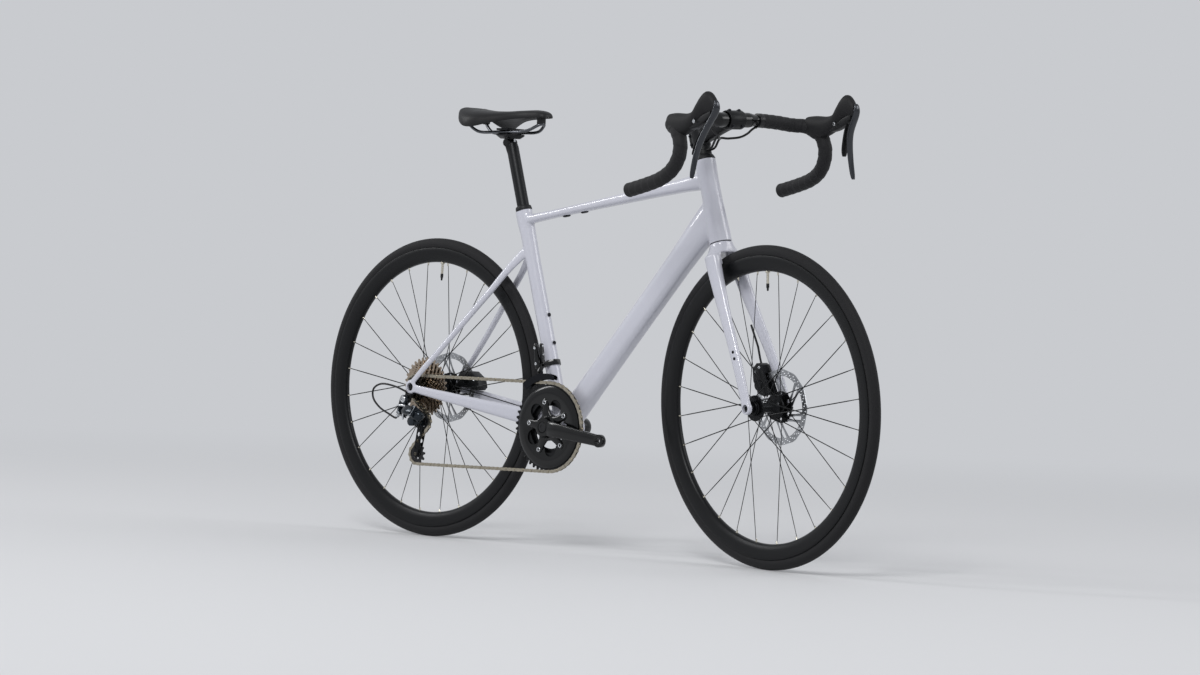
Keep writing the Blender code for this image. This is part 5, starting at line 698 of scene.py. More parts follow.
# Coated spoke steel: thin grey glints on black.
spoke_black = grained("black_coated_spoke_steel", "#131415", 0.30, 0.7, 500, 1, spread=(0.24, 0.38))
hub_profiles = {
    "front": mm(
        (9, -49.7), (9.5, -49), (10.5, -48.5), (10.5, -44), (15, -43.2), (15.6, -42.5), (15.6, -39.5),
        (13.8, -37.5), (15, -35.2), (26.2, -34.9), (27, -34.2), (27, -32.2), (26.2, -31.6), (17, -30.8),
        (12.5, -26), (11, -15), (10.7, -4), (10.9, 6), (13, 15), (17.5, 19.6), (26.2, 20.2), (27, 20.8),
        (27, 22.8), (26.2, 23.3), (18, 23.8), (17, 26), (17, 37), (16.8, 41), (15.8, 42.5), (12, 43.2),
        (10.5, 44), (10.5, 48.5), (9.5, 49), (9, 49.7),
    ),
    "rear": mm(
        (9, -70.7), (9.8, -70), (9.8, -22.5), (16.5, -22.2), (16.8, -21.2), (26.2, -20.8), (27, -20.2),
        (27, -18.8), (26.2, -18.2), (18, -17.2), (13.5, -12), (12, 0), (12.6, 15), (15, 24), (18, 30),
        (26.2, 30.6), (27, 31.2), (27, 32.8), (26.2, 33.4), (18, 34), (17, 36), (17, 50), (16.8, 53.6),
        (15.8, 55), (11.5, 55.8), (9.8, 57.5), (9.8, 70), (9, 70.7),
    ),
}
flange_sides = {"front": (-0.0330, 0.0215), "rear": (-0.0195, 0.0320)}
pair_count, hole_circle = spoke_count // 4, 0.0235
for name, (axle, stand, body) in wheel_places.items():
    hub = lathed(name + "_hub_shell", hub_profiles[name], 64)
    placed(smoothed(hub, 32), stand, frame_of(axle, SIDE, FRONT))
    finished(hub, body, "black_alloy", hub_black, name + "_hub")
    spokes = []
    for flange, side in enumerate(flange_sides[name]):
        for pair in range(pair_count):
            middle = tau * (pair + 0.5 * flange) / pair_count
            for way in (-1, 1):
                turn, aim = middle + way * tau / pair_count * 0.92, middle - way * tau / (2 * spoke_count)
                start = axle + Vector(
                    (cos(turn) * hole_circle, side + 0.0022 * way, sin(turn) * hole_circle)
                )
                lean = 0.0015 if side > 0 else -0.0015
                end = axle + Vector((cos(aim) * 0.2800, lean, sin(aim) * 0.2800))
                reach = (end - start).length
                butts = mm((0, 1, 1), (12, 1, 1), (30, 0.5, 1.15), (-30, 0.5, 1.15), (-14, 0.9, 0.9))
                stations = [(0, 0, at if at >= 0 else reach + at, wide, deep) for at, wide, deep in butts]
                stations.append((0, 0, reach, 0.0009, 0.0009))
                spoke = grown_bar("spoke", stations, 0.95, 1)
                spokes.append(placed(spoke, stand, frame_of(start, end - start, -SIDE)))
                rivet = lathed("spoke_head", mm((1.6, 0), (2, 0.4), (1.2, 1)), 10)
                face = side + (0.0017 if way > 0 else -0.0017)
                spot = axle + Vector((cos(turn) * hole_circle, face, sin(turn) * hole_circle))
                spokes.append(placed(rivet, stand, frame_of(spot, SIDE * way, FRONT)))
    laced = smoothed(joined(name + "_spokes", spokes), 50)
    finished(laced, body, "black_alloy", spoke_black)

# The disc rotors: a drilled braking band of ground stainless steel on twelve slim arms, riveted to a
# black aluminium carrier that a splined lock ring holds on the hub.
# Ground and rubbed by the pads, it is bright with fine streaks.
rotor_steel, tree, shader = new_material("ground_stainless_steel", "#A2A4A7", 0.26, 1.0)
where = add_node(tree, "TexCoord")
grain = add_node(tree, "TexNoise", Vector=where.outputs["Object"], Scale=260.0, Detail=6.0, Roughness=0.7)
spread = add_node(tree, "MapRange", Value=grain.outputs["Fac"], i3=0.16, i4=0.42)
tree.links.new(spread.outputs["Result"], shader.inputs["Roughness"])
skin = add_node(tree, "Bump", Height=grain.outputs["Fac"], Strength=0.10, Distance=0.0002)
tree.links.new(skin.outputs["Normal"], shader.inputs["Normal"])
rotor_sides = {"front": 0.0395, "rear": 0.0522}
outer_edge, wave_depth, hole_count = 0.0780, 0.0110, 84
for name, (axle, stand, body) in wheel_places.items():
    side_view = frame_of(axle + SIDE * rotor_sides[name], -SIDE, FRONT)
    band = lathed("rotor_band", mm((65.5, -0.9), (79.8, -0.9), (79.8, 0.9), (65.5, 0.9)), 96, hollow=True)
    for vertex in band.data.vertices:
        if hypot(vertex.co.x, vertex.co.y) > outer_edge:
            wave = 1 + wave_depth * (cos(12 * atan2(vertex.co.y, vertex.co.x)) - 1)
            vertex.co.x, vertex.co.y = vertex.co.x * wave, vertex.co.y * wave
    holes = []
    for index in range(hole_count):
        turn = tau * index / hole_count
        reach = (0.0682, 0.0719, 0.0754)[index % 3]
        spot = Vector((cos(turn) * reach, sin(turn) * reach, 0))
        holes.append(pin_between("hole", spot - UP * 0.003, spot + UP * 0.003, 0.0018, 8))
    bored(band, joined("holes", holes))
    arms = [band]
    for index in range(6):
        turn = tau * index / 6
        for root, lead in ((0.0, 0.62), (0.42, 0.86)):
            start = Vector((cos(turn + root) * 0.0290, sin(turn + root) * 0.0290, 0))
            aim = turn + lead
            run = Vector((cos(aim) * 0.0668, sin(aim) * 0.0668, 0)) - start
            reach = run.length
            stations = (
                (0, 0, 0, 0.0040, 0.0008), (0, 0, reach * 0.5, 0.0021, 0.0008),
                (0, 0, reach, 0.0038, 0.0008),
            )
            arm = grown_bar("rotor_arm", stations, 0.4, 1)
            arms.append(placed(arm, frame_of(start, run, Vector((-run.y, run.x, 0)))))
    disc = smoothed(joined(name + "_rotor_disc", arms), 30)
    placed(disc, stand, side_view)
    finished(disc, body, "bare_steel", rotor_steel, name + "_rotor")
    plate = mm((17.6, -1.6), (33, -1.2), (33.6, 0), (33, 1.2), (17.6, 1.6))
    parts = [lathed("carrier", plate, 48, hollow=True)]
    parts.append(pins_round("rivet", 6, 0, 0.0318, 0.0032, -0.0022, 0.0022, 12))
    bored(parts[0], pins_round("window", 6, 0.52, 0.0262, 0.0044, -0.004, 0.004, 12))
    ring = mm((10.6, -1.6), (10.6, -4.6), (18.2, -4.6), (19, -3.6), (19, -1.6))
    lock = lathed("lock_ring", ring, 48, hollow=True)
    bored(lock, pins_round("notch", 16, 0, 0.0193, 0.0014, -0.008, 0.004, 8))
    parts.append(lock)
    carrier = smoothed(joined(name + "_rotor_carrier", parts), 30)
    placed(carrier, stand, side_view)
    finished(carrier, body, "black_alloy", hub_black)


# The calipers: flat-mount bodies of cast aluminium in satin black, with a round piston cover and
# two body screws on each face.
def softened(node, name, width, angle=28, segments=2):
    """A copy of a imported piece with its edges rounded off."""
    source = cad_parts[node]
    piece = source.copy()
    piece.data = source.data.copy()
    bpy.context.collection.objects.link(piece)
    piece.name = name
    piece.data.materials.clear()
    piece.hide_set(False)
    piece.hide_render = False
    alone(piece)
    bpy.ops.object.mode_set(mode="EDIT")
    bpy.ops.mesh.select_all(action="SELECT")
    bpy.ops.mesh.remove_doubles(threshold=0.00002)
    bpy.ops.mesh.dissolve_limited(angle_limit=radians(1.5))
    bpy.ops.object.mode_set(mode="OBJECT")
    modified(
        piece, "BEVEL", width=width, segments=segments, limit_method="ANGLE", angle_limit=radians(angle),
        use_clamp_overlap=True,
    )
    return smoothed(piece, 38)


def rounded(node, name, width, body, slot, material):
    """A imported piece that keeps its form, with rounded edges and its real finish."""
    return finished(softened(node, name, width), body, slot, material, node)


# Cast and coated aluminium: satin, with a sandy grain of under 1 mm.
cast_black = grained(
    "satin_black_cast_aluminium", "#151618", 0.40, 0.45, 1200, 3, spread=(0.30, 0.50), bump=(0.10, 0.0003),
    Specular_IOR_Level=0.35,
)
# Polished steel: small sharp highlights.
bright_steel = grained("polished_screw_steel", "#C4C6C9", 0.20, 1.0, 900, 2, spread=(0.14, 0.30))

caliper_places = (
    (
        "front", front_axle, steered, "steering", head_front, (-0.0415, 0.0580),
        ((-0.0290, 0.0930), (-0.0440, 0.0880)),
    ),
    (
        "rear", rear_axle, standing, "main_frame", FRONT, (0.0650, 0.0180),
        ((0.0900, 0.0200), (0.0480, 0.0240)),
    ),
)
for name, axle, stand, body, forward, cover_place, bolt_places in caliper_places:
    shell = softened(name + "_caliper", name + "_caliper_body", 0.0028, segments=3)
    finished(shell, body, "black_alloy", cast_black, name + "_caliper")
    side_view = frame_of(axle + SIDE * rotor_sides[name], -SIDE, forward)
    covers, screws = [], []
    for way in (-1, 1):
        outward = Matrix() if way > 0 else Matrix.Rotation(pi, 4, "X")
        face = Matrix.Translation((*cover_place, 0.0140 * way)) @ outward
        cover_profile = mm((12, 0), (12, 1), (11.2, 1.7), (8.5, 1.7), (8, 1.2), (2, 1.2))
        covers.append(placed(lathed("piston_cover", cover_profile, 32), stand, side_view, face))
        for x, y in bolt_places:
            face = Matrix.Translation((x, y, 0.0142 * way)) @ outward
            screws.append(placed(button_screw("caliper_screw", 0.0034, 0.0018), stand, side_view, face))
    grouped(name + "_piston_covers", covers, body, "black_alloy", hub_black)
    grouped(name + "_caliper_screws", screws, body, "bare_steel", bright_steel)

# Brake pads, through axles and bottom bracket cups are plain small pieces mostly hidden inside the
# others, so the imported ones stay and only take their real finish.
for node, finish in (
    ("front_pad_inner", rotor_steel),
    ("front_pad_outer", rotor_steel),
    ("rear_pad_inner", rotor_steel),
    ("rear_pad_outer", rotor_steel),
    ("front_thru_axle", hub_black),
    ("rear_thru_axle", hub_black),
    ("bb_cup_right", hub_black),
    ("bb_cup_left", hub_black),
):
    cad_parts[node].data.materials.clear()
    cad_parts[node].data.materials.append(finish)

# The run of the chain: 110 half-inch links from the 48-tooth ring over the third cog, the guide
# pulley and the tension pulley. The cage's swing takes up what is left, and the first roller on
# each sprocket sets where its teeth lie.
pitch, link_count = 0.0127, 110
ring_teeth, small_ring_teeth, pulley_teeth = 48, 34, 11
ring_line, small_ring_line = 0.0471, 0.0399
cog_teeth = (11, 12, 13, 14, 16, 18, 20, 22, 25, 28, 32)
middle_line, cog_pitch = 0.0450, 0.00374
cog_lines = [middle_line + (5 - index) * cog_pitch for index in range(len(cog_teeth))]
chain_cog, cage_reach = 2, 0.0760
guide_middle = rear_axle + Vector((0.0260, -cog_lines[chain_cog], -0.0765))


def pitch_radius(teeth):
    """The circle that the chain's pins follow round so many teeth."""
    return pitch / (2 * sin(pi / teeth))


def chain_spans(cage_turn):
    """The chain's wraps and straight runs, each with its length in links."""
    tension_middle = guide_middle + Vector((sin(cage_turn), 0, -cos(cage_turn))) * cage_reach
    cog_size = cog_teeth[chain_cog]
    stops = (
        (bracket - SIDE * ring_line, pitch_radius(ring_teeth)),
        (rear_axle - SIDE * cog_lines[chain_cog], pitch_radius(cog_size)),
        (guide_middle, -pitch_radius(pulley_teeth)),
        (tension_middle, pitch_radius(pulley_teeth)),
    )
    onward = stops[1:] + stops[:1]
    headings = []
    for (centre, radius), (after, after_radius) in zip(stops, onward):
        offset = after - centre
        headings.append(
            atan2(offset.z, offset.x) + asin((radius - after_radius) / hypot(offset.x, offset.z))
        )
    spans = []
    sizes = (ring_teeth, cog_size, pulley_teeth, pulley_teeth)
    for index, teeth in enumerate(sizes):
        (centre, radius), (after, after_radius) = stops[index], onward[index]
        arrive, leave = headings[index - 1], headings[index]
        turn = (leave - arrive) % tau if radius > 0 else -((arrive - leave) % tau)
        spans.append(("wrap", abs(turn) * teeth / tau, centre, radius, arrive, turn))
        aside = Vector((sin(leave), 0, -cos(leave)))
        start, end = centre + aside * radius, after + aside * after_radius
        spans.append(("run", hypot(end.x - start.x, end.z - start.z) / pitch, start, end, leave, 0.0))
    return spans, tension_middle


low, high = radians(-60), radians(60)
for step in range(50):
    cage_turn = (low + high) / 2
    if sum(span[1] for span in chain_spans(cage_turn)[0]) > link_count:
        low = cage_turn
    else:
        high = cage_turn
cage_turn = low
spans, tension_middle = chain_spans(cage_turn)
rollers, phases, covered = [], [], 0.0
for kind, links, first, second, heading, turn in spans:
    begun = len(rollers)
    while len(rollers) < link_count and len(rollers) < covered + links - 0.000001:
        share = (len(rollers) - covered) / links
        if kind == "wrap":
            now = heading + turn * share
            rollers.append(first + Vector((sin(now), 0, -cos(now))) * second)
        else:
            spot = first.lerp(second, share)
            spot.y = first.y + (second.y - first.y) * min(max((share - 0.2) / 0.6, 0.0), 1.0)
            rollers.append(spot)
    if kind == "wrap":
        offset = rollers[begun] - first
        phases.append(atan2(offset.z, offset.x))
    covered += links


# The chainrings: a 48-tooth outer ring with a hollow-formed gloss black shell, and a 34-tooth
# inner one, both of aluminium plate with the teeth left in a darker satin finish.
def toothed(name, teeth, thickness, phase, hole):
    """A sprocket blank with a gap between its teeth at the phase angle, bored in the middle."""
    bpy.ops.object.select_all(action="DESELECT")
    bpy.ops.mesh.primitive_circle_add(vertices=teeth * 8, radius=pitch_radius(teeth), fill_type="NGON")
    blank = bpy.context.object
    blank.name = name
    for vertex in blank.data.vertices:
        turn = atan2(vertex.co.y, vertex.co.x)
        share = ((turn - phase) * teeth / tau) % 1.0
        reach = min(max((0.74 - abs(share - 0.5) * 2) / 0.50, 0.0), 1.0)
        radius = pitch_radius(teeth) - 0.0040 + 0.0066 * reach * reach * (3 - 2 * reach)
        vertex.co.x, vertex.co.y = cos(turn) * radius, sin(turn) * radius
    bpy.ops.object.mode_set(mode="EDIT")
    bpy.ops.mesh.select_all(action="SELECT")
    bpy.ops.transform.translate(value=(0, 0, -thickness / 2))
    bpy.ops.mesh.extrude_region_move(TRANSFORM_OT_translate={"value": (0, 0, thickness)})
    closed_up()
    return bored(blank, pin_between("hole", (0, 0, -0.01), (0, 0, 0.01), hole, 48))


# Polished and anodised forging: near black, with sharp highlights on a thin clear coat.
crank_gloss, tree, shader = new_material(
    "gloss_black_anodised_forging", "#08090A", 0.13, 0.30, Coat_Weight=0.25, Coat_Roughness=0.06,
    Specular_IOR_Level=0.35,
)
where = add_node(tree, "TexCoord")
cloud = add_node(tree, "TexNoise", Vector=where.outputs["Object"], Scale=45.0, Detail=2.0)
grain = add_node(tree, "TexNoise", Vector=where.outputs["Object"], Scale=900.0, Detail=2.0)
spread = add_node(tree, "MapRange", Value=cloud.outputs["Fac"], i3=0.12, i4=0.22)
tree.links.new(spread.outputs["Result"], shader.inputs["Roughness"])
skin = add_node(tree, "Bump", Height=grain.outputs["Fac"], Strength=0.03, Distance=0.0002)
tree.links.new(skin.outputs["Normal"], shader.inputs["Normal"])
# Anodised plate: dark satin, worn a little lighter in patches.
ring_black = grained("black_chainring_alloy", "#17181A", 0.32, 0.70, 380, 3, spread=(0.26, 0.46))

crank_turn = radians(-7.1)
arm_line = Vector((cos(crank_turn), 0, sin(crank_turn)))
bolt_turns = [crank_turn + pi + radians(72) * index for index in range(5)]
ring_view = frame_of(bracket - SIDE * ring_line, -SIDE, FRONT)
big_ring = toothed("big_ring", ring_teeth, 0.0020, phases[0], 0.0560)
big_ring = smoothed(placed(big_ring, standing, ring_view), 25)
finished(big_ring, "crankset", "black_alloy", ring_black, "ring_outer")
shell_profile = mm(
    (47, 0.6), (47, 1.6), (48.2, 3), (56, 3.8), (70, 4.8), (81, 5), (87, 4.2), (89.6, 2.6), (90.2, 1),
    (89, 0.2), (60, 0),
)
shell = lathed("ring_shell", shell_profile, 120, hollow=True)
bored(shell, pins_round("scallop", 5, crank_turn + pi + radians(36), 0.0480, 0.0170, -0.01, 0.01, 32))
shell = smoothed(placed(shell, standing, ring_view), 30)
finished(shell, "crankset", "crank_black", crank_gloss)
small_ring = toothed("small_ring", small_ring_teeth, 0.0020, phases[0], 0.0470)
small_ring = smoothed(
    placed(small_ring, standing, frame_of(bracket - SIDE * small_ring_line, -SIDE, FRONT)), 25
)
finished(small_ring, "crankset", "black_alloy", ring_black, "ring_inner")

# The right crank: a hollow forging with a five-armed spider, bolted to both rings, its arm
# running out to the pedal's eye. The left arm is clamped on the spindle by two pinch bolts.
right_view = frame_of(bracket, -SIDE, arm_line)
crank_length = 0.1700
arm_stations = eased(mm(
    (0, 0, 60, 17.8, 5.5), (30, 0, 65.2, 16.5, 6.4), (70, 0, 66.4, 15, 6.5), (110, 0, 66.7, 13.8, 6.4),
    (150, 0, 66.8, 12.8, 6.2), (171, 0, 66.8, 12.4, 6.1),
))


def crank_arm(name):
    """The arm along X from the boss to the bored pedal eye, with its face towards Z."""
    stations = [(z, y, x, deep, wide) for x, y, z, wide, deep in arm_stations]
    arm = grown_bar(name, stations, 0.62, 6)
    placed(arm, Matrix(((0, 0, 1, 0), (0, 1, 0, 0), (1, 0, 0, 0), (0, 0, 0, 1))))
    alone(arm)
    bpy.ops.object.mode_set(mode="EDIT")
    closed_up()
    eye_profile = mm(
        (10.5, 60.2), (13.2, 60.6), (14, 61.6), (14, 71.8), (13.4, 72.8), (11.8, 73.2), (10, 72.8)
    )
    eye = placed(lathed("eye", eye_profile, 40), Matrix.Translation((crank_length, 0, 0)))
    bored(arm, pin_between("eye_room", (crank_length, 0, 0.05), (crank_length, 0, 0.08), 0.0120, 40))
    whole = joined(name, [arm, eye])
    return bored(whole, pin_between("thread", (crank_length, 0, 0.05), (crank_length, 0, 0.08), 0.0066, 32))


pieces = [crank_arm("right_arm")]
boss_profile = mm(
    (25.8, 40), (30, 45), (30, 50.5), (26.2, 53.5), (23.2, 57.5), (21.7, 62), (21.1, 66.8), (20, 68.4),
    (16, 69), (12.5, 68.8), (11.8, 67.2), (10, 67),
)
pieces.append(lathed("boss", boss_profile, 56))
for turn in bolt_turns:
    aim = turn - crank_turn
    along = Vector((cos(aim), sin(aim), 0))
    stations = mm(
        (0, 0, 20, 16.5, 4), (0, 0, 30, 11.8, 4.2), (0, 0, 42, 8.8, 3.8), (0, 0, 54, 8.2, 3.2),
        (0, 0, 60.5, 6.6, 2.6), (0, 0, 63, 4, 1.8),
    )
    spoke_arm = grown_bar("spider_arm", eased(stations, 2), 0.7, 4)
    across = Vector((-along.y, along.x, 0))
    pieces.append(placed(spoke_arm, frame_of(Vector((0, 0, 0.0505)), along, across)))
right_crank = joined("right_crank", pieces)
placed(right_crank, standing, right_view)
right_crank = smoothed(right_crank, 40)
spindle = pin_between("spindle", bracket - SIDE * 0.0440, bracket + SIDE * 0.0618, 0.0119, 32)
placed(spindle, standing)
right_crank = joined("right_crank", [right_crank, spindle])
finished(right_crank, "crankset", "crank_black", crank_gloss, "crank_right")
left_view = frame_of(bracket, SIDE, -arm_line)
left_boss = mm(
    (12.1, 45.8), (19.6, 45.8), (20.6, 46.8), (21.1, 56), (20.8, 66.4), (19.6, 68.2), (12.1, 68.4)
)
left_arm = crank_arm("left_arm")
bored(left_arm, pin_between("spindle_room", (0, 0, 0.03), (0, 0, 0.09), 0.0140, 40))
left_crank = joined("left_crank", [left_arm, lathed("boss", left_boss, 48, hollow=True)])
left_crank = smoothed(placed(left_crank, standing, left_view), 40)
finished(left_crank, "crankset", "crank_black", crank_gloss, "crank_left")

# The cranks' small pieces: silver-rimmed ring bolts with dark sockets, the polished edge on the
# arm's spider end, the preload cap and the left arm's pinch bolts.
collars, centres = [], []
for turn in bolt_turns:
    spot = Matrix.Translation((cos(turn - crank_turn) * 0.0550, sin(turn - crank_turn) * 0.0550, 0.0530))
    collar = lathed(
        "bolt_collar", mm((2.8, 0), (5, 0), (5, 1), (4.4, 1.6), (3.2, 1.6), (2.8, 1.2)), 28, hollow=True
    )
    collars.append(placed(collar, standing, right_view, spot))
    centre = lathed("bolt_centre", mm((2.9, 0), (2.9, 0.9), (1.2, 0.6)), 12)
    centres.append(placed(centre, standing, right_view, spot))
grouped("ring_bolts", collars, "crankset", "bare_steel", bright_steel)
cap = lathed(
    "preload_cap", mm((11.2, 66.8), (11.2, 68.6), (10.4, 69.6), (6, 69.8), (5.2, 68.8), (3, 68.8)), 32
)
centres.append(placed(cap, standing, right_view))
left_cap = lathed(
    "left_cap", mm((11.6, 62), (11.6, 67.2), (10.6, 68.4), (6.2, 68.6), (5.4, 67.2), (3, 67.2)), 32
)
centres.append(placed(left_cap, standing, left_view))
grouped("crank_caps", centres, "crankset", "black_plastic", black_satin)
edge_stations = mm((0, 0, 0, 0.6, 0.4), (0.2, 0, 12, 1.1, 0.6), (0, 0, 34, 0.5, 0.3))
edge = grown_bar("polished_edge", edge_stations, 0.8, 3)
placed(
    edge,
    standing,
    right_view,
    frame_of(Vector((-0.0230, 0.0128, 0.0600)), Vector((1, -0.05, 0.16)), Vector((0, 1, 0))),
)
finished(smoothed(edge, 40), "crankset", "bare_steel", bright_steel)
pinch = []
for x in (0.0060, 0.0150):
    spot = Vector((x, 0.0206, 0.0600))
    pinch.append(placed(
        button_screw("pinch_screw", 0.0036, 0.0024), standing, left_view,
        frame_of(spot, Vector((0, 1, 0)), Vector((1, 0, 0))),
    ))
grouped("pinch_screws", pinch, "crankset", "black_alloy", screw_black)

# The cassette: eleven cogs with 11 to 32 teeth. The four smallest are dark plated steel, the
# larger ones carry a warm bronze-coloured coat, and open windows lighten them round the hub.
# The coat gives a warm grey, mottled every 3 mm where the chain rubs.
bronze, tree, shader = new_material("bronze_coated_steel", "#A0958A", 0.28, 1.0)
where = add_node(tree, "TexCoord")
wear = add_node(tree, "TexNoise", Vector=where.outputs["Object"], Scale=320.0, Detail=3.0)
tone = add_node(tree, "ValToRGB", Fac=wear.outputs["Fac"])
tone.color_ramp.elements[0].position, tone.color_ramp.elements[1].position = 0.15, 0.85
tone.color_ramp.elements[0].color = linear("#877B6E")
tone.color_ramp.elements[1].color = linear("#B5A797")
tree.links.new(tone.outputs["Color"], shader.inputs["Base Color"])
spread = add_node(tree, "MapRange", Value=wear.outputs["Fac"], i3=0.20, i4=0.40)
tree.links.new(spread.outputs["Result"], shader.inputs["Roughness"])
# Plated steel: darker than the bronze coat, with the same wear.
cog_dark = grained("dark_plated_steel", "#57534B", 0.30, 1.0, 400, 3, spread=(0.22, 0.42))
small_cogs, large_cogs = [], []
for index, teeth in enumerate(cog_teeth):
    radius = pitch_radius(teeth)
    cog = toothed("cog", teeth, 0.0017, phases[1], 0.0160)
    if teeth > 15:
        count = 6 if teeth < 24 else 9
        rim, hub = radius - 0.0055, 0.0185
        size = (rim - hub) / 2 * 0.78
        bored(cog, pins_round("window", count, index * 0.3, (rim + hub) / 2, size, -0.01, 0.01, 10))
    placed(cog, standing, frame_of(rear_axle - SIDE * cog_lines[index], -SIDE, FRONT))
    (large_cogs if index > 3 else small_cogs).append(smoothed(cog, 25))
finished(joined("large_cogs", large_cogs), "cassette_body", "bronze_steel", bronze, "cassette")
finished(joined("small_cogs", small_cogs), "cassette_body", "bronze_steel", cog_dark)
freehub_profile = mm((10, 24.3), (17.2, 24.3))
for line in reversed(cog_lines):
    freehub_profile += [
        (0.0172, line - 0.0010), (0.0186, line - 0.0010), (0.0186, line + 0.0010), (0.0172, line + 0.0010)
    ]
freehub_profile += mm((17.2, 65.2), (16.4, 66), (16, 67.2), (12.2, 67.4), (11.8, 66.2), (10, 66.2))
freehub = smoothed(lathed("freehub_and_lock_ring", freehub_profile, 40, hollow=True), 30)
placed(freehub, standing, frame_of(rear_axle, -SIDE, FRONT))
finished(freehub, "cassette_body", "black_alloy", hub_black)

# The chain: 110 links of plated steel, pairs of waisted outer plates over pairs of inner ones on
# rollers, with the riveted pin ends showing on both sides.
# Nickel plate: warm silver, dulled by oil in patches.
chain_silver, tree, shader = new_material("nickel_plated_chain_steel", "#4E4B47", 0.30, 1.0)
where = add_node(tree, "TexCoord")
wear = add_node(tree, "TexNoise", Vector=where.outputs["Object"], Scale=420.0, Detail=3.0)
tone = add_node(tree, "ValToRGB", Fac=wear.outputs["Fac"])
tone.color_ramp.elements[0].position, tone.color_ramp.elements[1].position = 0.15, 0.85
tone.color_ramp.elements[0].color = linear("#8C8679")
tone.color_ramp.elements[1].color = linear("#B5AE9F")
tree.links.new(tone.outputs["Color"], shader.inputs["Base Color"])
spread = add_node(tree, "MapRange", Value=wear.outputs["Fac"], i3=0.22, i4=0.40)
tree.links.new(spread.outputs["Result"], shader.inputs["Roughness"])


def side_plate(low, high, half_height):
    """One waisted plate from pin to pin along X, between two distances along Z."""
    bpy.ops.object.select_all(action="DESELECT")
    bpy.ops.mesh.primitive_circle_add(vertices=14, radius=half_height, fill_type="NGON")
    piece = bpy.context.object
    for vertex in piece.data.vertices:
        if abs(vertex.co.x) < half_height * 0.3:
            vertex.co.x += pitch / 2
            vertex.co.y *= 0.72
        elif vertex.co.x > 0:
            vertex.co.x += pitch
        vertex.co.z = low
    bpy.ops.object.mode_set(mode="EDIT")
    bpy.ops.mesh.select_all(action="SELECT")
    bpy.ops.mesh.extrude_region_move(TRANSFORM_OT_translate={"value": (0, 0, high - low)})
    closed_up()
    return piece


wide_link = joined("wide_link", [side_plate(0.0020, 0.0027, 0.0041), side_plate(-0.0027, -0.0020, 0.0041)])
slim_link = joined("slim_link", [side_plate(0.0012, 0.0019, 0.0041), side_plate(-0.0019, -0.0012, 0.0041)])
pin = joined(
    "pin",
    [
        pin_between("rivet", (0, 0, -0.0031), (0, 0, 0.0031), 0.0017, 8),
        pin_between("roller", (0, 0, -0.0012), (0, 0, 0.0012), 0.0034, 10),
    ],
)
links = []
for index, spot in enumerate(rollers):
    onward = rollers[(index + 1) % link_count] - spot
    place = frame_of(spot, onward.cross(Vector((-onward.z, 0, onward.x))), onward)
    links.append(copied(wide_link if index % 2 else slim_link, "link", standing, place))
    links.append(copied(pin, "pin", standing, place))
for used in (wide_link, slim_link, pin):
    bpy.data.objects.remove(used)
grouped("chain_links", links, "main_frame", "chain_steel", chain_silver, "chain")

# The rear derailleur: a slanted parallelogram in gloss blue-black forged aluminium between two
# knuckles, a bright hanger bolt and adjuster, and a long black cage with two toothed pulleys.
# Anodised and lacquered: blue-black, with sharp highlights.
derailleur_gloss = grained(
    "gloss_blue_black_forged_aluminium", "#141D25", 0.14, 0.75, 220, 2, spread=(0.12, 0.24),
    Coat_Weight=0.35, Coat_Roughness=0.06,
)
slant, tilt = radians(27.4), radians(10.0)
inward = Vector((0, cos(slant), -sin(slant)))
square = Vector((0, sin(slant), cos(slant)))
ahead = FRONT * cos(tilt) - square * sin(tilt)
pin_line = ahead.cross(inward)
swing = radians(-15.2)
link_line = ahead * cos(swing) + inward * sin(swing)
base_middle = rear_axle + Vector((-0.014, -0.078, -0.055))
far_middle = base_middle + link_line * 0.048
pin_offset = 0.0075

rounded("derailleur_hanger", "hanger_plate", 0.0007, "main_frame", "black_alloy", cast_black)
rounded("rd_b_knuckle", "base_knuckle", 0.0012, "rd_base", "crank_black", derailleur_gloss)
out = Vector((0, -1, 0))
bolt_spot = rear_axle + Vector((-0.008, -0.0890, -0.028))
bolt = lathed("hanger_bolt", mm((7.8, 0), (7.8, 1.2), (6.6, 2.2), (3.4, 2.4), (3, 1), (1.2, 1)), 32)
placed(bolt, standing, frame_of(bolt_spot, out, FRONT))
finished(smoothed(bolt, 30), "rd_base", "bare_steel", bright_steel)
adjuster_foot = base_middle - SIDE * 0.0040
adjuster_way = Vector((-cos(radians(35)), 0, -sin(radians(35))))
barrel_profile = [(0.0033, 0.0110)]
for step in range(5):
    low = 0.0118 + step * 0.0020
    barrel_profile += [
        (0.0043, low), (0.0043, low + 0.0012), (0.0036, low + 0.0014), (0.0036, low + 0.0018)
    ]
barrel_profile += mm((3.8, 22.2), (3, 22.9))
barrel = placed(
    lathed("adjuster_barrel", barrel_profile, 24), standing, frame_of(adjuster_foot, adjuster_way, SIDE)
)
finished(smoothed(barrel, 30), "rd_base", "bare_steel", bright_steel)

bulge = eased(mm(
    (0, 0, -3.5, 3.6, 6.8), (0, 0, 3, 4.3, 7.9), (0, -0.8, 10, 5.2, 9.6), (0, -1.8, 19, 6.2, 11.2),
    (0, -2, 28, 6.4, 11.4), (0, -1.4, 37, 5.6, 10), (0, -0.6, 44, 4.7, 8.2), (0, 0, 50.5, 3.7, 6.8),
))
stations = [(y, x, z, wide, deep) for x, y, z, wide, deep in bulge]
outer_link = grown_bar("outer_link", stations, 0.85, 7)
placed(outer_link, standing, frame_of(base_middle - inward * pin_offset, link_line, inward))
finished(smoothed(outer_link, 50), "rd_outer", "crank_black", derailleur_gloss, "rd_outer_link")
rounded("rd_inner_link", "inner_link", 0.0012, "rd_inner", "crank_black", derailleur_gloss)
rounded("rd_p_knuckle", "far_knuckle", 0.0014, "rd_far", "crank_black", derailleur_gloss)
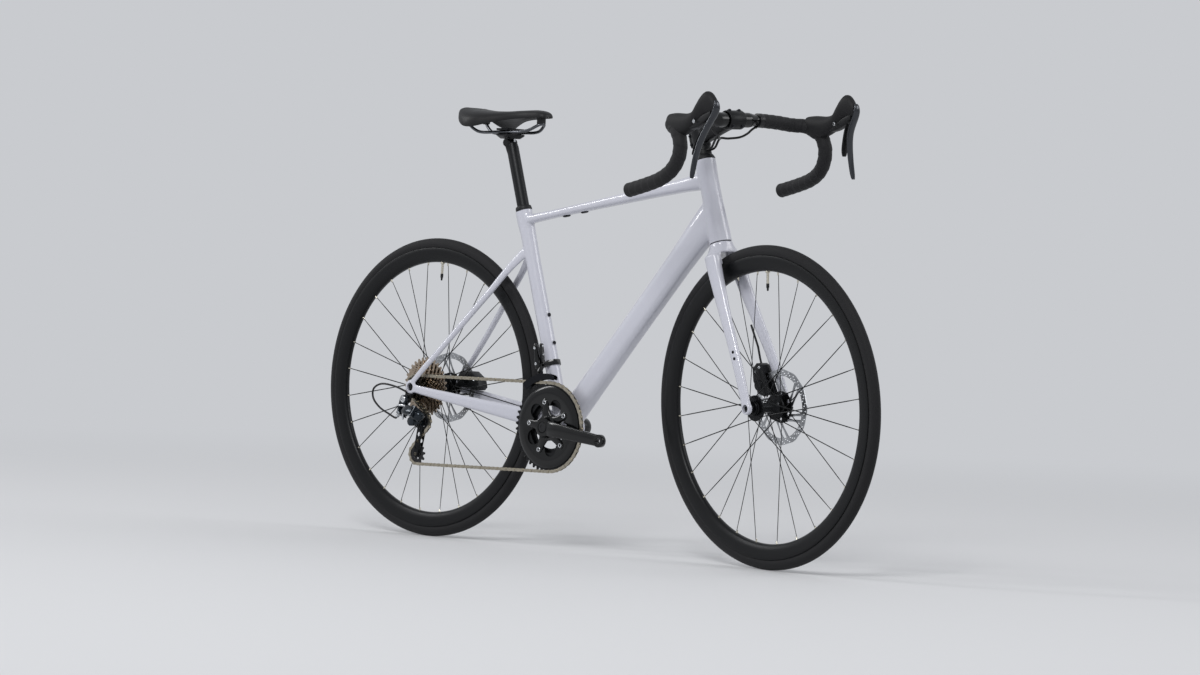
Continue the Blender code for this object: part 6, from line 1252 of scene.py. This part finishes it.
egg_middle = Vector((-0.4590, -0.0860, 0.2755))
egg_stations = eased(mm(
    (0, 0, -17.2, 4.8, 5.6), (0, 0, -14, 9.6, 10), (0, 0, -7, 12.8, 13), (0, 0, 2, 13.4, 13.6),
    (0, 0, 9, 11.8, 12.2), (0, 0, 14.2, 8.2, 8.6), (0, 0, 16.8, 4, 4.4),
))
egg = grown_bar("knuckle_housing", egg_stations, 0.95, 8)
placed(egg, standing, frame_of(egg_middle, Vector((1, 0, -0.12)), SIDE))
finished(smoothed(egg, 60), "rd_far", "crank_black", derailleur_gloss)
wing_stations = eased(mm(
    (0, 0, 0, 1.6, 0.8), (0, 0.6, 8, 3, 2.2), (0, 0.8, 18, 3.4, 3), (0, 0.2, 28, 2.6, 2.2),
    (0, -1.2, 35, 1, 0.8),
))
wing = grown_bar("polished_ridge", wing_stations, 0.9, 5)
placed(wing, standing, frame_of(Vector((-0.5230, -0.0890, 0.2955)), FRONT, SIDE))
finished(smoothed(wing, 45), "rd_base", "bare_steel", bright_steel)
lever_stations = eased(
    mm((0, 0, 0, 1.6, 3.4), (0, 0, 5, 2, 3), (0, 0, 15, 2, 2.2), (0, 0, 21, 1.8, 2.4), (0, 0, 24, 1, 1.2))
)
cable_arm = grown_bar("cable_arm", lever_stations, 0.8, 4)
placed(cable_arm, standing, frame_of(Vector((-0.5010, -0.0912, 0.2880)), Vector((0.05, 0, -1)), SIDE))
finished(smoothed(cable_arm, 45), "rd_outer", "bare_steel", bright_steel)
for end, body in ((base_middle, "rd_base"), (far_middle, "rd_far")):
    rivets = []
    for way in (-1, 1):
        for level in (-1, 1):
            spot = end + inward * pin_offset * way + pin_line * 0.0122 * level
            head = lathed("rivet", mm((2.7, 0), (2.7, 0.5), (2, 0.9)), 16)
            rivets.append(placed(head, standing, frame_of(spot, pin_line * level, link_line)))
    grouped(body + "_rivets", rivets, body, "bare_steel", bright_steel)

cage_line = (tension_middle - guide_middle).normalized()
cage = softened("rd_cage", "pulley_cage", 0.0003)
windows = []
for share, size in ((0.20, 0.0046), (0.40, 0.0050), (0.60, 0.0048), (0.80, 0.0040)):
    spot = guide_middle + cage_line * cage_reach * share
    windows.append(
        placed(pin_between("window", spot - SIDE * 0.012, spot + SIDE * 0.012, size, 20), standing)
    )
bored(cage, joined("windows", windows))
finished(smoothed(cage, 30), "rd_cage_body", "black_alloy", hub_black, "rd_cage")
screws = []
for spot in (guide_middle, tension_middle):
    for way in (-1, 1):
        face = spot + SIDE * way * 0.0060
        screws.append(placed(
            button_screw("pulley_screw", 0.0040, 0.0016), standing, frame_of(face, SIDE * way, FRONT)
        ))
grouped("pulley_screws", screws, "rd_cage_body", "bare_steel", cog_dark)
for name, spot, phase, body in (
    ("guide_pulley", guide_middle, phases[2], "guide_pulley_body"),
    ("tension_pulley", tension_middle, phases[3], "tension_pulley_body"),
):
    wheel = toothed(name + "_wheel", pulley_teeth, 0.0024, phase, 0.0028)
    bored(wheel, pins_round("window", 5, 0, 0.0100, 0.0028, -0.01, 0.01, 12))
    placed(wheel, standing, frame_of(spot, -SIDE, FRONT))
    finished(smoothed(wheel, 25), body, "black_plastic", black_satin, name)


# The shift housing: a black lined cable casing that leaves the dropout, loops back and down, and
# ends in the rear derailleur's cable adjuster.
def tube_along(name, stations, sides=4):
    """A round tube through (x, y, z, radius) stations, with closed ends."""
    bpy.ops.object.select_all(action="DESELECT")
    bpy.ops.curve.primitive_nurbs_path_add()
    line = bpy.context.object
    line.name = name
    line.data.splines.clear()
    spline = line.data.splines.new("POLY")
    spline.points.add(len(stations) - 1)
    for point, (x, y, z, radius) in zip(spline.points, stations):
        point.co = (x, y, z, 1)
        point.radius = radius
    line.data.bevel_depth = 1.0
    line.data.bevel_resolution = sides
    line.data.use_fill_caps = True
    line.data.resolution_u = 1
    bpy.ops.object.convert(target="MESH")
    piece = bpy.context.object
    bpy.ops.object.mode_set(mode="EDIT")
    bpy.ops.mesh.select_all(action="SELECT")
    bpy.ops.mesh.remove_doubles(threshold=0.00001)
    closed_up()
    return piece


def cord_piece(name, route, radius, matrix, steps):
    """A cord's tube along an eased route, with its path and length in the row's frame."""
    path = [matrix @ Vector(spot) for spot in eased(route, steps)]
    length = sum((after - spot).length for spot, after in zip(path, path[1:]))
    piece = tube_along(name, [(*spot, radius) for spot in path], 4)
    return piece, [tuple(spot) for spot in path], length


# Extruded casing: smooth, with a soft shine.
cable_rubber = grained(
    "black_cable_casing", "#101012", 0.36, 0.0, 1300, 2, spread=(0.28, 0.46), bump=(0.08, 0.0002),
    Specular_IOR_Level=0.4,
)
adjuster_end = adjuster_foot + adjuster_way * 0.0233
route = [
    (-0.505, -0.0791, 0.3265), (-0.513, -0.0791, 0.330), (-0.542, -0.0815, 0.3385), (-0.580, -0.084, 0.342),
    (-0.604, -0.0855, 0.330), (-0.604, -0.0855, 0.308), (-0.583, -0.0845, 0.288), (-0.556, -0.083, 0.2755),
    tuple(adjuster_end + adjuster_way * 0.006), tuple(adjuster_end),
]
housing, path, length = cord_piece("shift_cable_casing", route, 0.00225, standing, 4)
finished(smoothed(housing, 60), "main_frame", "black_rubber", cable_rubber, "shift_housing")

# The front derailleur: a band on the seat tube, a long forged link and a chromed steel cage that
# is bent to the big ring's curve. Its small screws and the cable's anchor are bright.
# Dark chrome: a dim mirror, faintly rubbed.
cage_steel = grained("dark_chromed_steel", "#26272A", 0.22, 1.0, 300, 3, spread=(0.18, 0.34))
rounded("fd_base", "seat_tube_band", 0.0006, "main_frame", "black_alloy", crank_gloss)
rounded("fd_link", "changer_link", 0.0011, "fd_link_body", "black_alloy", crank_gloss)


def cage_strip(start, end, low, high, across=None):
    """A strip bent to the big ring's curve: a side plate, or the bridge between two of them."""
    bpy.ops.object.select_all(action="DESELECT")
    bpy.ops.mesh.primitive_grid_add(x_subdivisions=30, y_subdivisions=3, size=2)
    strip = bpy.context.object
    for vertex in strip.data.vertices:
        share, rise = (vertex.co.x + 1) / 2, (vertex.co.y + 1) / 2
        turn = radians(start + (end - start) * share)
        depth = 0.0060 + 0.0110 * max(0.0, (degrees(turn) - 82) / 48) ** 0.4
        radius = 0.1042 + (depth * rise if across is None else depth)
        level = low if across is None else low + (high - low) * rise
        vertex.co = (cos(turn) * radius, sin(turn) * radius, level)
    return modified(strip, "SOLIDIFY", thickness=0.0012, offset=0.0)


strips = [
    cage_strip(82, 130, -0.0056, -0.0056),
    cage_strip(82, 130, 0.0056, 0.0056),
    cage_strip(92, 108, -0.0056, 0.0056, across=True),
    cage_strip(122, 129, -0.0056, 0.0056, across=True),
]
cage_parts = [placed(strip, standing, ring_view) for strip in strips]
lug = grown_bar("cage_lug", mm((0, 0, 0, 3.2, 3), (0, 0, 12, 3.6, 3), (0, 0, 17, 2.4, 2.6)), 0.7, 3)
cage_parts.append(placed(lug, standing, Matrix.Translation((-0.1232, -0.0396, 0.3745))))
grouped("changer_cage", cage_parts, "fd_cage_body", "bare_steel", cage_steel, "fd_cage")
upper_pivot = on_seat(0.1440)
upper_pivot.y = -0.0300
tower_stations = eased(mm(
    (0, 0, -13, 5, 5.2), (0, 0, -6, 7.2, 7.8), (-1, -0.8, 4, 7, 7.6), (-3, -2, 15, 5.2, 5.6),
    (-5, -3, 28, 4.2, 4.6), (-6.6, -3.4, 38, 4.4, 4.2), (-7.4, -3.4, 44, 2.2, 2.2),
))
tower = grown_bar("changer_arm", tower_stations, 0.75, 5)
placed(tower, standing, Matrix.Translation(upper_pivot + Vector((-0.0080, -0.0050, 0))))
finished(smoothed(tower, 40), "fd_link_body", "black_alloy", crank_gloss)
screws = []
for spot, along, size in (
    (upper_pivot + Vector((0.0042, 0, 0)), FRONT, 0.0030),
    (upper_pivot + Vector((-0.0090, -0.0128, -0.0010)), -SIDE, 0.0034),
    (upper_pivot + Vector((-0.0140, -0.0126, 0.0330)), -SIDE, 0.0030),
    (upper_pivot + Vector((0.0036, -0.0056, 0.0385)), FRONT, 0.0026),
    (upper_pivot + Vector((0.0036, -0.0028, 0.0200)), FRONT, 0.0022),
):
    screws.append(placed(button_screw("changer_screw", size, 0.0014), standing, frame_of(spot, along, UP)))
grouped("changer_screws", screws, "fd_link_body", "bare_steel", bright_steel)

# The stem: forged aluminium in satin black, blended from the steerer's clamp through a squarish
# neck into the bar's clamp, with a bolted faceplate, two pinch bolts and a top cap.
bar_centre = on_head(0.6060, 0.1100)
neck_start = on_head(0.6004, 0.0040)
neck_line = (bar_centre - neck_start).normalized()
neck_reach = (bar_centre - neck_start).length
clamp_profile = mm((15, 580.6), (18.4, 580.6), (19.1, 581.4), (19.2, 619), (18.6, 620.2), (15, 620.3))
column = placed(lathed("steerer_clamp", clamp_profile, 64), frame_of(head_foot, head_up, SIDE))
neck_stations = eased((
    (0, 0, 0.000, 0.0150, 0.0172),
    (0, 0, 0.030, 0.0152, 0.0160),
    (0, 0, neck_reach * 0.55, 0.0150, 0.0148),
    (0, 0, neck_reach * 0.80, 0.0156, 0.0150),
    (0, 0, neck_reach - 0.006, 0.0168, 0.0160),
))
neck = placed(grown_bar("stem_neck", neck_stations, 0.7, 6), frame_of(neck_start, neck_line, SIDE))
cuff = pin_between("bar_cuff", bar_centre - SIDE * 0.0208, bar_centre + SIDE * 0.0208, 0.0202, 56)
ear = grown_bar("pinch_ear", mm((0, 0, -12, 5.2, 17), (0, 0, 12, 5.2, 17)), 0.5, 4)
placed(ear, frame_of(on_head(0.6004, -0.0190), SIDE, head_front))
stem = joined("stem_forging", [column, neck, cuff, ear])
modified(stem, "REMESH", mode="VOXEL", voxel_size=0.0012)
modified(stem, "SMOOTH", factor=0.5, iterations=7)
split = grown_bar("faceplate_side", mm((0, 0, 1.8, 50, 50), (0, 0, 50, 50, 50)), 0.1, 1)
placed(split, frame_of(bar_centre, neck_line, SIDE))
gap_slot = grown_bar("pinch_slot", mm((0, 0, -0.7, 14, 50), (0, 0, 0.7, 14, 50)), 0.1, 1)
placed(gap_slot, frame_of(on_head(0.6004, -0.0230), SIDE, head_front))
bored(
    stem,
    split,
    gap_slot,
    pin_between("bar_bore", bar_centre - SIDE * 0.05, bar_centre + SIDE * 0.05, 0.0160, 56),
    pin_between("steerer_bore", on_head(0.57), on_head(0.6188), 0.0144, 40),
)
modified(stem, "DECIMATE", ratio=0.7)
finished(smoothed(placed(stem, steered), 40), "steering", "black_alloy", cast_black, "stem")
rounded("stem_faceplate", "bar_faceplate", 0.0013, "steering", "black_alloy", cast_black)
plate_up = neck_line.cross(SIDE) * -1
if plate_up.z < 0:
    plate_up = -plate_up
screws = []
for across in (-0.0132, 0.0132):
    for level in (-0.0168, 0.0168):
        spot = bar_centre + SIDE * across + plate_up * level + neck_line * 0.0108
        post = pin_between("screw_post", spot - neck_line * 0.0090, spot, 0.0040, 20)
        screws.append(placed(post, steered))
        screws.append(placed(
            button_screw("faceplate_screw", 0.0034, 0.0026), steered, frame_of(spot, neck_line, SIDE)
        ))
for level in (0.5910, 0.6098):
    spot = on_head(level, -0.0190, -0.0120)
    screws.append(
        placed(button_screw("pinch_screw", 0.0036, 0.0026), steered, frame_of(spot, -SIDE, head_front))
    )
cap_profile = mm(
    (17.8, 620.5), (18.2, 621.4), (17.6, 623.6), (15, 624.6), (6.2, 624.8), (5.8, 623.8), (3, 623.8)
)
screws.append(placed(lathed("top_cap", cap_profile, 40), steered, frame_of(head_foot, head_up, SIDE)))
grouped("stem_screws", screws, "steering", "black_alloy", screw_black)

# The handlebar: a butted aluminium drop bar, bare and gloss black between the stem and the tape.
bar_x, bar_z = bar_centre.x, bar_centre.z
half_path = (
    (bar_x, -0.0300, bar_z, 0.0158),
    (bar_x, -0.0420, bar_z, 0.0158),
    (bar_x, -0.0600, bar_z, 0.0124),
    (bar_x, -0.0850, bar_z - 0.0010, 0.0119),
    (bar_x, -0.1250, bar_z - 0.0040, 0.0119),
    (bar_x + 0.0035, -0.1600, bar_z - 0.0085, 0.0119),
    (bar_x + 0.0240, -0.1870, bar_z - 0.0120, 0.0119),
    (bar_x + 0.0500, -0.1970, bar_z - 0.0240, 0.0119),
    (bar_x + 0.0655, -0.2005, bar_z - 0.0510, 0.0119),
    (bar_x + 0.0635, -0.2030, bar_z - 0.0800, 0.0119),
    (bar_x + 0.0460, -0.2065, bar_z - 0.1060, 0.0119),
    (bar_x + 0.0150, -0.2095, bar_z - 0.1240, 0.0119),
    (bar_x - 0.0280, -0.2112, bar_z - 0.1360, 0.0119),
    (bar_x - 0.0840, -0.2125, bar_z - 0.1477, 0.0119),
)
right_path = eased(half_path, 6)
left_path = [(x, -y, z, radius) for x, y, z, radius in reversed(right_path)]
bar_tube = tube_along("drop_bar", left_path + right_path, 6)
finished(smoothed(placed(bar_tube, steered), 60), "steering", "black_alloy", crank_gloss, "handlebar")

# The bar tape: cushioned synthetic cork tape 30 mm wide, wound from the drop's end up to the
# flat, so each turn steps over the last. Its face is finely dimpled and matt.
# Cork tape: dimples 2.4 mm apart, with painted shade darkening their hollows and lighter rims.
tape_black, tree, shader = new_material("dimpled_cork_bar_tape", "#151517", 0.66, Specular_IOR_Level=0.25)
shader.inputs["Sheen Weight"].default_value = 0.05
where = add_node(tree, "TexCoord")
dimples = add_node(tree, "TexVoronoi", Vector=where.outputs["Object"], Scale=420.0)
dents_and_painted_shade = add_node(tree, "MapRange", Value=dimples.outputs["Distance"], i1=0.12, i2=0.42)
grain = add_node(tree, "TexNoise", Vector=where.outputs["Object"], Scale=1000.0, Detail=2.0)
relief = add_node(
    tree, "Math", {"operation": "MULTIPLY_ADD"}, i0=grain.outputs["Fac"], i1=0.4, i2=dents_and_painted_shade.outputs["Result"]
)
skin = add_node(tree, "Bump", Height=relief.outputs[0], Strength=0.45, Distance=0.0004)
tree.links.new(skin.outputs["Normal"], shader.inputs["Normal"])
# Painted shade: the dimple depth also darkens the colour in each hollow and lightens the rims.
tone = add_node(tree, "ValToRGB", Fac=dents_and_painted_shade.outputs["Result"])
tone.color_ramp.elements[0].color = linear("#0B0B0C")
tone.color_ramp.elements[1].color = linear("#1A1A1C")
tree.links.new(tone.outputs["Color"], shader.inputs["Base Color"])


def wound(name, path, wrap, step):
    """A tube along a path whose surface steps up once in each winding of the tape."""
    piece = tube_along(name, path, 8)
    spots = [Vector(station[:3]) for station in path]
    reaches = [0.0]
    for spot, after in zip(spots, spots[1:]):
        reaches.append(reaches[-1] + (after - spot).length)
    for vertex in piece.data.vertices:
        index = min(range(len(spots)), key=lambda number: (spots[number] - vertex.co).length_squared)
        ahead = (spots[min(index + 1, len(spots) - 1)] - spots[max(index - 1, 0)]).normalized()
        off = vertex.co - spots[index]
        along = off.dot(ahead)
        off -= ahead * along
        if off.length < 0.005:
            continue
        level = ahead.cross(Vector((0.3, 1, 0.2))).normalized()
        turn = atan2(off.dot(ahead.cross(level)), off.dot(level))
        share = ((reaches[index] + along) / wrap + turn / tau) % 1.0
        lift = share / 0.86 if share < 0.86 else (1 - share) / 0.14
        vertex.co += off.normalized() * step * lift
    return piece


tape_path = []
for x, y, z, radius in eased(half_path, 26):
    if y < -0.0680 and x > bar_x - 0.0838:
        tape_path.append((x, y, z, 0.0146))
for name, way, side_body in (("right", 1, "bar_tape_right"), ("left", -1, "bar_tape_left")):
    path = [(x, y * way, z, radius) for x, y, z, radius in tape_path]
    tape = wound(name + "_tape_winding", path, 0.0200, 0.0008)
    finished(smoothed(placed(tape, steered), 28), "steering", "bar_tape", tape_black, side_body)
    start, end = Vector(path[0][:3]), Vector(path[-1][:3])
    start_way = (start - Vector(path[2][:3])).normalized()
    end_way = (end - Vector(path[-3][:3])).normalized()
    band = lathed(
        "finishing_band", mm((12, -10), (15.1, -10), (15.3, -9), (15.1, 2), (12.2, 2.6)), 40, hollow=True
    )
    placed(band, steered, frame_of(start, start_way, UP))
    plug = lathed(
        "bar_plug", mm((11.8, -4), (15, -0.4), (15.3, 0.6), (14.7, 2.4), (11, 3.2), (7, 3), (6, 2.4)), 40
    )
    placed(plug, steered, frame_of(end, end_way, UP))
    grouped(name + "_tape_ends", [band, plug], "steering", "black_plastic", cable_rubber)

# The lever bodies: a composite bracket clamped to the bar under a moulded rubber hood that rises
# to a tall horn. The hood is matt with ribs where the hand lies; a bright pivot cap shows below.
# Moulded rubber: matt, with ribs 3.5 mm apart and a fine grain.
hood_rubber, tree, shader = new_material("moulded_hood_rubber", "#131315", 0.56, Specular_IOR_Level=0.28)
where = add_node(tree, "TexCoord")
grain = add_node(tree, "TexNoise", Vector=where.outputs["Object"], Scale=900.0, Detail=2.0)
ribs = add_node(tree, "TexWave", {"bands_direction": "X"}, Vector=where.outputs["Object"], Scale=90.0)
relief = add_node(
    tree, "Math", {"operation": "MULTIPLY_ADD"}, i0=ribs.outputs["Fac"], i1=0.5, i2=grain.outputs["Fac"]
)
skin = add_node(tree, "Bump", Height=relief.outputs[0], Strength=0.22, Distance=0.0003)
tree.links.new(skin.outputs["Normal"], shader.inputs["Normal"])
spread = add_node(tree, "MapRange", Value=grain.outputs["Fac"], i3=0.50, i4=0.68)
tree.links.new(spread.outputs["Result"], shader.inputs["Roughness"])
# Lacquered casting: dark metal with long sharp highlights.
lever_gloss = grained(
    "gloss_black_cast_lever", "#3E4044", 0.15, 1.0, 160, 2, spread=(0.12, 0.24), Coat_Weight=0.3,
    Coat_Roughness=0.06,
)
hood_sections = (
    (0.024, -0.0290, 0.0080, 0.70, 0.1915),
    (0.030, -0.0315, 0.0095, 0.84, 0.1920),
    (0.052, -0.0400, 0.0105, 0.96, 0.1935),
    (0.085, -0.0310, 0.0090, 0.98, 0.1945),
    (0.108, -0.0190, 0.0150, 1.00, 0.1945),
    (0.120, -0.0120, 0.0310, 0.96, 0.1940),
    (0.130, -0.0040, 0.0450, 0.88, 0.1935),
    (0.141, 0.0040, 0.0530, 0.78, 0.1930),
    (0.152, 0.0060, 0.0505, 0.68, 0.1927),
    (0.162, 0.0075, 0.0410, 0.54, 0.1923),
    (0.169, 0.0090, 0.0310, 0.40, 0.1920),
)
lever_side = 0.1940
for name, way in (("right", -1), ("left", 1)):
    stations = [
        (side * way, (low + high) / 2, ahead, 0.018 * share, (high - low) / 2)
        for ahead, low, high, share, side in hood_sections
    ]
    hood = grown_bar(name + "_hood_skin", eased(stations), 0.88, 7)
    placed(hood, steered, frame_of(bar_centre, FRONT, SIDE))
    finished(smoothed(hood, 60), "steering", "black_rubber", hood_rubber, "lever_hood_" + name)
    pivot = bar_centre + Vector((0.1450, lever_side * way, 0.0040))
    bracket_stations = eased((
        (lever_side * way, -0.0180, 0.100, 0.0120, 0.0060),
        (lever_side * way, -0.0120, 0.118, 0.0118, 0.0085),
        (lever_side * way, -0.0030, 0.136, 0.0105, 0.0095),
        (lever_side * way, 0.0030, 0.150, 0.0098, 0.0080),
        (lever_side * way, 0.0080, 0.160, 0.0085, 0.0060),
    ))
    bracket_piece = grown_bar(name + "_lever_bracket", bracket_stations, 0.6, 5)
    placed(bracket_piece, steered, frame_of(bar_centre, FRONT, SIDE))
    cap = lathed("pivot_cap", mm((4, 0), (4, 1), (3.2, 1.6), (1.4, 1.6)), 20)
    spot = bar_centre + Vector((0.1200, lever_side * way - 0.0170, -0.0076))
    far_spot = bar_centre + Vector((0.1200, lever_side * way + 0.0170, -0.0076))
    caps = [
        placed(copied(cap, "pivot_cap"), steered, frame_of(spot, -SIDE, FRONT)),
        placed(cap, steered, frame_of(far_spot, SIDE, FRONT)),
    ]
    finished(smoothed(bracket_piece, 40), "steering", "black_plastic", black_satin)
    grouped(name + "_pivot_caps", caps, "steering", "bare_steel", bright_steel)
    blade_stations = eased(mm(
        (24, 0, 30, 1.6, 4), (26.2, 0, 25, 2.8, 6.2), (25.8, 0, 14, 4, 8.4), (20.5, -1, 2, 5.2, 8.8),
        (12, -3, -11, 5.2, 8.6), (2.5, -6, -26, 4.6, 8.4), (-5, -10, -42, 4.1, 8.2),
        (-11, -16, -64, 3.7, 7.7), (-14.8, -22.8, -92, 3.3, 7), (-15.6, -28.2, -118, 3.2, 6),
        (-15.2, -30.2, -128, 2.2, 3.6),
    ))
    stations = [(x, -y * way, z, wide, deep) for x, y, z, wide, deep in blade_stations]
    blade = grown_bar(name + "_lever_blade", stations, 0.8, 5)
    placed(blade, steered, Matrix.Translation(pivot))
    finished(smoothed(blade, 45), "lever_" + name, "black_alloy", lever_gloss, "brake_lever_" + name)
    paddle_stations = eased(mm(
        (-1, 0, -12, 1.5, 4.5), (-6.6, -2, -24, 1.6, 6.6), (-15, -7, -42, 1.6, 8.2),
        (-22.5, -11, -64, 1.6, 8.5), (-26.2, -14, -76, 1.5, 6.8), (-27.2, -14.8, -80, 1, 4.4),
    ))
    stations = [(x, -y * way, z, wide, deep) for x, y, z, wide, deep in paddle_stations]
    paddle = grown_bar(name + "_shift_blade", stations, 0.8, 4)
    placed(paddle, steered, Matrix.Translation(pivot))
    finished(smoothed(paddle, 45), "paddle_" + name, "black_plastic", black_satin, "shift_paddle_" + name)
    route = [
        (bar_x - 0.001, 0.0665 * way, bar_z - 0.0150), (bar_x - 0.001, 0.0620 * way, bar_z - 0.0153),
        (bar_x - 0.003, 0.0540 * way, bar_z - 0.0205), (bar_x - 0.005, 0.0440 * way, bar_z - 0.0285),
        (bar_x - 0.012, 0.0290 * way, bar_z - 0.0360), (bar_x - 0.030, 0.0120 * way, bar_z - 0.0385),
        (bar_x - 0.048, 0.0055 * way, bar_z - 0.0385),
        tuple(on_head(0.5696, 0.034, way * 0.005)), tuple(on_head(0.5686, 0.0172, way * 0.0045)),
    ]
    hose, path, length = cord_piece(name + "_brake_line", route, 0.0025, steered, 4)
    finished(smoothed(hose, 60), "steering", "black_rubber", cable_rubber, "brake_hose_" + name)

# The seatpost: a satin black aluminium tube with a forged two-bolt head, held by a collar whose
# rubber sleeve seals the frame's top. The saddle's cradle turns on the head's crosswise barrel.
head_pivot = Vector((-0.28165, 0, 0.8930))
shaft = placed(
    lathed("post_shaft", mm((13, 298), (13.6, 298.4), (13.6, 640), (12, 650)), 48),
    frame_of(bracket, seat_up, SIDE),
)
shoulder_start = on_seat(0.6300)
shoulder = grown_bar(
    "post_shoulder",
    eased((
        (0, 0, 0.0, 0.0134, 0.0134), (0, 0, 0.010, 0.0138, 0.0130), (0, 0, 0.020, 0.0142, 0.0118),
        (0, 0, (head_pivot - shoulder_start).length, 0.0146, 0.0108),
    )),
    0.95,
    6,
)
placed(shoulder, frame_of(shoulder_start, head_pivot - shoulder_start, SIDE))
barrel = pin_between("head_barrel", head_pivot - SIDE * 0.0149, head_pivot + SIDE * 0.0149, 0.0090, 40)
head = joined("post_head", [shoulder, barrel])
modified(head, "REMESH", mode="VOXEL", voxel_size=0.0011)
modified(head, "SMOOTH", factor=0.5, iterations=5)
modified(head, "DECIMATE", ratio=0.6)
post = smoothed(placed(joined("seat_post", [shaft, head]), standing), 35)
finished(post, "seatpost_body", "black_alloy", cast_black, "seatpost")
rounded("seat_clamp", "post_collar", 0.0008, "main_frame", "black_rubber", black_satin)
rounded("saddle_clamp", "saddle_cradle_clamp", 0.0012, "saddle_cradle", "black_alloy", cast_black)
screws = []
for step in (-0.0135, 0.0135):
    shank = pin_between(
        "cradle_screw", head_pivot + Vector((step, 0, 0.0020)), head_pivot + Vector((step, 0, 0.0220)),
        0.0024, 16,
    )
    screws.append(placed(shank, standing))
grouped("cradle_screws", screws, "saddle_cradle", "bare_steel", bright_steel)

# The saddle's rails: 7 mm hollow steel tube with a black chromed face, from the tail's sockets
# along the clamp zone to the nose.
# Black chrome: a grey mirror that darkens what it reflects.
rail_steel = grained("black_chromed_rail_steel", "#5A5C60", 0.22, 1.0, 500, 2, spread=(0.18, 0.30))
rail_points = mm(
    (-388, 30, 938.5), (-372, 26, 924), (-350, 22, 916), (-300, 22, 916), (-260, 22, 916), (-230, 22, 916),
    (-208, 18, 920), (-188, 9.2, 931), (-183.5, 1, 934),
)
path = [(x, y, z, 0.0035) for x, y, z in eased(rail_points, 5)]
path += [(x, -y, z, radius) for x, y, z, radius in reversed(path)]
rails = smoothed(placed(tube_along("rail_tube", path, 5), standing), 60)
finished(rails, "saddle", "bare_steel", rail_steel, "saddle_rails")


# The cover: foam under a smooth synthetic skin, drawn down over the shell's edge. The tail is
# raised, the middle has a shallow channel, and the nose shines a little from use.
# The skin is half matt, with pores 1.4 mm apart and shinier patches where it is rubbed.
cover_skin, tree, shader = new_material(
    "smooth_microfibre_saddle_skin", "#101012", 0.42, Specular_IOR_Level=0.32
)
where = add_node(tree, "TexCoord")
pores = add_node(tree, "TexVoronoi", Vector=where.outputs["Object"], Scale=700.0)
grain = add_node(tree, "TexNoise", Vector=where.outputs["Object"], Scale=60.0, Detail=3.0)
relief = add_node(
    tree, "Math", {"operation": "MULTIPLY_ADD"}, i0=grain.outputs["Fac"], i1=0.6,
    i2=pores.outputs["Distance"],
)
skin = add_node(tree, "Bump", Height=relief.outputs[0], Strength=0.10, Distance=0.0004)
tree.links.new(skin.outputs["Normal"], shader.inputs["Normal"])
spread = add_node(tree, "MapRange", Value=grain.outputs["Fac"], i3=0.36, i4=0.54)
tree.links.new(spread.outputs["Result"], shader.inputs["Roughness"])
saddle_stations = eased(
    mm(
        (-405.6, 30, 6, 3), (-404.6, 37, 9.4, -2), (-399, 48, 10, -13), (-386, 60, 7.8, -27),
        (-364, 69, 4.4, -37), (-336, 68, 1.2, -38), (-305, 54, -0.8, -30), (-272, 38, -1.2, -23),
        (-240, 28.5, 0.4, -19.6), (-204, 24, 1, -18), (-180, 21.2, -1.2, -17.4), (-169, 16.5, -5.4, -17.2),
        (-164.6, 9, -11, -17), (-163.6, 3, -15.2, -16.8),
    ),
    4,
)
rows, columns = len(saddle_stations), 41
saddle_top, saddle_middle = 0.9640, -0.282


def saddle_form(name, narrower, lower):
    """A crowned sheet over the stations, drawn in and down from the seat's own surface."""
    bpy.ops.object.select_all(action="DESELECT")
    bpy.ops.mesh.primitive_grid_add(x_subdivisions=rows - 1, y_subdivisions=columns - 1, size=2)
    form = bpy.context.object
    form.name = name
    for vertex in form.data.vertices:
        row = round((vertex.co.x + 1) / 2 * (rows - 1))
        share = vertex.co.y
        x, wide, top, edge = saddle_stations[row]
        turn = share * pi / 2
        level = abs(cos(turn)) ** 0.62
        reach = (wide - narrower) * abs(sin(turn)) ** 0.86 * (1 if share > 0 else -1)
        tail = min(max((-0.370 - x) / 0.03, 0.0), 1.0)
        before = min(max((-0.20 - x) / 0.03, 0.0), 1.0)
        half = 0.0130 + 0.0140 * tail
        channel = (0.0022 + 0.0040 * tail) * max(0.0, 1 - (reach / half) ** 2) * before
        x += 0.0110 * tail * max(0.0, 1 - (reach / 0.0400) ** 2)
        vertex.co = (x, reach, saddle_top + edge + (top - edge) * level - channel)
        if lower:
            vertex.co.x = x + (saddle_middle - x) * 0.035
            vertex.co.z = max(vertex.co.z - lower, saddle_top + edge + 0.0045)
    return form


cover = saddle_form("saddle_skin", 0.0, 0.0)
modified(cover, "SOLIDIFY", thickness=0.0034, offset=-1.0)
modified(cover, "SUBSURF", levels=1, render_levels=1)
cover.data.shade_smooth()
placed(cover, standing)
finished(cover, "saddle", "saddle_cover", cover_skin, "saddle_cover")

# The saddle's shell: moulded glass-filled nylon under the padding, seen from below, with the
# sockets that hold the rails at the tail and the nose.
shell = saddle_form("moulded_shell", 0.0050, 0.0105)
modified(shell, "SOLIDIFY", thickness=0.0030, offset=-1.0)
placed(shell, standing)
sockets = []
for x, y, z, wide, deep, tall in (
    (-0.3880, 0.0300, 0.9440, 0.0080, 0.0070, 0.0075),
    (-0.3880, -0.0300, 0.9440, 0.0080, 0.0070, 0.0075),
    (-0.1880, 0.0000, 0.9420, 0.0070, 0.0100, 0.0104),
):
    block = grown_bar(
        "rail_socket",
        (
            (0, 0, -tall, wide * 0.8, deep * 0.8), (0, 0, -tall * 0.7, wide, deep),
            (0, 0, tall * 0.8, wide, deep),
        ),
        0.6,
        4,
    )
    sockets.append(placed(block, standing, Matrix.Translation((x, y, z))))
shell = smoothed(joined("moulded_shell", [shell] + sockets), 40)
finished(shell, "saddle", "black_plastic", black_satin, "saddle_shell")
